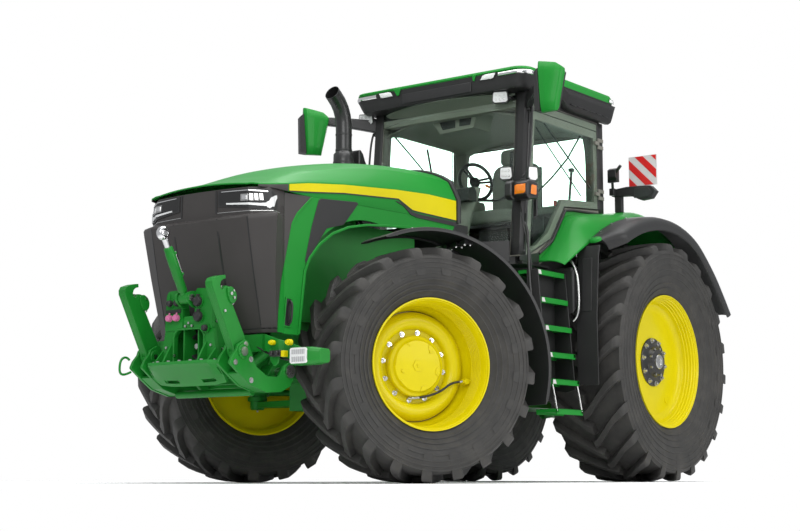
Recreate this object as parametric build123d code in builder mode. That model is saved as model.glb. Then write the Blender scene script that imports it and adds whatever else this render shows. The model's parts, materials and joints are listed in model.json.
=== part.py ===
"""Row-crop farm tractor with front and rear linkage, standing on its tyres.

Millimetres. +X is forward, +Y is the driver's left, +Z is up. The origin is on the ground,
in the middle of the overall length and width. The front wheels are stored turned to the right.
"""

import math
import os

from build123d import *

# ---------------------------------------------------------------- driving dimensions
WHEELBASE = 3050
REAR_X = -1668  # rear axle, from the middle of the overall length
FRONT_X = REAR_X + WHEELBASE

REAR_TYRE_R = 1005
REAR_TYRE_W = 710
REAR_RIM_R = 559
REAR_RIM_W = 584
REAR_TRACK = 1782
FRONT_TYRE_R = 810
FRONT_TYRE_W = 600
FRONT_RIM_R = 457.5
FRONT_RIM_W = 458
TYRE_WALL = 32
RIM_WALL = 14

KINGPIN_Y = 700
KINGPIN_OFFSET = 165  # from the kingpin out to the middle plane of the front tyre
STEER_REST = -25  # degrees about +Z, so the front wheels point to the right
SHAFT_CLEARANCE = 0.4  # radial, at each shaft, pin and hub

FRAME_HALF = 185
ENGINE_HALF = 225
FRAME_LOW, FRAME_HIGH = 720, 1120
GEARBOX_HALF = 240
GEARBOX_LOW, GEARBOX_HIGH = 620, 1300

CAB_HALF = 750  # outside of the doors
CAB_WAIST_HALF = 480  # between the rear wheel arches
CAB_FLOOR = 1700
FLOOR_THICK = 60
CAB_TOP = 3040  # top of the pillars
ROOF_RISE = 250  # top of the roof above the pillars
ROOF_TOP = CAB_TOP + ROOF_RISE
PILLAR_FRONT = REAR_X + 1640  # front of the A pillar at the floor
PILLAR_LEAN = -115  # how far the A pillar leans back from floor to roof
PILLAR_REAR = REAR_X + 300
PILLAR_W = 85
GLASS = 6

HOOD_PIVOT = (REAR_X + 2200, 2100)
HOOD_WALL = 20

FENDER_WALL = 24

BOLSTER_REAR = FRONT_X + 850
FRONT_LIFT_PIVOT = (FRONT_X + 970, 740)
FRONT_LINK_PIVOT = (FRONT_X + 1428, 847)
FRONT_LINK_Y = 400
FRONT_TOP_PIVOT = (FRONT_X + 1490, 1215)

REAR_LINK_PIVOT = (REAR_X - 380, 620)
REAR_ARM_RISE = 730  # rockshaft above the lower link pivot
REAR_ARM_LENGTH = 450
REAR_LINK_REACH = 1040
REAR_LINK_EYE_R = 26
REAR_TOP_PIVOT = (REAR_X - 470, 1230)

os.makedirs("parts", exist_ok=True)


def at(ahead):
    """A place along the tractor, from its distance ahead of the rear axle."""
    return REAR_X + ahead


def fore(ahead):
    """A place along the tractor, from its distance ahead of the front axle."""
    return FRONT_X + ahead


# ---------------------------------------------------------------- helpers
def save(shape, name):
    """Labels a finished piece and writes it as its own node."""
    shape.label = name
    export_step(shape, f"parts/{name}.step")


def side_prism(points, y_low, y_high, mode=Mode.ADD):
    """A closed X, Z outline, as thick as the stretch between two values of y."""
    with BuildSketch(Plane.XZ.offset(-y_high)) as outline:
        with BuildLine():
            Polyline(*points, close=True)
        make_face()
    extrude(outline.sketch, amount=y_high - y_low, mode=mode)


def plan_prism(points, z_low, z_high, mode=Mode.ADD):
    """A closed X, Y outline, as tall as the stretch between two heights."""
    with BuildSketch(Plane.XY.offset(z_low)) as outline:
        with BuildLine():
            Polyline(*points, close=True)
        make_face()
    extrude(outline.sketch, amount=z_high - z_low, mode=mode)


def block(x, y, z, mode=Mode.ADD):
    """A box from three pairs of limits."""
    with Locations(((x[0] + x[1]) / 2, (y[0] + y[1]) / 2, (z[0] + z[1]) / 2)):
        Box(x[1] - x[0], y[1] - y[0], z[1] - z[0], mode=mode)


def rod(start, end, radius, mode=Mode.ADD):
    """A round bar between two points."""
    start, end = Vector(start), Vector(end)
    with BuildSketch(Plane(origin=start, z_dir=end - start)) as ring:
        Circle(radius)
    extrude(ring.sketch, amount=(end - start).length, mode=mode)


def cross_bar(x, z, y_low, y_high, radius, mode=Mode.ADD):
    """A round bar along Y."""
    rod((x, y_low, z), (x, y_high, z), radius, mode)


def both_sides(y_low, y_high):
    """The same stretch of y on the left and on the right."""
    return ((y_low, y_high), (-y_high, -y_low))


def hub_plane(x, y, z, turn, side):
    """The plane of a wheel: its normal points out along the wheel's axis."""
    angle = math.radians(turn)
    axis = (-math.sin(angle) * side, math.cos(angle) * side, 0)
    return Plane(origin=(x, y, z), x_dir=(0, 0, 1), z_dir=axis)


def radial_plane(hub):
    """The plane through a wheel's axis: first coordinate outward from the axis, second along it."""
    return Plane(origin=hub.origin, x_dir=hub.x_dir, z_dir=-hub.y_dir)


def spun(points, hub, mode=Mode.ADD):
    """A closed outline of (radius, distance along the axis) turned about a wheel's axis."""
    with BuildSketch(radial_plane(hub)) as outline:
        with BuildLine():
            Polyline(*points, close=True)
        make_face()
    revolve(outline.sketch, axis=Axis(hub.origin, hub.z_dir), mode=mode)


# ---------------------------------------------------------------- wheels
def make_tyre(hub, radius, width, rim_radius, rim_width):
    """A hollow tyre: beads on the rim, bulging side walls and a flat tread."""
    seat = rim_radius - 22
    half, bead = width / 2, rim_width / 2 - RIM_WALL - 1
    tread = half * 0.90
    shoulder = radius - 45
    with BuildPart() as tyre:
        with BuildSketch(radial_plane(hub)) as section:
            with BuildLine():
                Polyline((seat, bead - TYRE_WALL), (seat, bead), (rim_radius + 4, bead))
                ThreePointArc(
                    (rim_radius + 4, bead),
                    ((rim_radius + shoulder) / 2, half),
                    (shoulder, half - 14),
                )
                Polyline((shoulder, half - 14), (radius, tread), (radius, -tread), (shoulder, 14 - half))
                ThreePointArc(
                    (shoulder, 14 - half),
                    ((rim_radius + shoulder) / 2, -half),
                    (rim_radius + 4, -bead),
                )
                Polyline((rim_radius + 4, -bead), (seat, -bead), (seat, TYRE_WALL - bead))
                Line((seat, TYRE_WALL - bead), (rim_radius + 4, TYRE_WALL - bead))
                ThreePointArc(
                    (rim_radius + 4, TYRE_WALL - bead),
                    ((rim_radius + shoulder) / 2, TYRE_WALL - half),
                    (shoulder - TYRE_WALL, TYRE_WALL - half + 30),
                )
                Polyline(
                    (shoulder - TYRE_WALL, TYRE_WALL - half + 30),
                    (radius - 70, 60 - half),
                    (radius - 70, half - 60),
                    (shoulder - TYRE_WALL, half - TYRE_WALL - 30),
                )
                ThreePointArc(
                    (shoulder - TYRE_WALL, half - TYRE_WALL - 30),
                    ((rim_radius + shoulder) / 2, half - TYRE_WALL),
                    (rim_radius + 4, bead - TYRE_WALL),
                )
                Line((rim_radius + 4, bead - TYRE_WALL), (seat, bead - TYRE_WALL))
            make_face()
        revolve(section.sketch, axis=Axis(hub.origin, hub.z_dir))
    return tyre.part


def rectangle_outline(inner, outer, low, high):
    """Corners of a ring's section: radii first, distance along the axis second."""
    return ((inner, low), (outer, low), (outer, high), (inner, high))


def make_rim(hub, rim_radius, rim_width, disc_at, disc_thick):
    """Rim barrel with a flange at each edge, and its disc."""
    half = rim_width / 2
    seat = rim_radius - 22.5
    inside = seat - RIM_WALL
    with BuildPart() as rim:
        spun(
            (
                (rim_radius, half),
                (rim_radius, half - RIM_WALL),
                (seat, half - RIM_WALL),
                (seat, RIM_WALL - half),
                (rim_radius, RIM_WALL - half),
                (rim_radius, -half),
                (inside, -half),
                (inside, half),
            ),
            hub,
        )
        spun(rectangle_outline(HUB_RING_IN, inside + 1, disc_at, disc_at + disc_thick), hub)
    return rim.part


def wheel_point(side, along, ahead, z):
    """A point fixed to a steered wheel: along its axis and ahead, from the kingpin."""
    turn = math.radians(STEER_REST)
    axis = Vector(-math.sin(turn) * side, math.cos(turn) * side, 0)
    heading = Vector(math.cos(turn), math.sin(turn), 0)
    at = Vector(FRONT_X, side * KINGPIN_Y, 0) + axis * along + heading * ahead
    return (at.X, at.Y, z)


HUB_RING_IN = 120  # inner edge of each disc, under the hub that clamps it
REAR_HUB_Y = REAR_TRACK / 2
SPINDLE_R = 90
REAR_SHAFT_R = 62
REAR_DISC_AT = REAR_RIM_W / 2 - 175  # disc, from the middle plane of the rear wheel
REAR_DISC = 22
FRONT_DISC_AT = FRONT_RIM_W / 2 - 300
FRONT_DISC = 20
TRUMPET_END = 700
SHAFT_IN_TRUMPET = 110

for side, word in ((1, "left"), (-1, "right")):
    rear_hub = hub_plane(REAR_X, side * REAR_HUB_Y, REAR_TYRE_R, 0, side)
    save(make_tyre(rear_hub, REAR_TYRE_R, REAR_TYRE_W, REAR_RIM_R, REAR_RIM_W), f"rear_tyre_{word}")
    shaft_span = (TRUMPET_END - SHAFT_IN_TRUMPET - REAR_HUB_Y, REAR_DISC_AT + 95)
    rear_rim = make_rim(rear_hub, REAR_RIM_R, REAR_RIM_W, REAR_DISC_AT, REAR_DISC)
    with BuildPart() as rear_wheel:
        add(rear_rim)
        spun(rectangle_outline(0, 150, REAR_DISC_AT - 70, REAR_DISC_AT + 40), rear_hub)
        spun(rectangle_outline(0, REAR_SHAFT_R, *shaft_span), rear_hub)
    save(rear_wheel.part, f"rear_rim_and_axle_{word}")

    centre = wheel_point(side, KINGPIN_OFFSET, 0, FRONT_TYRE_R)
    front_hub = hub_plane(*centre, STEER_REST, side)
    save(make_tyre(front_hub, FRONT_TYRE_R, FRONT_TYRE_W, FRONT_RIM_R, FRONT_RIM_W), f"front_tyre_{word}")
    front_rim = make_rim(front_hub, FRONT_RIM_R, FRONT_RIM_W, FRONT_DISC_AT, FRONT_DISC)
    with BuildPart() as front_wheel:
        add(front_rim)
        spun(
            (
                (0, FRONT_DISC_AT + 61),
                (SPINDLE_R + SHAFT_CLEARANCE, FRONT_DISC_AT + 61),
                (SPINDLE_R + SHAFT_CLEARANCE, FRONT_DISC_AT),
                (215, FRONT_DISC_AT),
                (215, FRONT_DISC_AT + 66),
                (190, FRONT_DISC_AT + 75),
                (178, FRONT_DISC_AT + 90),
                (0, FRONT_DISC_AT + 96),
            ),
            front_hub,
        )
        spun(
            rectangle_outline(0, SPINDLE_R + SHAFT_CLEARANCE, FRONT_DISC_AT - 1, FRONT_DISC_AT + 60),
            front_hub,
            mode=Mode.SUBTRACT,
        )
    save(front_wheel.part, f"front_rim_and_hub_{word}")

# ---------------------------------------------------------------- steered knuckles and front fenders
BALL_UP, BALL_DOWN = FRONT_TYRE_R + 230, FRONT_TYRE_R - 230
EYE_HEIGHT = 50
EYE_R = 55
KINGPIN_R = 25
STEER_ARM = 300  # from the kingpin back to the end of the steering arm
STEER_ARM_Z = 675
FRONT_FENDER_R = 940
FRONT_FENDER_WALL = 8
FRONT_FENDER_SPAN = (-120, 280)  # along the wheel's axis, from the tyre's middle plane
FRONT_FENDER_ARC = (66, 196)  # degrees, from straight ahead over the top


for side, word in ((1, "left"), (-1, "right")):
    turned = hub_plane(FRONT_X, side * KINGPIN_Y, FRONT_TYRE_R, STEER_REST, side)
    inner_face = FRONT_DISC_AT + KINGPIN_OFFSET
    with BuildPart() as knuckle:
        rod(
            (FRONT_X, side * KINGPIN_Y, BALL_DOWN + EYE_HEIGHT / 2 + 1),
            (FRONT_X, side * KINGPIN_Y, BALL_UP - EYE_HEIGHT / 2 - 1),
            62,
        )
        spun(((0, -60), (150, -60), (150, 18), (0, 18)), turned)
        spun(((0, 18), (SPINDLE_R, 18), (SPINDLE_R, inner_face + 58), (0, inner_face + 58)), turned)
        for low, high in (
            (BALL_DOWN - EYE_HEIGHT / 2, BALL_DOWN + EYE_HEIGHT / 2 + 5),
            (BALL_UP - EYE_HEIGHT / 2 - 5, BALL_UP + EYE_HEIGHT / 2),
        ):
            rod((FRONT_X, side * KINGPIN_Y, low), (FRONT_X, side * KINGPIN_Y, high), KINGPIN_R)
        rod(wheel_point(side, -40, 0, 930), wheel_point(side, -40, -300, 930), 26)
        rod(wheel_point(side, -38, -20, STEER_ARM_Z), wheel_point(side, -38, -STEER_ARM, STEER_ARM_Z), 23)
    save(knuckle.part, f"steering_knuckle_{word}")

    fender_hub = hub_plane(*wheel_point(side, KINGPIN_OFFSET, 0, FRONT_TYRE_R), STEER_REST, side)
    ahead = Vector(math.cos(math.radians(STEER_REST)), math.sin(math.radians(STEER_REST)), 0)
    sweep_plane = Plane(
        origin=Vector(*wheel_point(side, KINGPIN_OFFSET + FRONT_FENDER_SPAN[1], 0, FRONT_TYRE_R)),
        x_dir=ahead,
        z_dir=-fender_hub.z_dir,
    )
    flip = 1 if side == 1 else -1
    with BuildPart() as front_fender:
        with BuildSketch(sweep_plane) as band:
            start, end = FRONT_FENDER_ARC
            mid = (start + end) / 2
            ends = []
            for radius in (FRONT_FENDER_R, FRONT_FENDER_R - FRONT_FENDER_WALL):
                ends.append(
                    [
                        (radius * math.cos(math.radians(a)), flip * radius * math.sin(math.radians(a)))
                        for a in (start, mid, end)
                    ]
                )
            with BuildLine():
                ThreePointArc(*ends[0])
                Line(ends[0][2], ends[1][2])
                ThreePointArc(*ends[1])
                Line(ends[1][0], ends[0][0])
            make_face()
        extrude(band.sketch, amount=FRONT_FENDER_SPAN[1] - FRONT_FENDER_SPAN[0])
        stem = KINGPIN_OFFSET - FRONT_TYRE_W / 2 - 37
        under = FRONT_TYRE_R + math.sqrt((FRONT_FENDER_R - 12) ** 2 - 300**2) - 7
        path = (
            wheel_point(side, -66.5, -300, 930),
            wheel_point(side, stem, -300, 930),
            wheel_point(side, stem, -300, under),
            wheel_point(side, KINGPIN_OFFSET + FRONT_FENDER_SPAN[1] - 60, -300, under),
        )
        for a, b in zip(path, path[1:]):
            rod(a, b, 17)
        for corner in path[1:3]:
            with Locations(corner):
                Sphere(17)
    save(front_fender.part, f"front_fender_{word}")

# ---------------------------------------------------------------- chassis
with BuildPart() as frame:
    block((REAR_X + 1250, BOLSTER_REAR), (-FRAME_HALF, FRAME_HALF), (FRAME_LOW, FRAME_HIGH))
save(frame.part, "main_frame")

with BuildPart() as engine:
    block((REAR_X + 2300, FRONT_X + 700), (-ENGINE_HALF, ENGINE_HALF), (FRAME_HIGH, 1880))
save(engine.part, "engine_block")

with BuildPart() as gearbox:
    block((REAR_X - 330, REAR_X + 1250), (-GEARBOX_HALF, GEARBOX_HALF), (GEARBOX_LOW, GEARBOX_HIGH))
    block((REAR_X - 330, REAR_X + 300), (-330, 330), (680, 1330))
    with Locations(Location((REAR_X - 330, 0, 900), (0, 90, 0))):
        Cylinder(70, 60)
    for side in (1, -1):
        hub = hub_plane(REAR_X, side * 330, REAR_TYRE_R, 0, side)
        trumpet = TRUMPET_END - 330
        bore = REAR_SHAFT_R + SHAFT_CLEARANCE
        spun(
            (
                (0, 0),
                (210, 0),
                (210, 60),
                (150, 160),
                (135, trumpet),
                (bore, trumpet),
                (bore, trumpet - 120),
                (0, trumpet - 120),
            ),
            hub,
        )
save(gearbox.part, "transmission_and_rear_axle")

INNER_PIVOT_Y = FRAME_HALF + 45
STEER_CYLINDER_BACK = 272  # behind the front axle
STEER_CYLINDER_HALF = 190
TIE_ROD_R = 18
TIE_ROD_X = at(WHEELBASE - STEER_CYLINDER_BACK)
TIE_ROD_SHIFT = 127  # how far the rod stands to the left while the wheels point right
with BuildPart() as axle:
    block((FRONT_X - 170, FRONT_X + 170), (-INNER_PIVOT_Y - 1, INNER_PIVOT_Y + 1), (520, FRAME_LOW))
    for low, high in both_sides(FRAME_HALF, FRAME_HALF + 45):
        block((FRONT_X - 150, FRONT_X + 150), (low, high), (FRAME_LOW, 1100))
    cross_bar(TIE_ROD_X, STEER_ARM_Z, -STEER_CYLINDER_HALF, STEER_CYLINDER_HALF, 38)
    block(
        (TIE_ROD_X, at(WHEELBASE - 160)),
        (-STEER_CYLINDER_HALF + 30, STEER_CYLINDER_HALF - 30),
        (STEER_ARM_Z - 20, STEER_ARM_Z + 20),
    )
    for side in (1, -1):
        for height in (BALL_UP, BALL_DOWN):
            half = 22
            outer_y, inner_y = side * (KINGPIN_Y - 40), side * INNER_PIVOT_Y
            for spread in (1, -1):
                plan_prism(
                    (
                        (FRONT_X + spread * 150, inner_y),
                        (FRONT_X + spread * 95, inner_y),
                        (FRONT_X + spread * 5, outer_y),
                        (FRONT_X + spread * 45, outer_y),
                    ),
                    height - half,
                    height + half,
                )
            rod(
                (FRONT_X, side * KINGPIN_Y, height - EYE_HEIGHT / 2),
                (FRONT_X, side * KINGPIN_Y, height + EYE_HEIGHT / 2),
                EYE_R,
            )
            rod(
                (FRONT_X, side * KINGPIN_Y, height - EYE_HEIGHT / 2),
                (FRONT_X, side * KINGPIN_Y, height + EYE_HEIGHT / 2),
                KINGPIN_R + SHAFT_CLEARANCE,
                mode=Mode.SUBTRACT,
            )
    cross_bar(TIE_ROD_X, STEER_ARM_Z, -500, 500, TIE_ROD_R + SHAFT_CLEARANCE, Mode.SUBTRACT)
save(axle.part, "front_axle_and_arms")

with BuildPart() as tie_rod:
    cross_bar(TIE_ROD_X, STEER_ARM_Z, TIE_ROD_SHIFT - 618, TIE_ROD_SHIFT + 618, TIE_ROD_R)
save(tie_rod.part, "steering_tie_rod")


# ---------------------------------------------------------------- tanks and steps
TANK = ((at(1180), at(1980)), (310, 800), (620, 1560))
with BuildPart() as tanks:
    for low, high in both_sides(*TANK[1]):
        block(TANK[0], (low, high), TANK[2])
    for low, high in both_sides(FRAME_HALF + 0.5, TANK[1][0]):
        block((at(1400), at(1800)), (low, high), (760, 860))
save(tanks.part, "fuel_tanks")

TREAD_HEIGHTS = (530, 760, 970, 1180, 1400, 1620)
TREAD_THICK = 28
STEP_REAR, STEP_FRONT = at(1190), at(1610)
STRINGER = 14
with BuildPart() as steps:
    for x in (STEP_REAR, STEP_FRONT - STRINGER):
        with BuildSketch(Plane.YZ.offset(x)) as side_outline:
            with BuildLine():
                Polyline((800.3, 620), (1010, 500), (1060, 520), (900, 1648), (800.3, 1648), close=True)
            make_face()
        extrude(side_outline.sketch, amount=STRINGER)
    for height in TREAD_HEIGHTS:
        out = 1055 - (height - TREAD_HEIGHTS[0]) * 0.142
        block((STEP_REAR + 2, STEP_FRONT - 2), (max(800.3, out - 190), out), (height - TREAD_THICK, height))
save(steps.part, "cab_steps")

# ---------------------------------------------------------------- rear fenders
FENDER_Y = (CAB_WAIST_HALF + 0.5, 1000, 1250)  # inner edge, colour change, outer edge
FENDER_TOP = ((1370, 1700), (950, 1930), (140, 2205), (-800, 1860), (-1140, 1500))


def fender_band(y_low, y_high, rise=0, drop=FENDER_WALL, mode=Mode.ADD):
    """The arched band over a rear tyre, between two values of y."""
    top = [(at(x), z + rise) for x, z in FENDER_TOP]
    low = [(at(x), z - drop) for x, z in FENDER_TOP]
    with BuildSketch(Plane.XZ.offset(-y_high)) as outline:
        with BuildLine():
            Line(top[0], top[1])
            ThreePointArc(top[1], top[2], top[3])
            Line(top[3], top[4])
            Line(top[4], low[4])
            Line(low[4], low[3])
            ThreePointArc(low[3], low[2], low[1])
            Line(low[1], low[0])
            Line(low[0], top[0])
        make_face()
    extrude(outline.sketch, amount=y_high - y_low, mode=mode)


def fender_height(x):
    """Top of the arched band, where it is round."""
    (x1, z1), (x2, z2), (x3, z3) = FENDER_TOP[1:4]
    d = 2 * (x1 * (z2 - z3) + x2 * (z3 - z1) + x3 * (z1 - z2))
    squares = [a * a + b * b for a, b in FENDER_TOP[1:4]]
    mid_x = (squares[0] * (z2 - z3) + squares[1] * (z3 - z1) + squares[2] * (z1 - z2)) / d
    mid_z = (squares[0] * (x3 - x2) + squares[1] * (x1 - x3) + squares[2] * (x2 - x1)) / d
    radius = math.hypot(x1 - mid_x, z1 - mid_z)
    return mid_z + math.sqrt(radius**2 - (x - mid_x) ** 2)


with BuildPart() as fenders:
    for low, high in both_sides(FENDER_Y[0], FENDER_Y[1]):
        fender_band(low, high)
save(fenders.part, "rear_fenders")
with BuildPart() as extensions:
    for low, high in both_sides(FENDER_Y[1], FENDER_Y[2]):
        fender_band(low, high)
save(extensions.part, "fender_extensions")

with BuildPart() as markers:
    for side in (1, -1):
        rod((at(100), side * 800, fender_height(100) + 0.5), (at(100), side * 800, 2470), 14)
        rod((at(100), side * 790, 2465), (at(100), side * 1160, 2465), 14)
        block((at(88), at(104)), sorted((side * 900, side * 1150)), (2475, 2760))
        block((at(70), at(130)), sorted((side * 1000, side * 1160)), (2425, 2475))
save(markers.part, "width_marker_boards")

# ---------------------------------------------------------------- cab
FLOOR_WIDE = at(1374)  # ahead of this the floor runs out over the fuel tanks
LEAN = PILLAR_LEAN / (CAB_TOP - CAB_FLOOR)  # X per Z of the A pillars
BULGE = 170  # how far the windshield curves ahead of the A pillars
GLASS_LOW = 1885
SILL = 45  # thickness of the fixed panel under the door
FLOOR_HALF = CAB_HALF - SILL - 0.5
FRONT_HALF = CAB_HALF - PILLAR_W - 0.3  # of the windshield and the wall under it


def pillar_x(z):
    """Front of the A pillar at a height."""
    return PILLAR_FRONT + LEAN * (z - CAB_FLOOR)


def bow(z, half, thick, back=0):
    """A curved strip in plan between the A pillars, as a face at one height."""
    x = pillar_x(z) - back
    with BuildSketch(Plane.XY.offset(z)) as strip:
        with BuildLine():
            ThreePointArc((x, -half), (x + BULGE, 0), (x, half))
            Line((x, half), (x - thick, half))
            ThreePointArc((x - thick, half), (x + BULGE - thick, 0), (x - thick, -half))
            Line((x - thick, -half), (x, -half))
        make_face()
    return strip.sketch


with BuildPart() as tub:
    right_edge = (
        (at(300), -470),
        (FLOOR_WIDE, -470),
        (FLOOR_WIDE, -FLOOR_HALF),
        (PILLAR_FRONT - 20, -FLOOR_HALF),
        (PILLAR_FRONT + 115, -240),
    )
    plan_prism(
        right_edge + tuple((x, -y) for x, y in reversed(right_edge)),
        CAB_FLOOR,
        CAB_FLOOR + FLOOR_THICK,
    )
    extrude(bow(CAB_FLOOR + 20, FRONT_HALF, 90), amount=GLASS_LOW - CAB_FLOOR - 20.5)
    for low, high in both_sides(CAB_WAIST_HALF - 25, CAB_WAIST_HALF):
        side_prism(
            (
                (at(300), CAB_FLOOR),
                (FLOOR_WIDE + 30, CAB_FLOOR),
                (at(950), fender_height(950)),
                (at(600), fender_height(600)),
                (at(300), fender_height(300)),
            ),
            low,
            high,
        )
    block((at(300), at(325)), (-CAB_WAIST_HALF, CAB_WAIST_HALF), (CAB_FLOOR, 2290))
    for low, high in both_sides(150, 230):
        block((at(340), at(440)), (low, high), (GEARBOX_HIGH + 0.5, CAB_FLOOR))
    for low, high in both_sides(90, 170):
        block((at(1420), at(1520)), (low, high), (FRAME_HIGH + 0.5, CAB_FLOOR))
save(tub.part, "cab_floor_and_lower_walls")

DOOR_LINE = ((1545, 1762), (1360, 1815), (1160, 1950), (940, 2240), (393, 2290))  # lower edge of the door
DOOR_GAP = 8
DOOR_HINGES = (2420, CAB_TOP - 180)
HINGE_X, HINGE_Y = at(389), CAB_HALF + 13
HINGE_PIN_R = 7
HINGE_R = 11
with BuildPart() as cab_frame:
    for low, high in both_sides(CAB_HALF - PILLAR_W, CAB_HALF):
        base = CAB_FLOOR + FLOOR_THICK + 0.5
        side_prism(
            (
                (pillar_x(base) - PILLAR_W, base),
                (pillar_x(base), base),
                (pillar_x(CAB_TOP), CAB_TOP),
                (pillar_x(CAB_TOP) - PILLAR_W, CAB_TOP),
            ),
            low,
            high,
        )
        block((PILLAR_REAR, PILLAR_REAR + PILLAR_W), (low, high), (fender_height(300) + 0.5, CAB_TOP))
        block((PILLAR_REAR, pillar_x(CAB_TOP)), (low, high), (CAB_TOP - 70, CAB_TOP))
    for low, high in both_sides(CAB_HALF - SILL, CAB_HALF):
        side_prism(
            [(at(x), z - DOOR_GAP) for x, z in DOOR_LINE]
            + [(at(300), 2290), (at(300), 1704), (at(1545), 1704)],
            low,
            high,
        )
    for low, high in both_sides(CAB_WAIST_HALF + 0.5, CAB_HALF - 40):
        block((PILLAR_REAR, PILLAR_REAR + 30), (low, high), (2100, 2300))
    for low, high in both_sides(CAB_WAIST_HALF, CAB_HALF + 10):
        fender_band(low, high, rise=0.5, drop=700, mode=Mode.SUBTRACT)
    for z in (2290.5, CAB_TOP - 80):
        block((PILLAR_REAR, PILLAR_REAR + 30), (-CAB_HALF + 20, CAB_HALF - 20), (z, z + 70))
    header_rear = pillar_x(CAB_TOP) - PILLAR_W
    block((header_rear, pillar_x(CAB_TOP)), (-CAB_HALF, CAB_HALF), (CAB_TOP - 60, CAB_TOP))
    for z in DOOR_HINGES:
        for low in (z - 45, z + 15.3):
            block((at(320), at(385)), (CAB_HALF - 2, CAB_HALF + 23), (low, low + 30))
            rod((HINGE_X, HINGE_Y, low), (HINGE_X, HINGE_Y, low + 30), HINGE_R)
        rod((HINGE_X, HINGE_Y, z - 20), (HINGE_X, HINGE_Y, z + 20), HINGE_PIN_R)
save(cab_frame.part, "cab_frame")

GLASS_GAP = 0.3
door_front = [(pillar_x(z) - PILLAR_W - DOOR_GAP, z) for z in (CAB_TOP - 78, 1762)]
DOOR_OUTLINE = door_front + [(at(x), z) for x, z in DOOR_LINE[1:]] + [(at(393), CAB_TOP - 78)]
DOOR_RIM = 62


def framed(points, y_low, y_high, rim):
    """A closed X, Z outline with its middle cut away, leaving a rim."""
    with BuildSketch(Plane.XZ.offset(-y_high)) as outline:
        with BuildLine():
            Polyline(*points, close=True)
        make_face()
        offset(amount=-rim, kind=Kind.INTERSECTION, mode=Mode.SUBTRACT)
    extrude(outline.sketch, amount=y_high - y_low)


def pane(points, y_low, y_high, inset):
    """A closed X, Z outline drawn in all round."""
    with BuildSketch(Plane.XZ.offset(-y_high)) as outline:
        with BuildLine():
            Polyline(*points, close=True)
        make_face()
        offset(amount=-inset, kind=Kind.INTERSECTION, mode=Mode.REPLACE)
    extrude(outline.sketch, amount=y_high - y_low)


with BuildPart() as door:
    framed(DOOR_OUTLINE, CAB_HALF - 40, CAB_HALF, DOOR_RIM)
    for z in DOOR_HINGES:
        block((at(394), at(450)), (CAB_HALF - 2, CAB_HALF + 23), (z - 14.7, z + 15))
        rod((HINGE_X, HINGE_Y, z - 14.7), (HINGE_X, HINGE_Y, z + 15), HINGE_R)
        pin_hole = HINGE_PIN_R + SHAFT_CLEARANCE
        rod((HINGE_X, HINGE_Y, z - 30), (HINGE_X, HINGE_Y, z + 30), pin_hole, Mode.SUBTRACT)
save(door.part, "left_door")
with BuildPart() as door_glass:
    pane(DOOR_OUTLINE, CAB_HALF - 20 - GLASS, CAB_HALF - 20, DOOR_RIM + GLASS_GAP)
save(door_glass.part, "left_door_glass")

with BuildPart() as glass:
    lean = Vector(LEAN * (CAB_TOP - 62 - GLASS_LOW), 0, CAB_TOP - 62 - GLASS_LOW)
    extrude(bow(GLASS_LOW, FRONT_HALF, GLASS), amount=lean.length, dir=lean.normalized())
    pane(DOOR_OUTLINE, -CAB_HALF + 14, -CAB_HALF + 14 + GLASS, -DOOR_GAP + 4)
    block((at(312), at(312) + GLASS), (-FRONT_HALF, FRONT_HALF), (2362, CAB_TOP - 81))
save(glass.part, "cab_windows")

with BuildPart() as roof:
    levels = (
        (CAB_TOP + 0.5, (250, 1600), 800),
        (CAB_TOP + 150, (245, 1700), 867),
        (ROOF_TOP - 30, (260, 1690), 860),
        (ROOF_TOP, (420, 1480), 700),
    )
    for z, (rear, front), half in levels:
        with BuildSketch(Plane.XY.offset(z)):
            with Locations((at((rear + front) / 2), 0)):
                RectangleRounded(front - rear, 2 * half, 90)
    loft(ruled=True)
save(roof.part, "cab_roof")

with BuildPart() as seats:
    floor_top = CAB_FLOOR + FLOOR_THICK
    block((at(600), at(900)), (-170, 170), (floor_top + 0.5, 2150))
    block((at(500), at(1010)), (-260, 260), (2150, 2290))
    block((at(430), at(560)), (-240, 240), (2200, 2900))
    block((at(500), at(780)), (330, 450), (floor_top + 0.5, 2230))
    block((at(480), at(800)), (320, 620), (2225, 2300))
save(seats.part, "driver_and_passenger_seat_cushions")

COLUMN_LOW, COLUMN_BEND = (at(1430), 0, CAB_FLOOR + FLOOR_THICK + 35), (at(1250), 0, 2440)
WHEEL_TILT = 28  # degrees that the steering wheel's axis stands above level
WHEEL_R = 170
WHEEL_RIM = 28
column_axis = Vector(-math.cos(math.radians(WHEEL_TILT)), 0, math.sin(math.radians(WHEEL_TILT)))
COLUMN_HIGH = Vector(*COLUMN_BEND) + column_axis * 110
with BuildPart() as column:
    rod(COLUMN_LOW, COLUMN_BEND, 50)
    with Locations(COLUMN_BEND):
        Sphere(50)
    rod(COLUMN_BEND, COLUMN_HIGH, 38)
    block((at(1360), at(1520)), (-90, 90), (floor_top + 0.5, floor_top + 60))
    block((at(1300), at(1420)), (-130, 130), (2300, 2420))
    block((at(560), at(1050)), (-400, -285), (floor_top + 0.5, 2430))
save(column.part, "steering_column_and_armrest")
with BuildPart() as steering_wheel:
    column_plane = Plane(origin=COLUMN_HIGH + column_axis * 0.8, x_dir=(0, 1, 0), z_dir=column_axis)
    with BuildSketch(column_plane) as hub_disc:
        Circle(52)
    extrude(hub_disc.sketch, amount=30)
    for turned_by in (0, 120, 240):
        with BuildSketch(column_plane) as spoke:
            with Locations(Rotation(0, 0, turned_by)):
                with Locations((WHEEL_R / 2 - 2, 0)):
                    Rectangle(WHEEL_R - 24, 30)
        extrude(spoke.sketch, amount=14)
    with BuildSketch(column_plane) as ring:
        Circle(WHEEL_R)
        Circle(WHEEL_R - WHEEL_RIM, mode=Mode.SUBTRACT)
    extrude(ring.sketch, amount=WHEEL_RIM)
save(steering_wheel.part, "steering_wheel")

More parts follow.
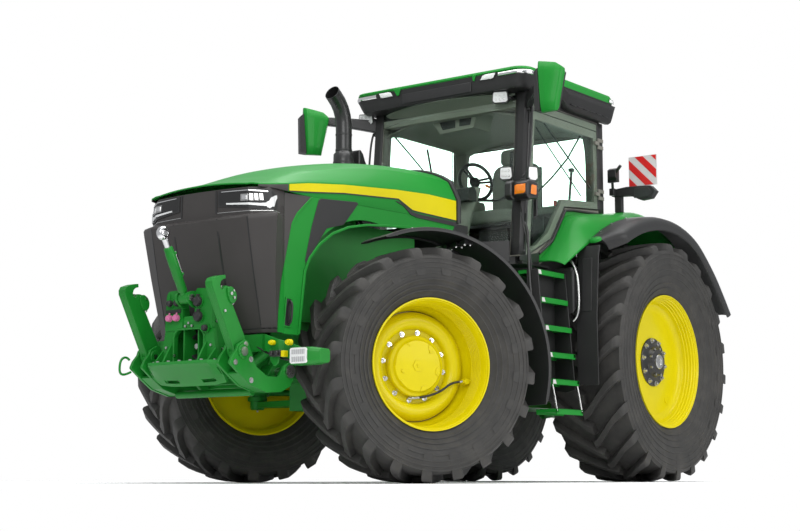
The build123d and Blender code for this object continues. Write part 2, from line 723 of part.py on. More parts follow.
with BuildPart() as mirrors:
    for side in (1, -1):
        block((at(1470), at(1510)), sorted((side * 750.5, side * 790)), (CAB_TOP - 85, CAB_TOP - 25))
        path = (
            (at(1490), side * 775, CAB_TOP - 50),
            (at(1700), side * 960, CAB_TOP + 40),
            (at(1905), side * 1215, CAB_TOP + 110),
        )
        for start, end in zip(path, path[1:]):
            rod(start, end, 17)
        with Locations(path[1]):
            Sphere(17)
        block((at(1870), at(1950)), sorted((side * 1110, side * 1320)), (CAB_TOP - 270, CAB_TOP + 130))
save(mirrors.part, "door_mirrors")

# ---------------------------------------------------------------- hood
PIN_R = 15
PIN_HOLE_R = PIN_R + SHAFT_CLEARANCE
PIVOT_X, PIVOT_Z = HOOD_PIVOT
with BuildPart() as cowl:
    block((at(1830), at(2090)), (-300, 300), (FRAME_HIGH + 0.5, 1600))
    block((at(1830), at(2090)), (-400, 400), (1590, 2000))
    for low, high in both_sides(355, 385):
        side_prism(
            (
                (at(2030), 1900),
                (at(2090), 1900),
                (PIVOT_X + 32, PIVOT_Z - 20),
                (PIVOT_X + 32, PIVOT_Z + 30),
                (PIVOT_X - 32, PIVOT_Z + 30),
                (at(2030), 2000),
            ),
            low,
            high,
        )
    cross_bar(PIVOT_X, PIVOT_Z, -430, 430, PIN_R)
    block((at(1990), at(2080)), (-541.5, -395), (1600, 1680))
save(cowl.part, "hood_hinge_frame")

EXHAUST = (at(2080), -660)
with BuildPart() as exhaust:
    rod((*EXHAUST, 1575), (*EXHAUST, 2440), 118)
    rod((*EXHAUST, 2440), (*EXHAUST, 2560), 80)
    rod((*EXHAUST, 2560), (*EXHAUST, 2950), 62)
    with Locations((*EXHAUST, 2950)):
        Sphere(62)
    rod((*EXHAUST, 2950), (EXHAUST[0] + 150, EXHAUST[1], 3140), 62)
save(exhaust.part, "exhaust_stack")

# x, half width, lower edge, side top, shoulder half width, shoulder height, crown
HOOD_SECTIONS = (
    (at(2130), 500, 1980, 2150, 420, 2310, 2430),
    (fore(-10), 500, 1960, 2100, 420, 2280, 2350),
    (fore(830), 500, 1940, 2030, 420, 2120, 2170),
    (fore(1150), 530, 1930, 1970, 430, 2020, 2050),
    (fore(1340), 440, 1918, 1938, 360, 1952, 1970),
)
with BuildPart() as hood_top:
    for x, half, low, side_top, shoulder, shoulder_z, crown in HOOD_SECTIONS:
        wall = HOOD_WALL
        with BuildSketch(Plane.YZ.offset(x)) as section:
            with BuildLine():
                Polyline((half, low), (half, side_top), (shoulder, shoulder_z))
                ThreePointArc((shoulder, shoulder_z), (0, crown), (-shoulder, shoulder_z))
                Polyline((-shoulder, shoulder_z), (-half, side_top), (-half, low), (wall - half, low))
                Polyline((wall - half, low), (wall - half, side_top - 6), (12 - shoulder, shoulder_z - wall))
                ThreePointArc(
                    (12 - shoulder, shoulder_z - wall), (0, crown - wall), (shoulder - 12, shoulder_z - wall)
                )
                Polyline((shoulder - 12, shoulder_z - wall), (half - wall, side_top - 6), (half - wall, low))
                Line((half - wall, low), (half, low))
            make_face()
    loft(ruled=True)
    for low, high in both_sides(398, 422):
        side_prism(
            (
                (PIVOT_X - 32, PIVOT_Z - 32),
                (PIVOT_X + 32, PIVOT_Z - 32),
                (PIVOT_X + 60, 2300),
                (PIVOT_X - 60, 2300),
            ),
            low,
            high,
        )
    cross_bar(PIVOT_X, PIVOT_Z, -440, 440, PIN_HOLE_R, Mode.SUBTRACT)
save(hood_top.part, "hood_top")

with BuildPart() as side_panels:
    for low, high in both_sides(478, 498):
        with BuildSketch(Plane.XZ.offset(-high)) as outline:
            with BuildLine():
                Line((at(2180), 1905), (fore(-20), 1835))
                ThreePointArc((fore(-20), 1835), (fore(590), 1740), (fore(855), 1500))
                Polyline((fore(855), 1500), (fore(915), 985), (fore(1080), 985), (fore(1080), 1931.9))
                Polyline((fore(1080), 1931.9), (fore(830), 1939.7), (fore(-10), 1959.7))
                Polyline((fore(-10), 1959.7), (at(2135), 1979.7), (at(2180), 1905))
            make_face()
        extrude(outline.sketch, amount=high - low)
save(side_panels.part, "hood_side_panels")

# height, corner ahead of the axle, corner half width, crease ahead, crease half width, front ahead
NOSE_SECTIONS = (
    (985, 1175, 530, 1215, 360, 1230),
    (1400, 1250, 540, 1315, 360, 1350),
    (1750, 1275, 545, 1370, 360, 1405),
    (1915, 1275, 530, 1350, 345, 1385),
)
NOSE_BACK = fore(1080.3)
with BuildPart() as nose:
    for z, corner, half, crease, crease_half, front in NOSE_SECTIONS:
        wall = HOOD_WALL
        inner_edge = fore(corner - wall)
        inner_crease = fore(crease - wall)
        inner_half = crease_half - 8
        with BuildSketch(Plane.XY.offset(z)) as section:
            with BuildLine():
                Polyline((NOSE_BACK, 500), (fore(corner), half), (fore(crease), crease_half))
                ThreePointArc((fore(crease), crease_half), (fore(front), 0), (fore(crease), -crease_half))
                Polyline((fore(crease), -crease_half), (fore(corner), -half), (NOSE_BACK, -500))
                Line((NOSE_BACK, -500), (NOSE_BACK, wall - 500))
                Polyline((NOSE_BACK, wall - 500), (inner_edge, wall - half), (inner_crease, -inner_half))
                ThreePointArc((inner_crease, -inner_half), (fore(front - wall), 0), (inner_crease, inner_half))
                Polyline((inner_crease, inner_half), (inner_edge, half - wall), (NOSE_BACK, 500 - wall))
                Line((NOSE_BACK, 500 - wall), (NOSE_BACK, 500))
            make_face()
    loft(ruled=True)
save(nose.part, "hood_nose")

# ---------------------------------------------------------------- front linkage
LIFT_X, LIFT_Z = FRONT_LIFT_PIVOT
ARM_X, ARM_Z = FRONT_LINK_PIVOT
HOOK_X, HOOK_Z = fore(1597), 1278
TOP_X, TOP_Z = FRONT_TOP_PIVOT
LIFT_PIN_R = 30
ARM_PIN_R = 22
TOP_PIN_R = 16
BARREL_PIN = (fore(960), 905)
ROD_PIN = (fore(1280), 715)
with BuildPart() as hitch_frame:
    block((BOLSTER_REAR + 0.5, fore(1250)), (-250, 250), (620, 950))
    block((fore(1240), fore(1550)), (-200, 200), (720, 850))
    for low, high in both_sides(90, 200):
        side_prism(
            (
                (fore(1240), 840),
                (fore(1550), 840),
                (fore(1550), 1270),
                (fore(1520), 1300),
                (fore(1440), 1300),
                (fore(1395), 1240),
                (fore(1395), 1060),
                (fore(1240), 930),
            ),
            low,
            high,
        )
    cross_bar(LIFT_X, LIFT_Z, -475, 475, LIFT_PIN_R)
    cross_bar(TOP_X, TOP_Z, -95, 95, TOP_PIN_R)
    cross_bar(*BARREL_PIN, -325, 325, 18)
    for low, high in both_sides(190, 700):
        block((fore(1325), fore(1355)), (low, high), (985, 1010))
    for low, high in both_sides(640, 700):
        block((fore(1312), fore(1355)), (low, high), (900, 1010))
    for low, high in both_sides(620, 990):
        block((fore(1212), fore(1340)), (low, high), (860, 945))
save(hitch_frame.part, "front_hitch_frame")

with BuildPart() as carrier:
    for inner, outer in ((335, 360), (440, 465)):
        for low, high in both_sides(inner, outer):
            side_prism(
                (
                    (LIFT_X - 60, LIFT_Z - 50),
                    (fore(1090), 505),
                    (fore(1180), 505),
                    (ARM_X + 45, ARM_Z - 45),
                    (ARM_X + 45, ARM_Z + 35),
                    (ARM_X - 40, ARM_Z + 45),
                    (LIFT_X - 20, LIFT_Z + 62),
                    (LIFT_X - 60, LIFT_Z + 40),
                ),
                low,
                high,
            )
    for low, high in both_sides(359, 441):
        block((fore(1060), fore(1280)), (low, high), (680, 760))
        cross_bar(ARM_X, ARM_Z, low - 10, high + 10, ARM_PIN_R)
    cross_bar(fore(1135), 540, -340, 340, 34)
    cross_bar(LIFT_X, LIFT_Z, -480, 480, LIFT_PIN_R + SHAFT_CLEARANCE, Mode.SUBTRACT)
save(carrier.part, "front_lift_carrier")

with BuildPart() as front_arms:
    for low, high in both_sides(FRONT_LINK_Y - 32, FRONT_LINK_Y + 32):
        with BuildSketch(Plane.XZ.offset(-high)) as outline:
            with BuildLine():
                Polyline(
                    (ARM_X - 45, ARM_Z),
                    (ARM_X + 45, ARM_Z),
                    (HOOK_X + 62, HOOK_Z - 20),
                    (HOOK_X - 60, HOOK_Z + 20),
                    close=True,
                )
            make_face()
            with Locations((ARM_X, ARM_Z)):
                Circle(46)
                Circle(ARM_PIN_R + SHAFT_CLEARANCE, mode=Mode.SUBTRACT)
            with Locations((HOOK_X, HOOK_Z)):
                Circle(66)
                Circle(34, mode=Mode.SUBTRACT)
            with BuildLine():
                Polyline(
                    (HOOK_X - 8, HOOK_Z + 8),
                    (HOOK_X - 8, HOOK_Z + 90),
                    (HOOK_X - 90, HOOK_Z + 90),
                    (HOOK_X - 90, HOOK_Z + 5),
                    close=True,
                )
            make_face(mode=Mode.SUBTRACT)
        extrude(outline.sketch, amount=high - low)
save(front_arms.part, "front_lower_arms")

TOP_EYE = (fore(1705), 1625)
with BuildPart() as front_top_link:
    rod((TOP_X, 0, TOP_Z), (TOP_EYE[0], 0, TOP_EYE[1]), 27)
    cross_bar(TOP_X, TOP_Z, -40, 40, 38)
    cross_bar(*TOP_EYE, -30, 30, 46)
    cross_bar(TOP_X, TOP_Z, -60, 60, TOP_PIN_R + SHAFT_CLEARANCE, Mode.SUBTRACT)
    cross_bar(*TOP_EYE, -60, 60, 16.1, Mode.SUBTRACT)
save(front_top_link.part, "front_top_link")

stroke = Vector(ROD_PIN[0] - BARREL_PIN[0], 0, ROD_PIN[1] - BARREL_PIN[1])
stroke_dir = stroke.normalized()
with BuildPart() as barrels:
    for side in (1, -1):
        start = Vector(BARREL_PIN[0], side * 295, BARREL_PIN[1])
        rod(start, start + stroke_dir * 250, 33)
        cross_bar(*BARREL_PIN, side * 295 - 28, side * 295 + 28, 34)
        rod(start + stroke_dir * 60, start + stroke_dir * 260, 18.3, Mode.SUBTRACT)
    cross_bar(*BARREL_PIN, -330, 330, 18.4, Mode.SUBTRACT)
save(barrels.part, "front_lift_cylinders")
with BuildPart() as piston_rods:
    for side in (1, -1):
        start = Vector(BARREL_PIN[0], side * 295, BARREL_PIN[1])
        end = start + stroke
        rod(start + stroke_dir * 150, end - stroke_dir * 20, 18)
        cross_bar(*ROD_PIN, side * 295 - 26, side * 295 + 26, 32)
        cross_bar(*ROD_PIN, *sorted((side * 262, side * 334.7)), 18)
save(piston_rods.part, "front_lift_cylinder_rods")

# ---------------------------------------------------------------- rear linkage
LINK_X, LINK_Z = REAR_LINK_PIVOT
SHAFT_X, SHAFT_Z = LINK_X, LINK_Z + REAR_ARM_RISE
REAR_TOP_X, REAR_TOP_Z = REAR_TOP_PIVOT
ROCKSHAFT_R = 45
LINK_PIN_R = 25
LIFT_ROD_Y = 432
PTO_R = 22.2
BALL_Y = 480
with BuildPart() as rear_brackets:
    for low, high in both_sides(205, 238):
        side_prism(
            (
                (at(-330.5), 640),
                (LINK_X, LINK_Z + 45),
                (LINK_X - 45, LINK_Z),
                (LINK_X, LINK_Z - 45),
                (at(-250), 560),
                (at(-250), 619),
                (at(-330.5), 619),
            ),
            low,
            high,
        )
        cross_bar(LINK_X, LINK_Z, low, high + (95 if low > 0 else 0), LINK_PIN_R)
        if low < 0:
            cross_bar(LINK_X, LINK_Z, low - 95, high, LINK_PIN_R)
    for low, high in both_sides(220, 290):
        block((SHAFT_X - 65, SHAFT_X + 300), (low, high), (GEARBOX_HIGH + 31, SHAFT_Z + 70))
    cross_bar(SHAFT_X, SHAFT_Z, -300, 300, ROCKSHAFT_R + SHAFT_CLEARANCE, Mode.SUBTRACT)
    for low, high in both_sides(40, 70):
        block((REAR_TOP_X - 45, at(-330.5)), (low, high), (REAR_TOP_Z - 50, REAR_TOP_Z + 50))
    cross_bar(REAR_TOP_X, REAR_TOP_Z, -70, 70, 22)
    block((at(-900), at(-330.5)), (-50, 50), (500, 560))
    block((at(-430), at(-330.5)), (-120, 120), (500, 820))
    with Locations((at(-840), 0, 530)):
        Cylinder(20, 80, mode=Mode.SUBTRACT)
    rod((at(-360.5), 0, 900), (at(-460), 0, 900), PTO_R)
save(rear_brackets.part, "rear_linkage_brackets_and_drawbar")

with BuildPart() as links:
    for side in (1, -1):
        ball = (LINK_X - REAR_LINK_REACH, side * BALL_Y, LINK_Z)
        foot = (LINK_X, side * 285, LINK_Z)
        plan_prism(
            (
                (foot[0], foot[1] - 22),
                (foot[0], foot[1] + 22),
                (ball[0], ball[1] + 20),
                (ball[0], ball[1] - 20),
            ),
            LINK_Z - 38,
            LINK_Z + 38,
        )
        cross_bar(LINK_X, LINK_Z, foot[1] - 30, foot[1] + 30, 48)
        cross_bar(ball[0], LINK_Z, ball[1] - 30, ball[1] + 30, 50)
        cross_bar(LINK_X - REAR_ARM_LENGTH, LINK_Z, *sorted((side * 360, side * (LIFT_ROD_Y + 28))), 18)
        cross_bar(LINK_X, LINK_Z, foot[1] - 60, foot[1] + 60, LINK_PIN_R + SHAFT_CLEARANCE, Mode.SUBTRACT)
        cross_bar(ball[0], LINK_Z, ball[1] - 60, ball[1] + 60, REAR_LINK_EYE_R, Mode.SUBTRACT)
save(links.part, "rear_lower_links")

with BuildPart() as lift_arms:
    cross_bar(SHAFT_X, SHAFT_Z, -400, 400, ROCKSHAFT_R)
    for side in (1, -1):
        low, high = sorted((side * 360, side * 400))
        side_prism(
            (
                (SHAFT_X + 60, SHAFT_Z - 30),
                (SHAFT_X + 60, SHAFT_Z + 30),
                (SHAFT_X, SHAFT_Z + 68),
                (SHAFT_X - REAR_ARM_LENGTH - 35, SHAFT_Z + 30),
                (SHAFT_X - REAR_ARM_LENGTH - 35, SHAFT_Z - 30),
                (SHAFT_X, SHAFT_Z - 68),
            ),
            low,
            high,
        )
        cross_bar(SHAFT_X - REAR_ARM_LENGTH, SHAFT_Z, *sorted((side * 360, side * (LIFT_ROD_Y + 28))), 18)
save(lift_arms.part, "rear_lift_arms")

with BuildPart() as lift_rods:
    for side in (1, -1):
        x, y = SHAFT_X - REAR_ARM_LENGTH, side * LIFT_ROD_Y
        rod((x, y, LINK_Z), (x, y, SHAFT_Z), 24)
        for z in (LINK_Z, SHAFT_Z):
            cross_bar(x, z, y - 25, y + 25, 38)
            cross_bar(x, z, y - 40, y + 40, 18.4, Mode.SUBTRACT)
save(lift_rods.part, "rear_lift_rods")

with BuildPart() as rear_top_link:
    far = (REAR_TOP_X - 720, REAR_TOP_Z - 40)
    rod((REAR_TOP_X, 0, REAR_TOP_Z), (far[0], 0, far[1]), 30)
    cross_bar(REAR_TOP_X, REAR_TOP_Z, -32, 32, 42)
    cross_bar(*far, -30, 30, 50)
    cross_bar(REAR_TOP_X, REAR_TOP_Z, -60, 60, 22 + SHAFT_CLEARANCE, Mode.SUBTRACT)
    cross_bar(*far, -60, 60, 22.7, Mode.SUBTRACT)
save(rear_top_link.part, "rear_top_link")
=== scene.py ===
"""Looks of the farm tractor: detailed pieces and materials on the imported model, with camera and light."""

import json
import math

import bmesh
import bpy
from mathutils import Matrix, Vector


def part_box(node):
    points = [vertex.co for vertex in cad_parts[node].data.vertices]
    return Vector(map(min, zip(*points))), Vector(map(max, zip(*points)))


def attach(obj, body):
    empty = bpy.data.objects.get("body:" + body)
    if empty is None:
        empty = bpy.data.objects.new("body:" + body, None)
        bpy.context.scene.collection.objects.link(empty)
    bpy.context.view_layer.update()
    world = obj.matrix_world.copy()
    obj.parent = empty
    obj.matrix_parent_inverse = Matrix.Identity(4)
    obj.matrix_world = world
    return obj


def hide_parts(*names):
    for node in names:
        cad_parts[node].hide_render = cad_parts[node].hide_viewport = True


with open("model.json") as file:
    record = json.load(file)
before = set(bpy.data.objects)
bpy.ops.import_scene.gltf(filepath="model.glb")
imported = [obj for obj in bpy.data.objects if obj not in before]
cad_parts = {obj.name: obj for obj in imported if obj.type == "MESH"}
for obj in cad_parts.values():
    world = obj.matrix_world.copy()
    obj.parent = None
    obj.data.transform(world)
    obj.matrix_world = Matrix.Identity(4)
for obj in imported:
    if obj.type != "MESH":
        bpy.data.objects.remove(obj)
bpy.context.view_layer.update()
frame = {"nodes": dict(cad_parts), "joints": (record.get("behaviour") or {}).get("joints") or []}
JOINTS = {joint["name"]: joint for joint in frame["joints"]}

# ---------------------------------------------------------------- places taken from the frame
SIDES = ((1, "left"), (-1, "right"))
LOW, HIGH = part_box("rear_tyre_left")
REAR_X = (LOW[0] + HIGH[0]) / 2
REAR_RADIUS = (HIGH[2] - LOW[2]) / 2
FRONT_RADIUS = (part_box("front_tyre_left")[1][2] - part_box("front_tyre_left")[0][2]) / 2
REAR_WIDTH, FRONT_WIDTH = 0.71, 0.6
REAR_RIM, FRONT_RIM = 0.559, 0.4575
WHEELBASE = 3.05
AXLE_Z = 1.005  # height of the rear axle
KINGPIN_Y = 0.7


def P(ahead, left, up):
    """A point from its distance ahead of the rear axle, to the left and above the ground."""
    return Vector((REAR_X + ahead, left, up))


# ---------------------------------------------------------------- materials
def node(tree, kind, **values):
    made = tree.nodes.new(kind)
    for key, value in values.items():
        if key in made.inputs:
            made.inputs[key].default_value = value
        else:
            setattr(made, key, value)
    return made


def surface(name, colour, rough=0.5, metal=0.0, coat=0.0, vary=0.06, patch=2.0, grain=900.0, bump=0.02,
            rough_vary=0.06, wear=0.0, wear_colour=(0.5, 0.5, 0.48), dust=0.0, shine=0.5):
    """A procedural material: colour in soft patches, uneven gloss, fine grain, worn edges and settled dust."""
    material = bpy.data.materials.new(name)
    material.use_nodes = True
    tree = material.node_tree
    tree.nodes.clear()
    link = tree.links.new
    out = node(tree, "ShaderNodeOutputMaterial")
    shader = node(tree, "ShaderNodeBsdfPrincipled")
    shader.inputs["Metallic"].default_value = metal
    shader.inputs["Coat Weight"].default_value = coat
    shader.inputs["Specular IOR Level"].default_value = shine
    shader.inputs["Coat Roughness"].default_value = 0.06
    link(shader.outputs[0], out.inputs[0])
    place = node(tree, "ShaderNodeTexCoord")
    patches = node(tree, "ShaderNodeTexNoise", Scale=patch, Detail=5.0, Roughness=0.6)
    link(place.outputs["Object"], patches.inputs["Vector"])
    shade = node(tree, "ShaderNodeMapRange")
    shade.inputs["From Min"].default_value, shade.inputs["From Max"].default_value = 0.3, 0.7
    shade.inputs["To Min"].default_value, shade.inputs["To Max"].default_value = 1 - vary, 1 + vary
    link(patches.outputs["Fac"], shade.inputs["Value"])
    base = node(tree, "ShaderNodeVectorMath", operation="SCALE")
    base.inputs[0].default_value = colour[:3]
    link(shade.outputs["Result"], base.inputs["Scale"])
    last = base.outputs["Vector"]
    if wear:
        edge = node(tree, "ShaderNodeNewGeometry")
        pick = node(tree, "ShaderNodeMapRange")
        pick.inputs["From Min"].default_value, pick.inputs["From Max"].default_value = 0.53, 0.62
        pick.inputs["To Max"].default_value = wear
        link(edge.outputs["Pointiness"], pick.inputs["Value"])
        mix = node(tree, "ShaderNodeMix", data_type="RGBA")
        link(pick.outputs["Result"], mix.inputs[0])
        link(last, mix.inputs[6])
        mix.inputs[7].default_value = (*wear_colour, 1)
        last = mix.outputs[2]
    if dust:
        where = node(tree, "ShaderNodeTexNoise", Scale=5.0, Detail=8.0, Roughness=0.7)
        link(place.outputs["Object"], where.inputs["Vector"])
        amount = node(tree, "ShaderNodeMapRange")
        amount.inputs["From Min"].default_value, amount.inputs["From Max"].default_value = 0.45, 0.75
        amount.inputs["To Max"].default_value = dust
        link(where.outputs["Fac"], amount.inputs["Value"])
        mix = node(tree, "ShaderNodeMix", data_type="RGBA")
        link(amount.outputs["Result"], mix.inputs[0])
        link(last, mix.inputs[6])
        mix.inputs[7].default_value = (0.33, 0.3, 0.26, 1)
        last = mix.outputs[2]
    link(last, shader.inputs["Base Color"])
    gloss = node(tree, "ShaderNodeMapRange")
    gloss.inputs["To Min"].default_value = max(rough - rough_vary, 0.02)
    gloss.inputs["To Max"].default_value = min(rough + rough_vary, 1.0)
    link(patches.outputs["Fac"], gloss.inputs["Value"])
    link(gloss.outputs["Result"], shader.inputs["Roughness"])
    fine = node(tree, "ShaderNodeTexNoise", Scale=grain, Detail=2.0)
    link(place.outputs["Object"], fine.inputs["Vector"])
    relief = node(tree, "ShaderNodeBump", Strength=bump, Distance=0.002)
    link(fine.outputs["Fac"], relief.inputs["Height"])
    link(relief.outputs["Normal"], shader.inputs["Normal"])
    return material


def glass(name, colour):
    """Clear sheet with a tint and a faint unevenness."""
    material = surface(name, colour, 0.02, vary=0.03, bump=0.004, grain=40.0, rough_vary=0.01)
    shader = next(n for n in material.node_tree.nodes if n.type == "BSDF_PRINCIPLED")
    shader.inputs["Transmission Weight"].default_value = 1.0
    shader.inputs["IOR"].default_value = 1.12
    return material


GREEN = surface(
    "green_paint", (0.011, 0.232, 0.026), 0.4, coat=0.05, vary=0.05, patch=1.2, grain=500, bump=0.012,
    shine=0.18
)
CAST = surface("green_casting", (0.009, 0.2, 0.02), 0.4, coat=0.1, vary=0.08, patch=6, grain=160, bump=0.12,
               wear=0.25, wear_colour=(0.05, 0.34, 0.07), shine=0.26)
YELLOW = surface(
    "yellow_paint", (0.68, 0.575, 0.001), 0.34, coat=0.1, vary=0.04, patch=3, grain=400, bump=0.02, shine=0.2
)
RUBBER = surface("tyre_rubber", (0.033, 0.032, 0.03), 0.64, vary=0.18, patch=9, grain=260, bump=0.1, wear=0.5,
                 wear_colour=(0.065, 0.063, 0.06), dust=0.08, shine=0.42)
BLACK = surface("black_moulded_plastic", (0.02, 0.02, 0.02), 0.46, vary=0.12, patch=4, grain=1400, bump=0.1,
                wear=0.3, wear_colour=(0.06, 0.06, 0.06), shine=0.36)
NOSE = surface("charcoal_grille", (0.04, 0.036, 0.034), 0.5, vary=0.08, patch=3, grain=1200, bump=0.06)
SATIN = surface(
    "black_satin_steel", (0.016, 0.016, 0.016), 0.36, coat=0.2, vary=0.12, patch=7, grain=500, bump=0.05
)
# bare steel for rods, pins and bolts; also the painted highlight strip under the headlights
STEEL = surface("bare_steel_and_painted_highlight", (0.55, 0.55, 0.54), 0.28, metal=1.0, vary=0.1, patch=20, grain=900, bump=0.05)
CHROME = surface("chrome", (0.8, 0.8, 0.8), 0.1, metal=1.0, vary=0.04, patch=8, grain=600, bump=0.01)
LENS = surface("lamp_lens", (0.78, 0.79, 0.78), 0.12, coat=0.8, vary=0.05, patch=30, grain=200, bump=0.03)
AMBER = surface("amber_lens", (0.85, 0.22, 0.01), 0.15, coat=0.8, vary=0.08, patch=60, grain=300, bump=0.05)
RED = surface("red_reflective", (0.62, 0.012, 0.012), 0.35, vary=0.06, patch=30, grain=1500, bump=0.05)
# white: the marker boards' white print, and also the painted highlights on the step treads' ends
WHITE = surface("white_reflective_and_painted_highlight", (0.62, 0.61, 0.6), 0.35, vary=0.04, patch=30, grain=1500, bump=0.05)
PINK = surface("pink_cap", (0.62, 0.16, 0.34), 0.45, vary=0.08, patch=30, grain=500, bump=0.05)
TRIM = surface("cab_trim", (0.2, 0.195, 0.165), 0.62, vary=0.06, patch=5, grain=1500, bump=0.15)
CLOTH = surface("seat_cloth", (0.17, 0.18, 0.15), 0.85, vary=0.1, patch=12, grain=2500, bump=0.35)
GLASS = glass("cab_glass", (0.8, 0.9, 0.85))


# ---------------------------------------------------------------- mesh helpers
def piece(name, bm, material, body="chassis", replaces=(), smooth=35, bevel=0.0):
    """Turns a bmesh into a piece that rides on a body. Several materials go in as a list."""
    bmesh.ops.remove_doubles(bm, verts=bm.verts, dist=1e-6)
    bmesh.ops.recalc_face_normals(bm, faces=bm.faces)
    mesh = bpy.data.meshes.new(name)
    bm.to_mesh(mesh)
    bm.free()
    thing = bpy.data.objects.new(name, mesh)
    bpy.context.scene.collection.objects.link(thing)
    for one in material if isinstance(material, (list, tuple)) else (material,):
        mesh.materials.append(one)
    if bevel:
        rounding = thing.modifiers.new("edges", "BEVEL")
        rounding.width = bevel
        rounding.segments = 2
        rounding.limit_method = "ANGLE"
        rounding.angle_limit = math.radians(30)
    if smooth:
        for polygon in mesh.polygons:
            polygon.use_smooth = True
        mesh.set_sharp_from_angle(angle=math.radians(smooth))
    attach(thing, body)
    if replaces:
        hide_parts(*replaces)
    return thing


def wheel_matrix(joint, side):
    """Places a wheel's local frame: local Y out along the axle, local Z up."""
    centre, axis = Vector(JOINTS[joint]["pos_m"]), Vector(JOINTS[joint]["axis"]).normalized() * side
    ahead = axis.cross(Vector((0, 0, 1))).normalized()
    turn = Matrix((ahead, axis, (0, 0, 1))).transposed()
    return Matrix.Translation(centre) @ turn.to_4x4()


def lathe(bm, profile, steps=96, matrix=None, material=0, closed=True):
    """Turns (radius, along) points about local Y."""
    rings = []
    for k in range(steps):
        angle = 2 * math.pi * k / steps
        c, s = math.cos(angle), math.sin(angle)
        rings.append([bm.verts.new((r * c, y, r * s)) for r, y in profile])
    count = len(profile)
    faces = []
    for k in range(steps):
        a, b = rings[k], rings[(k + 1) % steps]
        for i in range(count if closed else count - 1):
            j = (i + 1) % count
            faces.append(bm.faces.new((a[i], a[j], b[j], b[i])))
    for face in faces:
        face.material_index = material
    if matrix is not None:
        bmesh.ops.transform(bm, matrix=matrix, verts=[v for ring in rings for v in ring])
    return faces


def box(bm, low, high, material=0, matrix=None):
    """A box between two corners."""
    made = bmesh.ops.create_cube(bm, size=1.0)["verts"]
    low, high = Vector(low), Vector(high)
    size = high - low
    grow = Matrix.Diagonal((*[abs(v) for v in size], 1))
    bmesh.ops.transform(bm, matrix=Matrix.Translation((low + high) / 2) @ grow, verts=made)
    if matrix is not None:
        bmesh.ops.transform(bm, matrix=matrix, verts=made)
    for face in {f for v in made for f in v.link_faces}:
        face.material_index = material
    return made


def rod(bm, start, end, radius, sides=20, material=0, end_radius=None):
    """A round bar between two points."""
    start, end = Vector(start), Vector(end)
    along = end - start
    made = bmesh.ops.create_cone(
        bm, cap_ends=True, segments=sides, radius1=radius,
        radius2=radius if end_radius is None else end_radius,
        depth=along.length,
    )["verts"]
    turn = Vector((0, 0, 1)).rotation_difference(along).to_matrix().to_4x4()
    bmesh.ops.transform(bm, matrix=Matrix.Translation((start + end) / 2) @ turn, verts=made)
    for face in {f for v in made for f in v.link_faces}:
        face.material_index = material
    return made


def prism(bm, outline, direction, material=0):
    """Closes an outline of 3-D points and pushes it along a direction."""
    direction = Vector(direction)
    near = [bm.verts.new(Vector(p)) for p in outline]
    far = [bm.verts.new(Vector(p) + direction) for p in outline]
    faces = [bm.faces.new(near), bm.faces.new(far[::-1])]
    for i in range(len(outline)):
        j = (i + 1) % len(outline)
        faces.append(bm.faces.new((near[i], near[j], far[j], far[i])))
    for face in faces:
        face.material_index = material
    return faces


def corner_round(outline, radius):
    """Rounds the corners of a flat outline of (a, b) points."""
    steps = 4
    made = []
    n = len(outline)
    for i, p in enumerate(outline):
        p, q, s = Vector(p), Vector(outline[i - 1]), Vector(outline[(i + 1) % n])
        a, b = (q - p), (s - p)
        r = min(radius, a.length * 0.45, b.length * 0.45)
        p0, p1 = p + a.normalized() * r, p + b.normalized() * r
        for k in range(steps + 1):
            t = k / steps
            made.append(tuple(p0 * (1 - t) ** 2 + p * 2 * t * (1 - t) + p1 * t ** 2))
    return made


def y_plate(bm, outline, y0, y1, radius=0.0):
    """A plate of (ahead, up) corners, square to the side, with rounded corners if a radius is given."""
    points = corner_round(outline, radius) if radius else outline
    prism(bm, [P(x, y0, z) for x, z in points], (0, y1 - y0, 0))


def x_plate(bm, outline, x0, x1, radius=0.0):
    """The same with (left, up) corners, square to the run ahead."""
    points = corner_round(outline, radius) if radius else outline
    prism(bm, [P(x0, y, z) for y, z in points], (x1 - x0, 0, 0))


def pin(bm, place, y0, y1, radius, sides=20):
    """A round bar across the tractor, at a place of (ahead, up)."""
    rod(bm, P(place[0], y0, place[1]), P(place[0], y1, place[1]), radius, sides)


def arc(centre, radius, start, end, steps):
    """Points on a circle, angles in degrees."""
    return [
        (
            centre[0] + radius * math.cos(math.radians(start + (end - start) * k / steps)),
            centre[1] + radius * math.sin(math.radians(start + (end - start) * k / steps)),
        )
        for k in range(steps + 1)
    ]


def tube(name, points, radius, material, body="chassis", smooth_path=True):
    """A round bar, hose or rail along points."""
    curve = bpy.data.curves.new(name, "CURVE")
    curve.dimensions = "3D"
    curve.bevel_depth = radius
    curve.bevel_resolution = 6
    curve.use_fill_caps = True
    spline = curve.splines.new("NURBS" if smooth_path else "POLY")
    spline.points.add(len(points) - 1)
    for point, place in zip(spline.points, points):
        point.co = (*place, 1)
    if smooth_path:
        spline.order_u = 3
        spline.use_endpoint_u = True
        spline.resolution_u = 8
    curve.materials.append(material)
    thing = bpy.data.objects.new(name, curve)
    bpy.context.scene.collection.objects.link(thing)
    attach(thing, body)


def smooth_line(points, steps):
    """Catmull-Rom points through a few given ones."""
    points = [Vector(p) for p in points]
    padded = [points[0] * 2 - points[1]] + points + [points[-1] * 2 - points[-2]]
    out = []
    for i in range(1, len(padded) - 2):
        a, b, c, d = padded[i - 1 : i + 3]
        for k in range(steps):
            t = k / steps
            out.append(
                0.5 * (
                    2 * b + (c - a) * t + (2 * a - 5 * b + 4 * c - d) * t**2 + (3 * b - a - 3 * c + d) * t**3
                )
            )
    return out + [points[-1]]


def grid(bm, rows, close=False):
    """Quads between rows of points."""
    verts = [[bm.verts.new(Vector(p)) for p in row] for row in rows]
    for a, b in zip(verts, verts[1:]):
        for i in range(len(a) if close else len(a) - 1):
            j = (i + 1) % len(a)
            bm.faces.new((a[i], a[j], b[j], b[i]))
    return verts


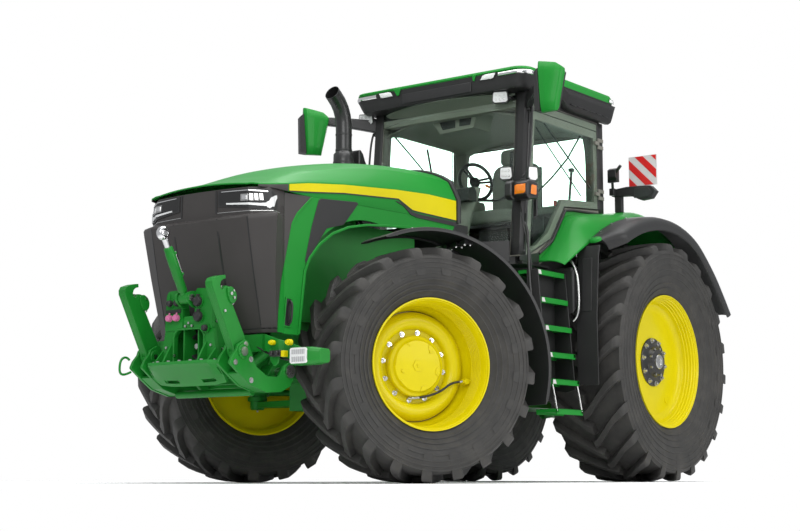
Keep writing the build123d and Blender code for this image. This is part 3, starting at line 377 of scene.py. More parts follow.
def thicken(thing, thickness, offset=-1.0):
    """Gives an open surface a wall."""
    wall = thing.modifiers.new("wall", "SOLIDIFY")
    wall.thickness = thickness
    wall.offset = offset


def turns(count, start=0.0):
    """Angles of a full turn in even steps."""
    return [start + 2 * math.pi * k / count for k in range(count)]


def polar(radius, angle):
    return radius * math.cos(angle), radius * math.sin(angle)


def about(place, degrees, axis="Z"):
    """A matrix at a place, turned about one axis."""
    return Matrix.Translation(place) @ Matrix.Rotation(math.radians(degrees), 4, axis)


def loft(bm, rows, close=False):
    """A skin over rows of points, with a face at both ends."""
    verts = grid(bm, rows, close=close)
    bm.faces.new(verts[0])
    bm.faces.new(verts[-1][::-1])


def bolt_circle(bm, centre, circle, length, radius, count, material=0):
    """Bolts that point ahead, on a circle round a centre."""
    for a in turns(count):
        foot = centre + Vector((0, *polar(circle, a)))
        rod(bm, foot, foot + Vector((length, 0, 0)), radius, 6, material)


# ---------------------------------------------------------------- camera, floor and light
FOCAL = 70.87
CAMERA_AT = P(11.9394, 7.3717, 0.0625)
HEADING, PITCH = math.radians(37.083), math.radians(7.552)


def make_camera():
    data = bpy.data.cameras.new("camera")
    data.lens = FOCAL
    data.sensor_width = 36
    data.clip_end = 500
    camera = bpy.data.objects.new("camera", data)
    bpy.context.scene.collection.objects.link(camera)
    camera.location = CAMERA_AT
    look = Vector(
        (-math.cos(HEADING) * math.cos(PITCH), -math.sin(HEADING) * math.cos(PITCH), math.sin(PITCH))
    )
    camera.rotation_mode = "QUATERNION"
    camera.rotation_quaternion = look.to_track_quat("-Z", "Y")
    bpy.context.scene.camera = camera


def area_light(name, place, target, size, power):
    data = bpy.data.lights.new(name, "AREA")
    data.shape = "RECTANGLE"
    data.size, data.size_y = size
    data.energy = power
    lamp = bpy.data.objects.new(name, data)
    bpy.context.scene.collection.objects.link(lamp)
    lamp.location = place
    lamp.rotation_mode = "QUATERNION"
    lamp.rotation_quaternion = (Vector(target) - Vector(place)).to_track_quat("-Z", "Y")


def studio_floor():
    """Pale floor that runs out into the white ground some metres from the tractor."""
    material = surface("studio_floor", (0.98, 0.98, 0.98), 0.8, vary=0.01, patch=0.3, bump=0.01)
    tree = material.node_tree
    out = next(n for n in tree.nodes if n.type == "OUTPUT_MATERIAL")
    solid = out.inputs["Surface"].links[0].from_socket
    place = node(tree, "ShaderNodeTexCoord")
    far = node(tree, "ShaderNodeVectorMath", operation="LENGTH")
    fade = node(tree, "ShaderNodeMapRange", **{"From Min": 3.6, "From Max": 6.5})
    clear = node(tree, "ShaderNodeBsdfTransparent")
    mix = node(tree, "ShaderNodeMixShader")
    tree.links.new(place.outputs["Object"], far.inputs[0])
    tree.links.new(far.outputs["Value"], fade.inputs["Value"])
    tree.links.new(fade.outputs["Result"], mix.inputs[0])
    tree.links.new(solid, mix.inputs[1])
    tree.links.new(clear.outputs[0], mix.inputs[2])
    tree.links.new(mix.outputs[0], out.inputs["Surface"])
    return material


def make_studio():
    bm = bmesh.new()
    bmesh.ops.create_grid(bm, x_segments=2, y_segments=2, size=60)
    mesh = bpy.data.meshes.new("floor")
    bm.to_mesh(mesh)
    bm.free()
    floor = bpy.data.objects.new("floor", mesh)
    bpy.context.scene.collection.objects.link(floor)
    mesh.materials.append(studio_floor())
    world = bpy.data.worlds.new("studio")
    bpy.context.scene.world = world
    world.use_nodes = True
    tree = world.node_tree
    tree.nodes.clear()
    out = node(tree, "ShaderNodeOutputWorld")
    seen, light = node(tree, "ShaderNodeBackground"), node(tree, "ShaderNodeBackground")
    seen.inputs["Color"].default_value, seen.inputs["Strength"].default_value = (1, 1, 1, 1), 1.0
    light.inputs["Color"].default_value, light.inputs["Strength"].default_value = (0.95, 0.97, 1, 1), 0.52
    rays = node(tree, "ShaderNodeLightPath")
    either = node(tree, "ShaderNodeMath", operation="MAXIMUM")
    mix = node(tree, "ShaderNodeMixShader")
    tree.links.new(rays.outputs["Is Camera Ray"], either.inputs[0])
    tree.links.new(rays.outputs["Is Transmission Ray"], either.inputs[1])
    tree.links.new(either.outputs[0], mix.inputs[0])
    tree.links.new(light.outputs[0], mix.inputs[1])
    tree.links.new(seen.outputs[0], mix.inputs[2])
    tree.links.new(mix.outputs[0], out.inputs[0])
    area_light("top_softbox", P(1.8, 0.5, 7.5), P(1.8, 0, 1), (9, 7), 620)
    area_light("front_softbox", P(9, 4, 4.5), P(2, 0.5, 1.2), (5, 4), 250)
    area_light("side_softbox", P(0.5, 9, 3.5), P(1, 0.5, 1.2), (6, 4), 260)
    area_light("rear_softbox", P(-7, -4, 4), P(0, 0, 1.5), (5, 4), 200)
    bpy.context.scene.view_settings.view_transform = "Standard"


make_camera()
make_studio()


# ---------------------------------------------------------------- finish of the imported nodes
def dress(material, *names):
    """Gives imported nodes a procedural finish."""
    for name in names:
        for place in frame["nodes"][name].material_slots:
            place.link = "OBJECT"
            place.material = material


NODE_FINISH = (
    (GREEN, ("hood_top", "hood_side_panels", "rear_fenders")),
    (CAST, (
        "engine_block", "front_axle_and_arms", "front_hitch_frame", "front_lift_carrier",
        "front_lift_cylinders",
        "front_lower_arms", "front_top_link", "main_frame", "rear_lift_arms",
        "rear_linkage_brackets_and_drawbar",
        "rear_lower_links", "rear_top_link", "steering_knuckle_left", "steering_knuckle_right",
        "transmission_and_rear_axle", "cab_steps",
    )),
    (BLACK, (
        "cab_roof", "cab_floor_and_lower_walls", "fender_extensions", "front_fender_left",
        "front_fender_right", "fuel_tanks",
        "hood_hinge_frame",
    )),
    (NOSE, ("hood_nose",)),
    (SATIN, ("exhaust_stack", "steering_wheel", "width_marker_boards", "door_mirrors")),
    (TRIM, (
        "cab_frame", "left_door", "steering_column_and_armrest",
        "driver_and_passenger_seat_cushions",
    )),
    (STEEL, ("front_lift_cylinder_rods", "rear_lift_rods", "steering_tie_rod")),
    (GLASS, ("cab_windows", "left_door_glass")),
    (
        YELLOW,
        (
            "front_rim_and_hub_left", "front_rim_and_hub_right", "rear_rim_and_axle_left",
            "rear_rim_and_axle_right"
        )
    ),
    (RUBBER, ("front_tyre_left", "front_tyre_right", "rear_tyre_left", "rear_tyre_right")),
)
for finish, names in NODE_FINISH:
    dress(finish, *names)

# ---------------------------------------------------------------- wheels
WHEELS = (
    # end, radius, width, rim radius, rim width, lugs per side, lug height
    ("front", FRONT_RADIUS, FRONT_WIDTH, FRONT_RIM, 0.458, 20, 0.048),
    ("rear", REAR_RADIUS, REAR_WIDTH, REAR_RIM, 0.584, 22, 0.058),
)


def tyre_profile(radius, half, rim, bead, lug):
    """Outer half section of the casing, from the bead to the middle of the tread, as (radius, along)."""
    shoulder = radius - 0.045
    ridge = 0.004  # how far the sidewall's fine rings stand out
    points = [(rim - 0.018, bead - 0.004), (rim + 0.006, bead + 0.002), (rim + 0.016, bead + 0.012)]
    for share, out in (
        (0.1, 0.3), (0.22, 0.55), (0.36, 0.78), (0.5, 0.92), (0.64, 0.985), (0.76, 1.0), (0.86, 0.985)
    ):
        r = rim + 0.02 + (shoulder - rim - 0.02) * share
        y = bead + 0.012 + (half - bead - 0.012) * out
        points += [
            (r - 0.006, y - 0.001), (r - 0.004, y - 0.001 + ridge), (r + 0.004, y + ridge), (r + 0.006, y)
        ]
    points += [
        (radius - 0.07, half * 0.965), (radius - lug - 0.012, half * 0.9), (radius - lug - 0.003, half * 0.62)
    ]
    points += [(radius - lug, half * 0.3), (radius - lug, 0.0)]
    return points


def make_tyre(side, end, radius, width, rim, rim_width, lugs, lug):
    """A casing with ringed sidewalls and two rows of swept lugs; lug is their height."""
    word = dict(SIDES)[side]
    half, bead = width / 2, rim_width / 2 - 0.015
    matrix = wheel_matrix(f"{word}_{end}_wheel_spin", side)
    bm = bmesh.new()
    near = tyre_profile(radius, half, rim, bead, lug)
    far = [(r, -y) for r, y in near[-2::-1]]
    inside = [(rim - 0.018, -bead + 0.03), (rim + 0.03, -bead + 0.02), (radius - 0.1, -half + 0.05)]
    inside += [(r, -y) for r, y in inside[::-1]]
    lathe(bm, near + far + inside, 160)
    pitch = 2 * math.pi / lugs
    sweep = 1.15 * (half * 0.95) / radius  # turn of a lug from the middle to the shoulder
    stations = (
        # share of the half width, drop of the lug's top, depth of its root, half width of its top
        (-0.06, 0.0, 0.004, 0.026), (0.08, 0.0, 0.004, 0.029), (0.35, 0.0, 0.006, 0.029),
        (0.62, 0.001, 0.01, 0.031),
        (0.84, 0.005, 0.02, 0.036), (0.935, 0.011, 0.04, 0.04), (0.975, 0.026, 0.085, 0.041),
        (1.004, 0.072, 0.12, 0.038),
        (1.01, 0.118, 0.15, 0.033),
    )
    for across in (1, -1):
        for k in range(lugs):
            start = pitch * (k + (0.25 if across == 1 else 0.75))
            rows = []
            for share, drop, root, top_half in stations:
                turned = max(share, 0.0)
                curve = sweep * (turned - 0.3 * turned * max(turned - 0.55, 0.0))
                angle = start + side * curve
                slant = math.radians(42) * max(0.0, 1 - turned)
                broad = top_half / math.cos(slant) / radius
                low_broad = broad + 0.01 / radius
                y = across * half * min(share, 1.0)
                top, bottom = radius - drop, radius - lug - root
                row = []
                for r, offset in (
                    (bottom, -low_broad), (top - 0.004, -broad), (top, -broad + 0.004),
                    (top, broad - 0.004), (top - 0.004, broad), (bottom, low_broad),
                ):
                    ahead, up = polar(r, angle + offset)
                    row.append((ahead, y, up))
                rows.append(row)
            loft(bm, rows)
    bmesh.ops.transform(bm, matrix=matrix, verts=bm.verts)
    piece(
        f"{end}_tyre_{word}_tread", bm, RUBBER, f"{word}_{end}_wheel", (f"{end}_tyre_{word}",), 40
    )


def ring_of(bm, count, radius, y, matrix, bolt, start=0.0, length=0.02, nut=True, material=1):
    """Hexagon bolts standing on a circle about the local axis."""
    for a in turns(count, start):
        foot = matrix @ Vector((radius * math.cos(a), y, radius * math.sin(a)))
        tip = matrix @ Vector((radius * math.cos(a), y + length, radius * math.sin(a)))
        rod(bm, foot, tip, bolt, 6, material)
        if nut:
            rod(bm, tip, tip + (tip - foot) * 0.35, bolt * 0.62, 12, material, bolt * 0.45)
            rod(bm, foot, foot + (tip - foot) * 0.25, bolt * 1.45, 20, material)


def make_front_rim(side):
    """Ribbed barrel with a domed disc, six-sided hub cap, ring of bolts and the air hose's elbow."""
    word = dict(SIDES)[side]
    matrix = wheel_matrix(f"{word}_front_wheel_spin", side)
    bm = bmesh.new()
    barrel = [
        (0.4575, 0.229), (0.4575, 0.215), (0.44, 0.214), (0.435, 0.19), (0.435, -0.19), (0.44, -0.214),
        (0.4575, -0.215), (0.4575, -0.229), (0.446, -0.229), (0.421, -0.19), (0.421, -0.1), (0.405, -0.088),
        (0.3, -0.088), (0.12, -0.071), (0.12, -0.055), (0.258, -0.052),
    ]
    barrel += [
        (0.32 + 0.062 * math.cos(math.radians(t)), -0.052 + 0.062 * math.sin(math.radians(t)))
        for t in range(170, 9, -16)
    ]
    barrel += [(0.3835, -0.055), (0.3835, -0.066), (0.3885, -0.066), (0.3885, -0.05)]
    barrel += [(0.412, -0.02), (0.418, 0.02)]
    for k in range(7):
        y = 0.04 + 0.018 * k
        barrel += [
            (0.4195 + 0.0008 * k, y), (0.4235 + 0.0008 * k, y + 0.005), (0.4205 + 0.0008 * k, y + 0.012)
        ]
    barrel += [(0.432, 0.185), (0.436, 0.205), (0.447, 0.218), (0.449, 0.229)]
    lathe(bm, barrel, 144, matrix)
    hub = [
        (0.0, -0.071), (0.215, -0.071), (0.215, -0.012), (0.208, -0.002), (0.192, 0.004), (0.188, 0.006),
        (0.184, 0.012), (0.176, 0.0205), (0.0, 0.025),
    ]
    lathe(bm, hub, 96, matrix, closed=False)
    for k in range(6):
        a = math.radians(60 * k + 12)
        outline = [
            (0.176 * math.cos(a + t), 0.176 * math.sin(a + t)) for t in (-0.2, -0.1, 0, 0.1, 0.2)
        ] + [(0.146 * math.cos(a + t), 0.146 * math.sin(a + t)) for t in (0.13, -0.13)]
        prism(
            bm, [matrix @ Vector((x, 0.0195, z)) for x, z in outline],
            matrix.to_3x3() @ Vector((0, 0.0065, 0))
        )
    six = [(0.042 * math.cos(math.radians(60 * k)), 0.042 * math.sin(math.radians(60 * k))) for k in range(6)]
    prism(bm, [matrix @ Vector((x, 0.022, z)) for x, z in six], matrix.to_3x3() @ Vector((0, 0.007, 0)))
    rod(bm, matrix @ Vector((0, 0.025, 0)), matrix @ Vector((0, 0.034, 0)), 0.012, 16)
    rod(bm, matrix @ Vector((0.12, 0.02, -0.04)), matrix @ Vector((0.12, 0.031, -0.04)), 0.012, 6)
    rod(bm, matrix @ Vector((-0.1, 0.02, 0.1)), matrix @ Vector((-0.1, 0.031, 0.1)), 0.01, 6)
    ring_of(bm, 12, 0.238, -0.055, matrix, 0.0125, math.radians(8), 0.022)
    seam = [(0.3838, -0.0645), (0.3882, -0.0645), (0.3882, -0.06), (0.3838, -0.06)]
    lathe(bm, seam, 120, matrix, 2)
    body = f"{word}_front_wheel"
    piece(
        f"front_rim_{word}_detail", bm, [YELLOW, CHROME, SATIN], body, (f"front_rim_and_hub_{word}",), 32,
    )
    places = [
        (-0.02, -0.22, 0.0), (-0.12, -0.2, 0.018), (-0.2, -0.16, 0.026), (-0.27, -0.105, 0.034),
        (-0.355, -0.1, 0.036)
    ]

    def spot(x, y, z):
        return matrix @ Vector((side * x, y, z))

    tube(f"valve_hose_{word}", [spot(x, y, z) for x, z, y in places], 0.0085, SATIN, body)
    bm = bmesh.new()
    rod(bm, spot(-0.345, 0.036, -0.1), spot(-0.398, 0.036, -0.1), 0.017, 16)
    rod(bm, spot(-0.372, 0.01, -0.1), spot(-0.372, 0.06, -0.1), 0.021, 16)
    rod(bm, spot(-0.395, 0.036, -0.1), spot(-0.422, 0.03, -0.1), 0.012, 12)
    rod(bm, spot(-0.325, 0.034, -0.105), spot(-0.348, 0.036, -0.1), 0.0125, 6, 1)
    rod(bm, spot(-0.02, 0.0, -0.22), spot(0.035, -0.01, -0.225), 0.012, 6, 1)
    rod(bm, spot(0.03, -0.01, -0.225), spot(0.06, -0.018, -0.225), 0.008, 12, 1)
    piece(f"valve_elbow_{word}", bm, [YELLOW, STEEL], body, smooth=40, bevel=0.002)


def make_rear_rim(side):
    """Barrel, flat disc, dark hub and axle end."""
    word = dict(SIDES)[side]
    matrix = wheel_matrix(f"{word}_rear_wheel_spin", side)
    bm = bmesh.new()
    barrel = [
        (0.559, 0.292), (0.559, 0.278), (0.54, 0.276), (0.5365, 0.25), (0.5365, -0.25), (0.54, -0.276),
        (0.559, -0.278), (0.559, -0.292), (0.547, -0.292), (0.5225, -0.25), (0.5225, 0.03), (0.49, 0.085),
        (0.43, 0.105), (0.3, 0.112), (0.12, 0.117), (0.12, 0.139), (0.295, 0.137), (0.36, 0.133),
        (0.43, 0.128),
        (0.475, 0.132), (0.497, 0.148), (0.506, 0.17), (0.5085, 0.19), (0.5145, 0.196), (0.5165, 0.215),
        (0.5215, 0.22), (0.5235, 0.24), (0.529, 0.245), (0.532, 0.262), (0.543, 0.272), (0.549, 0.284),
        (0.551, 0.292),
    ]
    lathe(bm, barrel, 160, matrix)
    hub = [
        (0.0, 0.047), (0.205, 0.047), (0.205, 0.137), (0.205, 0.146), (0.198, 0.152), (0.16, 0.153),
        (0.128, 0.16),
        (0.104, 0.196), (0.082, 0.199), (0.064, 0.199),
    ]
    lathe(bm, hub, 72, matrix, 1, closed=False)
    axle = [(0.062, 0.12), (0.062, 0.207), (0.058, 0.212), (0.03, 0.212), (0.026, 0.206), (0.0, 0.206)]
    lathe(bm, axle, 48, matrix, 2, closed=False)
    inner = [
        (0.205, 0.117), (0.15, 0.09), (0.15, 0.047), (0.062, 0.047), (0.062, -0.3), (0.0, -0.3),
    ]
    lathe(bm, inner, 48, matrix, 1, closed=False)
    ring_of(bm, 10, 0.182, 0.15, matrix, 0.0155, math.radians(9), 0.02, material=2)
    ring_of(bm, 8, 0.116, 0.178, matrix, 0.011, math.radians(20), 0.018, nut=False, material=2)
    for turned in (0.0, math.pi):
        x, z = 0.4 * math.cos(turned + 0.9), 0.4 * math.sin(turned + 0.9)
        rod(bm, matrix @ Vector((x, 0.125, z)), matrix @ Vector((x, 0.136, z)), 0.026, 24)
    piece(
        f"rear_rim_{word}_detail", bm, [YELLOW, SATIN, STEEL], f"{word}_rear_wheel",
        (f"rear_rim_and_axle_{word}",), 32,
    )


for wheel in WHEELS:
    for side in (1, -1):
        make_tyre(side, *wheel)
for side in (1, -1):
    make_front_rim(side)
    make_rear_rim(side)


# ---------------------------------------------------------------- hood
HOOD = (
    # ahead, half width, lower edge, side top, shoulder half width, shoulder height, crown
    (2.13, 0.5, 1.98, 2.16, 0.42, 2.312, 2.428),
    (2.5, 0.5, 1.972, 2.158, 0.422, 2.31, 2.41),
    (3.04, 0.5, 1.96, 2.122, 0.422, 2.276, 2.35),
    (3.5, 0.5, 1.95, 2.082, 0.422, 2.2, 2.266),
    (3.88, 0.5, 1.94, 2.036, 0.424, 2.118, 2.17),
    (4.16, 0.526, 1.938, 1.984, 0.44, 2.034, 2.066),
    (4.3, 0.532, 1.936, 1.962, 0.436, 1.988, 2.014),
    (4.385, 0.5, 1.936, 1.954, 0.41, 1.966, 1.984),
)


def front_bow(x, y):
    """How far the front of the hood stands out, away from the corners."""
    return 0.055 * max(0.0, (x - 4.16) / 0.225) * (1 - min(abs(y) / 0.5, 1.0) ** 2)


def skin(bm, rows, push):
    """A closed thin plate: a grid of points and the same grid moved by a vector or by push(point, i, j)."""
    move = push if callable(push) else lambda p, i, j: p + Vector(push)
    outer = [[move(p, i, j) for j, p in enumerate(row)] for i, row in enumerate(rows)]
    lower = [[bm.verts.new(p) for p in row] for row in rows]
    upper = [[bm.verts.new(p) for p in row] for row in outer]
    last_i, last_j = len(rows) - 1, len(rows[0]) - 1
    for i in range(last_i):
        for j in range(last_j):
            bm.faces.new((lower[i][j], lower[i + 1][j], lower[i + 1][j + 1], lower[i][j + 1]))
            bm.faces.new((upper[i][j], upper[i][j + 1], upper[i + 1][j + 1], upper[i + 1][j]))
    for i in range(last_i):
        for j, flip in ((0, False), (last_j, True)):
            quad = (lower[i][j], upper[i][j], upper[i + 1][j], lower[i + 1][j])
            bm.faces.new(quad[::-1] if flip else quad)
    for j in range(last_j):
        for i, flip in ((0, True), (last_i, False)):
            quad = (lower[i][j], upper[i][j], upper[i][j + 1], lower[i][j + 1])
            bm.faces.new(quad[::-1] if flip else quad)


def between(table, x):
    """Straight-line reading of a table of rows that start with the distance ahead."""
    for a, b in zip(table, table[1:]):
        if x <= b[0] or b is table[-1]:
            t = (x - a[0]) / (b[0] - a[0])
            return [p + (q - p) * t for p, q in zip(a, b)]


def smooth_table(table, steps):
    """Rows between the given ones, on a smooth curve."""
    rows = []
    for i in range(len(table) - 1):
        a, b, c, d = table[max(i - 1, 0)], table[i], table[i + 1], table[min(i + 2, len(table) - 1)]
        for k in range(steps):
            t = k / steps
            row = [b[0] + (c[0] - b[0]) * t]
            h = (2 * t**3 - 3 * t**2 + 1, t**3 - 2 * t**2 + t, -2 * t**3 + 3 * t**2, t**3 - t**2)
            gap = c[0] - b[0]
            for pa, pb, pc, pd in zip(a[1:], b[1:], c[1:], d[1:]):
                ma = (pc - pa) / (c[0] - a[0]) * gap
                mb = (pd - pb) / (d[0] - b[0]) * gap
                row.append(h[0] * pb + h[1] * ma + h[2] * pc + h[3] * mb)
            rows.append(row)
    return rows + [list(table[-1])]


HOOD_ROWS = smooth_table(HOOD, 6)


def hood_outline(row, grow=0.0):
    """One cross-section of the hood from the left lower edge over the crown to the right, as (y, z)."""
    _, half, low, side_top, shoulder, shoulder_z, crown = row
    half, shoulder, crown, shoulder_z = half + grow, shoulder + grow * 0.7, crown + grow, shoulder_z + grow * 0.7
    left = [
        (half, low), (half, low + (side_top - low) * 0.5), (half, side_top - 0.004),
        (half - 0.003, side_top + 0.004)
    ]
    left += [
        (half + (shoulder - half) * t, side_top + (shoulder_z - side_top) * t + 0.006 * math.sin(math.pi * t))
        for t in (0.25, 0.5, 0.75, 0.96)
    ]
    rise = crown - shoulder_z
    top = []
    for k in range(1, 12):
        y = shoulder * (1 - k / 6)
        top.append((y, shoulder_z + rise * (1 - (abs(y) / shoulder) ** 2.2)))
    right = [(-y, z) for y, z in left[::-1]]
    return left + top + right


def make_hood_top():
    bm = bmesh.new()
    rows = [[P(row[0] + front_bow(row[0], y), y, z) for y, z in hood_outline(row)] for row in HOOD_ROWS]
    grid(bm, rows)
    for face in bm.faces:
        middle = face.calc_center_median()
        x = middle.x - REAR_X
        if x > 4.115 and middle.z < between(HOOD, min(x, 4.38))[3] - 0.006 and abs(middle.y) > 0.4:
            face.material_index = 1
    top = piece("hood_top_skin", bm, [GREEN, NOSE], "hood", ("hood_top",), 28)
    thicken(top, 0.01)
    edge = top.modifiers.new("edge", "BEVEL")
    edge.width, edge.segments, edge.limit_method, edge.angle_limit = 0.003, 2, "ANGLE", math.radians(50)


make_hood_top()
bm = bmesh.new()
for side in (1, -1):
    y_plate(
        bm, [(2.168, 2.068), (2.232, 2.068), (2.26, 2.3), (2.14, 2.3)], *sorted((side * 0.398, side * 0.422))
    )
piece("hood_hinge_lugs", bm, SATIN, "hood", bevel=0.004)


def side_strip(name, top, bottom, out, material, thickness=0.003):
    """A flat strip on the hood's two sides, between an upper and a lower line of (ahead, z)."""
    for side, word in SIDES:
        bm = bmesh.new()
        xs = sorted(
            {x for x, _ in top} | {x for x, _ in bottom} | {
                top[0][0] + (top[-1][0] - top[0][0]) * k / 24 for k in range(25)
            }
        )
        rows = []
        for x in xs:
            low, high = between(bottom, x)[1], between(top, x)[1]
            half = between(HOOD, x)[1]
            rows.append([P(x, side * (half + out), low + (high - low) * t) for t in (0, 0.5, 1)])
        skin(bm, rows, (0, side * thickness, 0))
        piece(f"{name}_{word}", bm, material, "hood", smooth=60)


STRIPE_TOP = ((2.135, 2.15), (2.5, 2.15), (2.888, 2.128), (3.5, 2.076), (3.88, 2.03), (4.105, 1.989))
STRIPE_LOW = (
    (2.135, 1.999), (2.66, 2.003), (2.7, 2.006), (2.74, 2.02), (2.868, 2.066), (3.5, 2.018), (4.105, 1.945)
)
side_strip("stripe", STRIPE_TOP, STRIPE_LOW, 0.0005, YELLOW)
side_strip("stripe_border", STRIPE_LOW, [(x, z - 0.009) for x, z in STRIPE_LOW], 0.0005, SATIN)
side_strip(
    "panel_seam_strip", ((2.135, 1.985), (2.6, 1.984), (2.7, 1.99), (2.84, 2.042), (2.9, 2.044)),
    ((2.135, 1.951), (2.64, 1.954), (2.72, 1.966), (2.81, 2.018), (2.9, 2.04)), 0.001, BLACK, 0.004,
)


PANEL_Y = 0.4985  # just inside the face of the side panels


def side_plate(name, outline, thickness, material, bevel=0.003):
    """A flat plate of (ahead, z) corners on the left side, and its mirror image on the right."""
    for side, word in SIDES:
        bm = bmesh.new()
        y_plate(bm, outline, side * PANEL_Y, side * (PANEL_Y + thickness))
        piece(f"{name}_{word}", bm, material, "hood", smooth=30, bevel=bevel)


INSET = [
    (3.759, 1.938), (3.73, 1.944), (3.36, 1.972), (3.338, 1.962), (3.504, 1.789), (3.686, 1.743),
    (3.905, 1.478), (3.912, 1.5), (3.846, 1.735), (3.775, 1.925)
]
side_plate("vent_inset", INSET, 0.004, BLACK)
LEG_BLACK = [(3.856, 1.938), (4.003, 1.806), (4.053, 1.731), (4.128, 1.435), (4.1295, 1.931), (3.9, 1.9375)]
side_plate("nose_wing", LEG_BLACK, 0.004, NOSE)
side_plate(
    "leg_edge",
    [
        (3.838, 1.938), (3.856, 1.938), (4.006, 1.808), (4.056, 1.733), (4.1295, 1.44), (4.1295, 1.41),
        (4.045, 1.725), (3.994, 1.798)
    ], 0.007, GREEN, bevel=0.002
)
side_plate("grab_slot", [(4.05, 1.218), (4.1, 1.222), (4.122, 1.04), (4.064, 1.036)], 0.003, SATIN)
side_plate(
    "grab_slot_rim",
    [
        (4.042, 1.226), (4.108, 1.23), (4.1295, 1.032), (4.056, 1.028), (4.06, 1.036), (4.12, 1.04),
        (4.099, 1.221), (4.05, 1.217)
    ], 0.007, GREEN, bevel=0.002
)
for side, word in SIDES:
    tube(
        f"grab_handle_{word}",
        [
            P(4.066, side * 0.503, 1.205), P(4.07, side * 0.528, 1.195), P(4.076, side * 0.53, 1.12),
            P(4.082, side * 0.528, 1.06), P(4.08, side * 0.503, 1.05)
        ], 0.008, BLACK, "hood"
    )

# arch lip: the edge that the green leg shows round the front wheel
side_plate(
    "arch_lip",
    [(2.19, 1.905), (3.03, 1.835)]
    + [
        (x, z)
        for x, z in (
            (3.25, 1.812), (3.45, 1.77), (3.62, 1.705), (3.76, 1.612), (3.86, 1.51), (3.905, 1.42),
            (3.965, 0.99)
        )
    ]
    + [
        (3.983, 0.99), (3.925, 1.43), (3.876, 1.522), (3.772, 1.628), (3.63, 1.722), (3.455, 1.788),
        (3.25, 1.83), (3.03, 1.853), (2.19, 1.923)
    ],
    0.009, GREEN,
)

# ---------------------------------------------------------------- nose
NOSE_TABLE = (
    # height, corner ahead, corner half width, crease ahead, crease half width, front ahead
    (0.985, 4.225, 0.53, 4.268, 0.44, 4.285),
    (1.4, 4.298, 0.575, 4.368, 0.445, 4.4),
    (1.7, 4.332, 0.618, 4.428, 0.446, 4.47),
    (1.742, 4.335, 0.624, 4.434, 0.447, 4.476),
    (1.758, 4.33, 0.618, 4.428, 0.442, 4.47),
    (1.776, 4.305, 0.56, 4.395, 0.425, 4.43),
    (1.86, 4.312, 0.552, 4.4, 0.42, 4.432),
    (1.94, 4.318, 0.53, 4.395, 0.415, 4.432),
)


def nose_point(s, z, out=0.0, side=1):
    """A place on the nose: 0 at the side panel, 0.25 the corner, 0.6 the crease and 1 the middle of the front."""
    drop = 0.03 * max(0.0, (s - 0.25) / 0.75) ** 1.5 if z > 1.7 else 0.0
    level = z + drop * min(1.0, (z - 1.7) / 0.04) * max(0.0, min(1.0, (1.86 - z) / 0.08)) if z > 1.7 else z
    _, corner, half, crease, crease_half, front = between(NOSE_TABLE, min(max(level, 0.985), 1.94))
    if s <= 0.25:
        t = s / 0.25
        x, y = 4.1303 + (corner - 4.1303) * t, 0.5 + (half - 0.5) * t
        nx, ny = 0.5 - half, corner - 4.1303
    elif s <= 0.6:
        t = (s - 0.25) / 0.35
        x, y = corner + (crease - corner) * t, half + (crease_half - half) * t
        nx, ny = half - crease_half, crease - corner
    else:
        t = (s - 0.6) / 0.4
        rise = front - crease
        radius = (crease_half**2 + rise**2) / (2 * rise)
        y = crease_half * (1 - t)
        x = front - radius + math.sqrt(radius**2 - y**2)
        nx, ny = x - (front - radius), y
    size = math.hypot(nx, ny)
    return P(x + out * nx / size, side * (y + out * ny / size), z)


def nose_patch(name, edges, out, material, thickness=0.004, columns=14):
    """A thin plate on the nose, from rows of (place round the nose, lower z, upper z)."""
    for side, word in SIDES:
        bm = bmesh.new()
        rows = []
        steps = columns // (len(edges) - 1)
        for a, b in zip(edges, edges[1:]):
            rows += [[v + (w - v) * k / steps for v, w in zip(a, b)] for k in range(steps)]
        rows.append(edges[-1])
        near, far = (
            [[nose_point(s, low + (high - low) * k / 6, o, side) for k in range(7)] for s, low, high in rows]
            for o in (out, out + thickness)
        )
        skin(bm, near, lambda p, i, j: far[i][j])
        piece(f"{name}_{word}", bm, material, "hood", smooth=40)


def make_nose():
    bm = bmesh.new()
    levels = [0.985 + 0.715 * k / 24 for k in range(25)] + [
        1.715, 1.73, 1.742, 1.75, 1.758, 1.764, 1.77, 1.776, 1.782, 1.8, 1.82, 1.84, 1.86, 1.9, 1.94
    ]
    around = (
        0.0, 0.12, 0.22, 0.24, 0.25, 0.26, 0.28, 0.42, 0.56, 0.585, 0.597, 0.603, 0.615, 0.64, 0.7, 0.8, 0.9,
        1.0
    )
    rows = []
    for z in levels:
        left = [nose_point(s, z) for s in around]
        rows.append(left + [Vector((p.x, -p.y, p.z)) for p in left[-2::-1]])
    inner = [
        [p - Vector((0.012, 0.012 * (1 if p.y > 0 else -1) * min(1, abs(p.y) / 0.3), 0)) for p in row]
        for row in rows
    ]
    skin(bm, inner, lambda p, i, j: rows[i][j])
    piece("nose_skin", bm, NOSE, "hood", ("hood_nose",), 28)
    bm = bmesh.new()
    left = [nose_point(s / 20, 1.012) for s in range(21)]
    ring = left + [Vector((p.x, -p.y, p.z)) for p in left[-2::-1]]
    for a, b in zip(ring, ring[1:]):
        rod(bm, a, b, 0.0035, 6)
    piece("nose_seam", bm, SATIN, "hood")


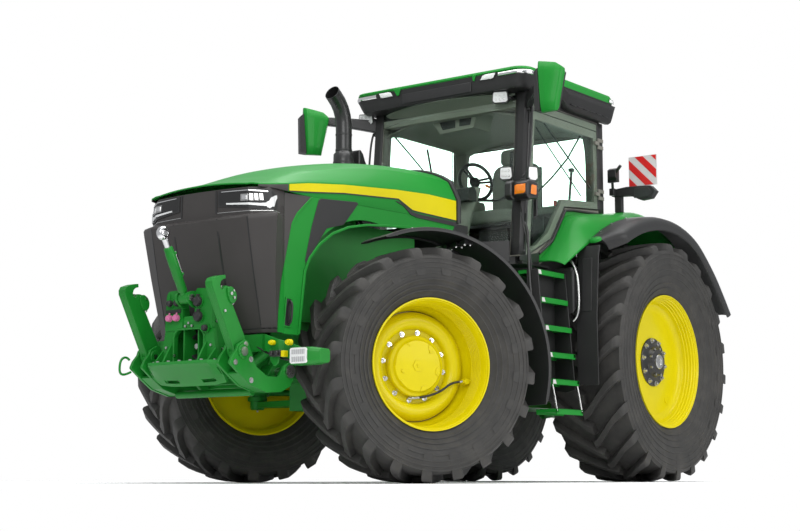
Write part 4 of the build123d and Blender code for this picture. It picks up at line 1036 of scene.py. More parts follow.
make_nose()
nose_patch(
    "leg_foot", ((0.0, 0.987, 1.436), (0.1, 0.987, 1.3), (0.17, 0.987, 1.15), (0.235, 0.987, 1.0)), 0.001,
    GREEN, 0.005
)
for word, at in (("crease", 0.6), ("inner_crease", 0.82)):
    nose_patch(
        f"nose_{word}", ((at - 0.006, 1.03, 1.735), (at, 1.03, 1.735), (at + 0.006, 1.03, 1.735)), -0.0005,
        SATIN, 0.002, columns=2
    )
nose_patch(
    "headlight_bed",
    (
        (0.16, 1.8, 1.906), (0.25, 1.786, 1.918), (0.42, 1.786, 1.926), (0.6, 1.798, 1.93),
        (0.74, 1.816, 1.93), (0.83, 1.824, 1.93)
    ), 0.001, BLACK, 0.005, columns=30
)
nose_patch(
    "headlight_fang",
    (
        (0.165, 1.872, 1.89), (0.205, 1.846, 1.882), (0.25, 1.804, 1.868), (0.29, 1.792, 1.842),
        (0.33, 1.8, 1.834)
    ), 0.006, LENS, 0.005, columns=24
)
nose_patch(
    "headlight_bar", ((0.33, 1.806, 1.83), (0.42, 1.81, 1.828), (0.6, 1.818, 1.832), (0.76, 1.832, 1.842)),
    0.006, LENS, 0.005, columns=24
)
nose_patch(
    "headlight_brow", ((0.28, 1.902, 1.91), (0.42, 1.908, 1.915), (0.6, 1.914, 1.92), (0.8, 1.918, 1.923)),
    0.006, CHROME, 0.003, columns=24
)
for k in range(4):
    a = 0.37 + 0.075 * k
    nose_patch(f"headlight_cell_{k}", ((a, 1.846, 1.892), (a + 0.055, 1.848, 1.894)), 0.006, STEEL, 0.003)
    nose_patch(
        f"headlight_eye_{k}", ((a + 0.012, 1.856, 1.882), (a + 0.043, 1.858, 1.884)), 0.009,
        LENS if k in (1, 2) else CHROME, 0.003
    )
# painted highlight: a thin pale steel strip under the headlight band stands in for the light caught along the
# shelf edge
nose_patch(
    "headlight_shelf_painted_highlight", ((0.1, 1.778, 1.783), (0.25, 1.777, 1.782), (0.6, 1.778, 1.782), (0.84, 1.781, 1.785)),
    0.0, STEEL, 0.0015, columns=24
)
nose_patch("shelf_end", ((0.84, 1.782, 1.934), (0.853, 1.782, 1.934)), 0.0, SATIN, 0.003)
nose_patch("brow_seam", ((0.0, 1.766, 1.77), (0.25, 1.765, 1.769)), 0.0, SATIN, 0.001)

# rubber band round the hood's rear edge
bm = bmesh.new()
shape = [
    [P(x, y, z) for y, z in hood_outline(HOOD_ROWS[0], grow)]
    for x,
    grow in ((2.129, 0.014), (2.118, 0.022), (2.098, 0.022), (2.088, 0.014), (2.088, -0.03), (2.129, -0.03))
]
verts = grid(bm, shape + [shape[0]])
bm.faces.new([row[0] for row in verts[:-1]])
bm.faces.new([row[-1] for row in verts[:-1]][::-1])
piece("hood_rear_band", bm, BLACK, "hood", smooth=50)

# ---------------------------------------------------------------- cab
ROOF_LEVELS = (
    # z, rear, front, half width
    (3.0405, 0.262, 1.515, 0.752),
    (3.098, 0.262, 1.515, 0.752),
    (3.101, 0.258, 1.688, 0.8),
    (3.112, 0.255, 1.692, 0.818),
    (3.15, 0.25, 1.694, 0.842),
    (3.196, 0.246, 1.697, 0.866),
    (3.202, 0.244, 1.698, 0.87),
    (3.242, 0.25, 1.698, 0.868),
    (3.25, 0.252, 1.706, 0.867),
    (3.268, 0.262, 1.7, 0.86),
    (3.282, 0.3, 1.65, 0.82),
    (3.288, 0.42, 1.48, 0.7),
    (3.29, 0.7, 1.2, 0.3),
)


def rounded(rear, front, half, steps=10):
    """Plan outline of the roof at one level."""
    corner = 0.115
    out = []
    for cx, cy, start in (
        (front - corner, half - corner, 0), (rear + corner, half - corner, 90),
        (rear + corner, corner - half, 180), (front - corner, corner - half, 270)
    ):
        out += arc((cx, cy), corner, start, start + 90, steps)
    return out


def make_roof():
    bm = bmesh.new()
    loft(
        bm, [[P(x, y, z) for x, y in rounded(rear, front, half)] for z, rear, front, half in ROOF_LEVELS],
        True
    )
    for face in bm.faces:
        middle = face.calc_center_median()
        face.normal_update()
        if middle.z < 3.0995:  # underside
            face.material_index = 2
        elif middle.z < 3.199 or (middle.z < 3.246 and middle.x > REAR_X + 1.62):
            face.material_index = 1
    piece(
        "roof_shell", bm, [GREEN, BLACK, BLACK], replaces=("cab_roof",), smooth=28,
        bevel=0.003
    )
    # the front lip steps down in two wedges beside the lamps
    bm = bmesh.new()
    prism(
        bm, [P(1.699, y, z) for y, z in ((0.365, 3.252), (0.402, 3.252), (0.385, 3.2), (0.372, 3.204))],
        (0.01, 0, 0)
    )
    prism(
        bm, [P(1.699, y, z) for y, z in ((-0.43, 3.252), (-0.355, 3.252), (-0.375, 3.196), (-0.395, 3.192))],
        (0.012, 0, 0)
    )
    prism(
        bm, [P(1.69, y, z) for y, z in ((-0.8, 3.252), (-0.43, 3.252), (-0.44, 3.262), (-0.79, 3.262))],
        (0.018, 0, 0)
    )
    piece("roof_front_wedges", bm, GREEN, bevel=0.003)
    bm = bmesh.new()
    rows = []
    for k in range(13):
        y = -0.34 + 0.69 * k / 12
        rows.append([P(1.7, y, 3.118), P(1.7015, y, 3.128), P(1.7, y, 3.19), P(1.699, y, 3.2)])
    skin(bm, rows, (0.004, 0, 0))
    piece("visor_panel", bm, SATIN, bevel=0.002)
    # ducts under the roof's sides
    for side, word in SIDES:
        bm = bmesh.new()
        rows = []
        for k in range(19):
            x = 0.262 + (1.12 - 0.262) * k / 18
            t = max(0.0, (x - 0.86) / 0.26)
            low = 3.048 + 0.1 * t * t
            out = 0.835 - 0.012 * t
            rows.append(
                [
                    P(x, side * y, z)
                    for y, z in (
                        (0.745, low + 0.018), (0.76, low + 0.003), (0.79, low), (0.815, low + 0.012),
                        (out - 0.006, low + 0.045), (out + 0.012, 3.15), (0.862, 3.192)
                    )
                ]
            )
        verts = grid(bm, rows)
        bm.faces.new(verts[0])
        bm.faces.new(verts[-1])
        duct = piece(f"roof_duct_{word}", bm, BLACK, smooth=50)
        thicken(duct, 0.004, 0.0)
        bm = bmesh.new()
        for k in range(6):
            x = 0.34 + 0.105 * k
            y_plate(
                bm, [(x, 3.086), (x + 0.08, 3.086), (x + 0.084, 3.092), (x + 0.004, 3.092)],
                *sorted((side * 0.812, side * 0.838))
            )
        piece(f"roof_duct_slots_{word}", bm, SATIN, bevel=0.002)


make_roof()


def led_lamp(name, place, outward, width, height):
    """A small flat work light: dark housing, white face and two rows of round emitters."""
    outward = Vector(outward).normalized()
    up = (Vector((0, 0, 1)) - outward * outward.z).normalized()
    across = up.cross(outward)
    turn = Matrix((across, up, outward)).transposed().to_4x4()
    matrix = Matrix.Translation(place) @ turn
    bm = bmesh.new()
    w, h = width / 2, height / 2
    cut = h * 0.35
    outline = [
        (-w + cut, -h), (w - cut, -h), (w, -h + cut), (w * 0.92, h - cut), (w * 0.82, h), (-w * 0.82, h),
        (-w * 0.92, h - cut), (-w, -h + cut)
    ]
    prism(bm, [matrix @ Vector((x, y, -0.04)) for x, y in outline], turn.to_3x3() @ Vector((0, 0, 0.036)))
    prism(
        bm, [matrix @ Vector((x * 0.9, y * 0.86, -0.006)) for x, y in outline],
        turn.to_3x3() @ Vector((0, 0, 0.008)), 1
    )
    for row in (0.38, -0.38):
        for k in (-1, 0, 1):
            x = k * width * 0.25
            centre = matrix @ Vector((x, row * h, 0.0))
            tip = matrix @ Vector((x, row * h, 0.005))
            rod(bm, centre, tip, h * (0.2 if row < 0 else 0.15), 16, 2)
            rod(bm, tip, matrix @ Vector((x, row * h, 0.0065)), h * 0.1, 12, 1)
    piece(name, bm, [SATIN, LENS, STEEL], smooth=30, bevel=0.0015)


def lamp_panel(name, corners, push, material):
    """A smooth lamp: dark frame and one bright domed face."""
    bm = bmesh.new()
    a, b, c, d = [Vector(p) for p in corners]
    middle, push = (a + b + c + d) / 4, Vector(push)
    prism(bm, [a, b, c, d], push * 0.5, 1)
    rows = []
    for i in range(7):
        row = []
        for j in range(7):
            u, v = i / 6, j / 6
            p = (a * (1 - u) + b * u) * (1 - v) + (d * (1 - u) + c * u) * v
            dome = (1 - (2 * u - 1) ** 4) * (1 - (2 * v - 1) ** 4)
            row.append(middle + (p - middle) * 0.86 + push * (0.5 + 0.5 * dome))
        rows.append(row)
    skin(bm, rows, push * -0.45)
    piece(name, bm, [material, SATIN], smooth=40)


FACE = 1.698  # front face of the roof's upper rim
for side, word in SIDES:
    lamp_panel(
        f"roof_lamp_{word}",
        [
            P(FACE, side * 0.43, 3.197), P(FACE, side * 0.572, 3.193), P(FACE, side * 0.6, 3.243),
            P(FACE, side * 0.462, 3.244)
        ], (0.01, 0, 0), LENS
    )
    # long lamp that runs round the roof's corner
    bm = bmesh.new()
    plan = [q for q in rounded(0.246, 1.7, 0.87, 24) if q[0] > 1.5 and q[1] > 0.615]
    plan = [(1.7, 0.615)] + sorted(plan, key=lambda q: math.atan2(q[1] - 0.55, q[0] - 1.45)) + [(1.5, 0.87)]
    cx, cy = 1.585, 0.755
    rows = []
    for x, y in plan:
        n = Vector((x - cx, y - cy, 0)).normalized() if x > 1.586 and y > 0.756 else (
            Vector((1, 0, 0)) if y <= 0.756 else Vector((0, 1, 0))
        )
        row = []
        for t in (0.0, 0.2, 0.5, 0.8, 1.0):
            swell = 0.002 + 0.007 * (1 - (2 * t - 1) ** 2)
            q = Vector((x, y, 0)) + n * swell
            row.append(P(q.x, side * q.y, 3.205 + 0.034 * t))
        rows.append(row)
    skin(bm, rows, lambda p, i, j: p - Vector((0.004 if i < 12 else 0.0, 0.0 if i < 12 else 0.004 * side, 0)))
    piece(f"roof_lamp_corner_{word}", bm, CHROME, smooth=60)
    lamp_panel(
        f"roof_lamp_rear_{word}",
        [
            P(0.246, side * 0.74, 3.204), P(0.246, side * 0.56, 3.204), P(0.246, side * 0.575, 3.24),
            P(0.246, side * 0.725, 3.24)
        ], (-0.01, 0, 0), LENS
    )
    lamp_panel(
        f"roof_lamp_side_{word}",
        [
            P(0.3, side * 0.869, 3.206), P(0.385, side * 0.869, 3.206), P(0.375, side * 0.868, 3.238),
            P(0.312, side * 0.868, 3.238)
        ], (0, side * 0.007, 0), LENS
    )

# upper glazing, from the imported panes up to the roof
def pillar_x(z):
    """Front edge of the raked front pillar at a height."""
    return 1.64 - 0.115 / 1.34 * (z - 1.7)


def bow_x(y, z):
    """Face of the bowed windscreen."""
    return pillar_x(z) + 0.17 * (1 - (y / 0.665) ** 2)


bm = bmesh.new()
rows = [
    [P(bow_x(y, z) + 0.001, y, z) for z in (2.979, 3.02, 3.06, 3.1)]
    for y in [-0.665 + 1.33 * k / 28 for k in range(29)]
]
skin(bm, rows, (0.005, 0, 0))
piece("windscreen_head", bm, GLASS, smooth=60)
bm = bmesh.new()
rows = []
for y in [-0.655 + 1.31 * k / 24 for k in range(25)]:
    front = bow_x(y, 3.09) - 0.012
    rows.append([P(1.5 + (front - 1.5) * t, y, 3.032 + 0.06 * t**0.7) for t in (0, 0.2, 0.5, 0.8, 1.0)])
skin(bm, rows, (0, 0, 0.006))
piece("windscreen_liner", bm, TRIM, smooth=60)
for side, word in SIDES:
    bm = bmesh.new()
    outline = [
        (pillar_x(3.098) - 0.092, 3.098), (pillar_x(3.044) - 0.092, 3.044), (1.1, 3.044), (1.12, 3.098)
    ]
    y_plate(bm, outline, *sorted((side * 0.7545, side * 0.7585)))
    piece(f"side_glass_head_{word}", bm, GLASS)
DOOR_EDGE = [(pillar_x(z) - 0.091, z) for z in (3.03, 1.762)] + [
    (1.16, 1.95), (0.94, 2.24), (0.395, 2.29), (0.395, 3.03)
]
bm = bmesh.new()
y_plate(bm, DOOR_EDGE, 0.7515, 0.7555)
piece("door_outer_glass", bm, GLASS, "left_door", bevel=0.001)
bm = bmesh.new()
y_plate(bm, DOOR_EDGE, -0.7515, -0.7545)
piece("right_outer_glass", bm, GLASS, bevel=0.001)
for side, name, body in ((1, "door_edge_seal", "left_door"), (-1, "right_edge_seal", "chassis")):
    bm = bmesh.new()
    for a, b in zip(DOOR_EDGE, DOOR_EDGE[1:] + DOOR_EDGE[:1]):
        rod(bm, P(a[0], side * 0.7535, a[1]), P(b[0], side * 0.7535, b[1]), 0.0045, 8)
    piece(name, bm, SATIN, body)
bm = bmesh.new()
box(bm, P(1.395, 0.756, 2.1), P(1.42, 0.78, 2.26))
box(bm, P(1.388, 0.7556, 2.08), P(1.427, 0.76, 2.28))
piece("door_handle", bm, SATIN, "left_door", bevel=0.004)
for side, word in SIDES:
    bm = bmesh.new()
    rows = []
    for k in range(11):
        z = 2.245 + (3.045 - 2.245) * k / 10
        rows.append(
            [
                P(0.298, side * 0.738, z), P(0.3, side * 0.7535, z), P(0.318, side * 0.758, z),
                P(0.366, side * 0.758, z), P(0.38, side * 0.753, z), P(0.384, side * 0.738, z)
            ]
        )
    grid(bm, rows)
    cover = piece(f"rear_pillar_cover_{word}", bm, BLACK, smooth=35)
    thicken(cover, 0.002, 0.0)
    bm = bmesh.new()
    rows = []
    for k in range(11):
        z = 2.245 + (3.045 - 2.245) * k / 10
        rows.append([P(0.2975, side * y, z) for y in (0.752, 0.715, 0.68, 0.664)])
    skin(bm, rows, (-0.003, 0, 0))
    piece(f"rear_pillar_back_{word}", bm, BLACK, smooth=35)
bm = bmesh.new()
box(bm, P(0.294, -0.7, 2.292), P(0.2975, 0.7, 2.362))
box(bm, P(0.294, -0.7, 2.96), P(0.2975, 0.7, 3.04))
box(bm, P(0.294, -0.46, 1.72), P(0.2975, 0.46, 2.292))
piece("rear_wall_covers", bm, BLACK, bevel=0.001)

# pillars
for side, word in SIDES:
    bm = bmesh.new()
    rows = []
    for k in range(13):
        z = 1.77 + (3.105 - 1.77) * k / 12
        x = pillar_x(z)
        rows.append(
            [
                P(x - 0.087, side * 0.753, z), P(x - 0.075, side * 0.76, z), P(x - 0.02, side * 0.761, z),
                P(x + 0.004, side * 0.752, z), P(x + 0.006, side * 0.7, z), P(x + 0.002, side * 0.67, z)
            ]
        )
    grid(bm, rows)
    cover = piece(f"front_pillar_cover_{word}", bm, BLACK, smooth=35)
    thicken(cover, 0.003, 0.0)
    bm = bmesh.new()
    for k in range(10):
        z0, z1 = 1.8 + 0.123 * k, 1.8 + 0.123 * (k + 1)
        rod(
            bm, P(pillar_x(z0) - 0.048, side * 0.7645, z0), P(pillar_x(z1) - 0.048, side * 0.7645, z1),
            0.0045, 8
        )
    piece(f"pillar_groove_{word}", bm, SATIN)

# headliner and interior trim
bm = bmesh.new()
rows = []
for k in range(13):
    x = 0.335 + (1.5 - 0.335) * k / 12
    rows.append(
        [
            P(x, y, 3.036 - 0.085 * (abs(y) / 0.66) ** 4 - 0.05 * (abs(k - 6) / 6) ** 4)
            for y in [-0.66 + 1.32 * j / 16 for j in range(17)]
        ]
    )
grid(bm, rows)
liner = piece("headliner", bm, TRIM, smooth=60)
thicken(liner, 0.006, 0.0)
bm = bmesh.new()
prism(
    bm, [P(1.18, y, z) for y, z in ((-0.26, 3.03), (0.22, 3.03), (0.18, 2.9), (-0.16, 2.885))], (0.24, 0, 0)
)
prism(
    bm, [P(1.4205, y, z) for y, z in ((-0.17, 3.0), (0.0, 3.004), (0.0, 2.92), (-0.13, 2.915))],
    (0.004, 0, 0), 1
)
prism(
    bm, [P(1.4205, y, z) for y, z in ((0.04, 3.004), (0.17, 3.006), (0.15, 2.925), (0.04, 2.925))],
    (0.004, 0, 0), 1
)
piece("roof_console", bm, [TRIM, SATIN], bevel=0.01)
for side, word in SIDES:
    bm = bmesh.new()
    rows = []
    for k in range(15):
        z = 2.3 + (2.99 - 2.3) * k / 14
        flare = 0.05 * (k / 14) ** 6
        rows.append(
            [
                P(0.392 + flare, side * 0.706, z), P(0.41 + flare, side * 0.69, z),
                P(0.4, side * (0.64 - flare), z), P(0.34, side * (0.628 - flare), z)
            ]
        )
    grid(bm, rows)
    cover = piece(f"rear_pillar_trim_{word}", bm, TRIM, smooth=60)
    thicken(cover, 0.004, 0.0)
    bm = bmesh.new()
    rows = []
    for k in range(13):
        z = 1.8 + (3.0 - 1.8) * k / 12
        x = pillar_x(z) - 0.092
        rows.append(
            [P(x + 0.004, side * 0.662, z), P(x - 0.006, side * 0.655, z), P(x - 0.01, side * 0.7, z)]
        )
    grid(bm, rows)
    cover = piece(f"front_pillar_trim_{word}", bm, TRIM, smooth=60)
    thicken(cover, 0.003, 0.0)
tube(
    "window_strut", [P(0.42, 0.6, 2.42), P(0.6, 0.56, 2.6), P(0.8, 0.5, 2.82), P(0.92, 0.47, 2.95)], 0.006,
    SATIN, smooth_path=False
)
bm = bmesh.new()
rod(bm, P(0.395, 0.7, 2.62), P(0.395, 0.7, 2.8), 0.01, 12)
rod(bm, P(0.385, 0.665, 2.8), P(0.405, 0.702, 2.81), 0.012, 12)
box(bm, P(0.383, 0.69, 2.69), P(0.402, 0.704, 2.73))
piece("escape_hammer", bm, RED, bevel=0.003)
bm = bmesh.new()
box(bm, P(0.6, 0.455, 2.3), P(0.635, 0.475, 2.37))
piece("belt_buckle", bm, RED, bevel=0.005)
tube("buckle_stalk", [P(0.617, 0.465, 2.31), P(0.61, 0.46, 2.24), P(0.6, 0.45, 2.2)], 0.007, SATIN)

# seats
ROUNDNESS = 5.0  # the higher, the squarer a cushion's edges


def cushion(name, low, high, replaces=(), lean=0.0):
    """A padded block with soft edges and two sewn channels."""
    bm = bmesh.new()
    bmesh.ops.create_cube(bm, size=1.0)
    bmesh.ops.subdivide_edges(bm, edges=bm.edges, cuts=11, use_grid_fill=True)
    low, high = Vector(low), Vector(high)
    middle, half = (low + high) / 2, (high - low) / 2
    for v in bm.verts:
        c = v.co * 2
        size = sum(abs(part) ** ROUNDNESS for part in c) ** (1 / ROUNDNESS)
        c = c * (max(abs(part) for part in c) / size)
        groove = 0.0
        if abs(c.x) < 0.9 or abs(c.z) < 0.9:
            groove = 0.01 * math.exp(-((abs(c.y) - 0.55) / 0.05) ** 2)
        reach = half * c
        p = middle + reach - reach.normalized() * groove
        p.x += lean * (p.z - low.z)
        v.co = p
    thing = piece(name, bm, CLOTH, "chassis", replaces, 180)
    soft = thing.modifiers.new("soft", "SUBSURF")
    soft.levels = soft.render_levels = 1


cushion(
    "driver_seat_cushion", P(0.5, -0.255, 2.15), P(1.01, 0.255, 2.292),
    ("driver_and_passenger_seat_cushions",)
)
cushion("driver_seat_back", P(0.44, -0.235, 2.25), P(0.56, 0.235, 2.76), lean=-0.02)
cushion("driver_head_rest", P(0.435, -0.15, 2.745), P(0.54, 0.15, 2.895), lean=-0.02)
cushion("passenger_seat", P(0.48, 0.32, 2.215), P(0.8, 0.62, 2.3))
bm = bmesh.new()
box(bm, P(0.6, -0.17, 1.762), P(0.9, 0.17, 1.95))
box(bm, P(0.62, -0.15, 1.95), P(0.88, 0.15, 2.15))
box(bm, P(0.515, -0.245, 2.13), P(0.99, 0.245, 2.165))
box(bm, P(0.5, 0.33, 1.762), P(0.78, 0.45, 2.216))
box(bm, P(0.425, -0.225, 2.18), P(0.45, 0.225, 2.72))
piece("seat_frames", bm, SATIN, bevel=0.012)

# steering column, console, monitor
bm = bmesh.new()
rows = []
for k in range(11):
    t = k / 10
    centre = P(1.455 - 0.2 * t, 0, 1.765 + 0.66 * t)
    w, d = 0.105 - 0.035 * math.sin(math.pi * min(t * 1.1, 1)) + 0.03 * t, 0.085 - 0.03 * t
    rows.append([centre + Vector((d * math.cos(a), w * math.sin(a), 0.0)) for a in turns(20)])
loft(bm, rows, True)
piece("column_shroud", bm, TRIM, smooth=50)
bm = bmesh.new()
prism(
    bm, [P(x, -0.125, z) for x, z in ((1.3, 2.3), (1.42, 2.3), (1.415, 2.4), (1.33, 2.425), (1.302, 2.38))],
    (0, 0.25, 0)
)
prism(
    bm, [P(x, -0.105, z) for x, z in ((1.3005, 2.315), (1.3025, 2.375), (1.2985, 2.375), (1.2965, 2.315))],
    (0, 0.21, 0), 1
)
piece("dash_display", bm, [SATIN, LENS], bevel=0.006)
bm = bmesh.new()
prism(
    bm,
    [
        P(x, -0.4, z)
        for x, z in (
            (0.56, 1.762), (1.05, 1.762), (1.05, 2.3), (1.02, 2.38), (0.8, 2.43), (0.58, 2.43), (0.56, 2.4)
        )
    ], (0, 0.115, 0)
)
rod(bm, P(0.92, -0.34, 2.4), P(0.96, -0.34, 2.5), 0.018, 14, 1, 0.024)
for k in range(4):
    rod(bm, P(0.66 + 0.05 * k, -0.33, 2.425), P(0.66 + 0.05 * k, -0.33, 2.445), 0.013, 12, 1)
piece("armrest_console", bm, [TRIM, SATIN], replaces=("steering_column_and_armrest",), bevel=0.012)
wheel_joint = JOINTS["steering_wheel_turn"]
centre = Vector(wheel_joint["pos_m"])
normal = Vector(wheel_joint["axis"]).normalized()
side_way = Vector((0, 1, 0))
turn = Matrix((side_way.cross(normal) * -1, side_way, normal)).transposed().to_4x4()
at_wheel = Matrix.Translation(centre + normal * 0.012) @ turn
bm = bmesh.new()
ring = []
for a in turns(72):
    ring.append(
        [
            at_wheel @ Vector((*polar(0.156 + 0.0155 * math.cos(b), a), 0.014 + 0.0145 * math.sin(b)))
            for b in turns(14)
        ]
    )
grid(bm, ring + [ring[0]], close=True)
for a in (math.radians(90), math.radians(210), math.radians(330)):
    for off in (-0.011, 0.011):
        d = Vector((math.cos(a), math.sin(a), 0))
        n = Vector((-math.sin(a), math.cos(a), 0)) * off
        rod(
            bm, at_wheel @ (d * 0.04 + n + Vector((0, 0, 0.01))),
            at_wheel @ (d * 0.152 + n * 1.6 + Vector((0, 0, 0.014))), 0.0105, 12
        )
rod(bm, at_wheel @ Vector((0, 0, -0.004)), at_wheel @ Vector((0, 0, 0.02)), 0.05, 40, 0, 0.042)
rod(bm, at_wheel @ Vector((0, 0, 0.02)), at_wheel @ Vector((0, 0, 0.0245)), 0.03, 32)
d = Vector((math.cos(math.radians(60)), math.sin(math.radians(60)), 0))
rod(
    bm, at_wheel @ (d * 0.09 + Vector((0, 0, 0.03))), at_wheel @ (d * 0.15 + Vector((0, 0, 0.03))), 0.011, 16,
    1
)
piece("steering_wheel_rim", bm, [SATIN, AMBER], "steering_wheel", ("steering_wheel",), 60)
bm = bmesh.new()
prism(
    bm, [P(0.93, y, z) for y, z in ((0.225, 2.385), (0.33, 2.365), (0.338, 2.745), (0.24, 2.765))],
    (0.035, 0, 0)
)
prism(
    bm, [P(0.928, y, z) for y, z in ((0.238, 2.4), (0.32, 2.385), (0.326, 2.73), (0.25, 2.75))],
    (-0.004, 0, 0), 1
)
rod(bm, P(0.95, 0.26, 2.4), P(0.95, 0.1, 2.36), 0.012, 12)
rod(bm, P(0.95, 0.1, 2.36), P(0.97, -0.28, 2.4), 0.012, 12)
piece("monitor", bm, [SATIN, LENS], bevel=0.006)

# mirrors
def mirror(side, word, turned):
    """A mirror head on its arm. The head is turned about its own upright line."""
    centre = P(1.905, side * 1.215, 0)
    spin = about(centre, turned) @ Matrix.Translation(-centre)
    nudge = Vector((0, 0, 0)) if side == 1 else Vector((0, 0.085, -0.05))

    def place(x, y, z):
        return spin @ P(1.905 + x, side * (y if side == 1 else 2.43 - y), z) + nudge

    def edges(z):
        t = (z - 2.798) / (3.12 - 2.798)
        return 1.147 - 0.026 * min(t, 1.0), 1.28 + 0.068 * min(t, 1.0)

    shape = (
        (0.0, -0.03), (0.0, 0.02), (0.1, 0.046), (0.34, 0.058), (0.42, 0.06), (0.74, 0.052), (0.94, 0.034),
        (1.0, 0.008), (1.0, -0.022)
    )
    bm = bmesh.new()
    rows = []
    for u, x in shape:
        top = 3.203 - 0.04 * u / 0.84 if u < 0.84 else 3.163 - 0.045 * (u - 0.84) / 0.16
        row = []
        for k in range(11):
            z = 2.798 + (top - 2.798) * k / 10
            low_inner, low_outer = edges(z)
            pinch = 1.0 - 0.45 * (abs(k - 5) / 5) ** 8
            row.append(place(x * pinch, low_inner + (low_outer - low_inner) * u, z))
        rows.append(row)
    verts = grid(bm, rows)
    for end in (0, -1):
        bm.faces.new([row[end] for row in verts])
    bm.faces.new(verts[0] + verts[-1][::-1])
    piece(f"mirror_shell_{word}", bm, GREEN, smooth=32, bevel=0.004)
    bm = bmesh.new()
    outline = [
        (1.086, 3.118), (1.12, 3.15), (1.3, 3.125), (1.335, 3.095), (1.272, 2.812), (1.15, 2.806),
        (1.092, 2.812)
    ]
    front = [place(-0.024, y, z) for y, z in outline]
    deep = place(-0.056, 1.2, 3.0) - place(-0.024, 1.2, 3.0)
    prism(bm, front, deep)
    inner_strip = [(1.086, 3.118), (1.121, 3.15), (1.146, 2.806), (1.092, 2.812)]
    prism(bm, [place(-0.024, y, z) for y, z in inner_strip], place(0.03, 1.2, 3.0) - place(-0.024, 1.2, 3.0))
    piece(f"mirror_frame_{word}", bm, BLACK, smooth=30, bevel=0.006)
    bm = bmesh.new()
    for low, high in ((2.825, 2.955), (2.965, 3.105)):
        cut = [(1.115, high), (1.29, high - 0.012), (1.262, low), (1.118, low)]
        prism(bm, [place(-0.0585, y, z) for y, z in cut], (place(-0.06, 1.2, 3.0) - place(-0.0585, 1.2, 3.0)))
    piece(f"mirror_glass_{word}", bm, CHROME)
    bm = bmesh.new()
    rows = []
    for t in [k / 8 for k in range(9)]:
        x, y = 1.49 + 0.4 * t, 0.758 + 0.4 * t
        half = 0.052 - 0.022 * t
        z = 3.01 + 0.04 * t + 0.01 * math.sin(math.pi * t)
        rows.append([
            P(x + 0.018 * across, side * (y - 0.018 * across), z + half * up)
            for across, up in ((-1, -1), (1, -1), (1, 1), (-1, 1))
        ])
    loft(bm, rows, True)
    piece(f"mirror_arm_{word}", bm, SATIN, bevel=0.006)
    bm = bmesh.new()
    box(bm, P(1.456, side * 0.7565, 2.94), P(1.515, side * 0.785, 3.085))
    rod(bm, P(1.486, side * 0.79, 2.935), P(1.486, side * 0.79, 3.08), 0.016, 16)
    piece(f"mirror_foot_{word}", bm, SATIN, bevel=0.006)
    tube(
        f"pillar_hand_rail_{word}",
        [
            P(1.5, side * 0.8, 2.96), P(1.52, side * 0.815, 2.9), P(1.555, side * 0.815, 2.55),
            P(1.575, side * 0.8, 2.42), P(1.59, side * 0.765, 2.4)
        ], 0.009, SATIN
    )


mirror(1, "left", 0)
mirror(-1, "right", 52)
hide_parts("door_mirrors")
led_lamp("work_light_left", P(1.64, 0.59, 3.052), (1, 0.35, -0.1), 0.135, 0.095)
led_lamp("work_light_right", P(1.575, -0.83, 3.075), (1, 0.35, -0.1), 0.135, 0.095)
bm = bmesh.new()
box(bm, P(1.5, 0.6, 3.035), P(1.6, 0.66, 3.06))
box(bm, P(1.5, -0.84, 3.06), P(1.54, -0.76, 3.085))
piece("work_light_arms", bm, SATIN, bevel=0.006)
led_lamp("pillar_light_outer", P(1.735, 0.7, 2.405), (1, 0.3, -0.05), 0.105, 0.105)
led_lamp("pillar_light_inner", P(1.6, 0.868, 2.405), (0.45, 1, 0), 0.09, 0.115)
bm = bmesh.new()
prism(
    bm,
    [
        P(x, 0.762, z)
        for x, z in ((1.56, 2.335), (1.7, 2.345), (1.725, 2.32), (1.728, 2.215), (1.69, 2.19), (1.56, 2.205))
    ], (0, 0.13, 0)
)
prism(
    bm,
    [
        P(x, 0.7, z)
        for x, z in ((1.6, 2.335), (1.735, 2.345), (1.76, 2.32), (1.763, 2.215), (1.725, 2.19), (1.6, 2.205))
    ], (0, 0.065, 0)
)
box(bm, P(1.58, 0.755, 2.335), P(1.62, 0.85, 2.375))
box(bm, P(1.66, 0.69, 2.335), P(1.7, 0.72, 2.375))
piece("indicator_housing", bm, SATIN, bevel=0.01)
lamp_panel(
    "indicator_lens_left",
    [P(1.729, 0.77, 2.225), P(1.729, 0.886, 2.225), P(1.726, 0.886, 2.312), P(1.726, 0.77, 2.312)],
    (0.014, 0.003, 0), AMBER
)
lamp_panel(
    "indicator_side_left",
    [P(1.69, 0.892, 2.225), P(1.59, 0.892, 2.225), P(1.59, 0.892, 2.312), P(1.68, 0.892, 2.312)],
    (0, 0.01, 0), AMBER
)
bm = bmesh.new()
prism(
    bm,
    [
        P(x, -0.892, z)
        for x, z in ((1.56, 2.335), (1.7, 2.345), (1.725, 2.32), (1.728, 2.215), (1.69, 2.19), (1.56, 2.205))
    ], (0, 0.13, 0)
)
piece("indicator_housing_right", bm, SATIN, bevel=0.01)
lamp_panel(
    "indicator_lens_right",
    [P(1.729, -0.886, 2.225), P(1.729, -0.77, 2.225), P(1.726, -0.77, 2.312), P(1.726, -0.886, 2.312)],
    (0.014, -0.003, 0), AMBER
)
led_lamp("pillar_light_right", P(1.69, -0.84, 2.41), (1, -0.2, -0.05), 0.105, 0.105)
bm = bmesh.new()
box(bm, P(1.62, -0.86, 2.335), P(1.66, -0.82, 2.375))
piece("pillar_light_foot_right", bm, SATIN, bevel=0.004)
bm = bmesh.new()
rod(bm, P(0.95, 0.42, 3.285), P(0.95, 0.42, 3.3), 0.03, 24, 0, 0.014)
rod(bm, P(0.95, 0.42, 3.298), P(0.95, 0.42, 3.38), 0.005, 10, 0, 0.003)
piece("antenna_foot", bm, SATIN)
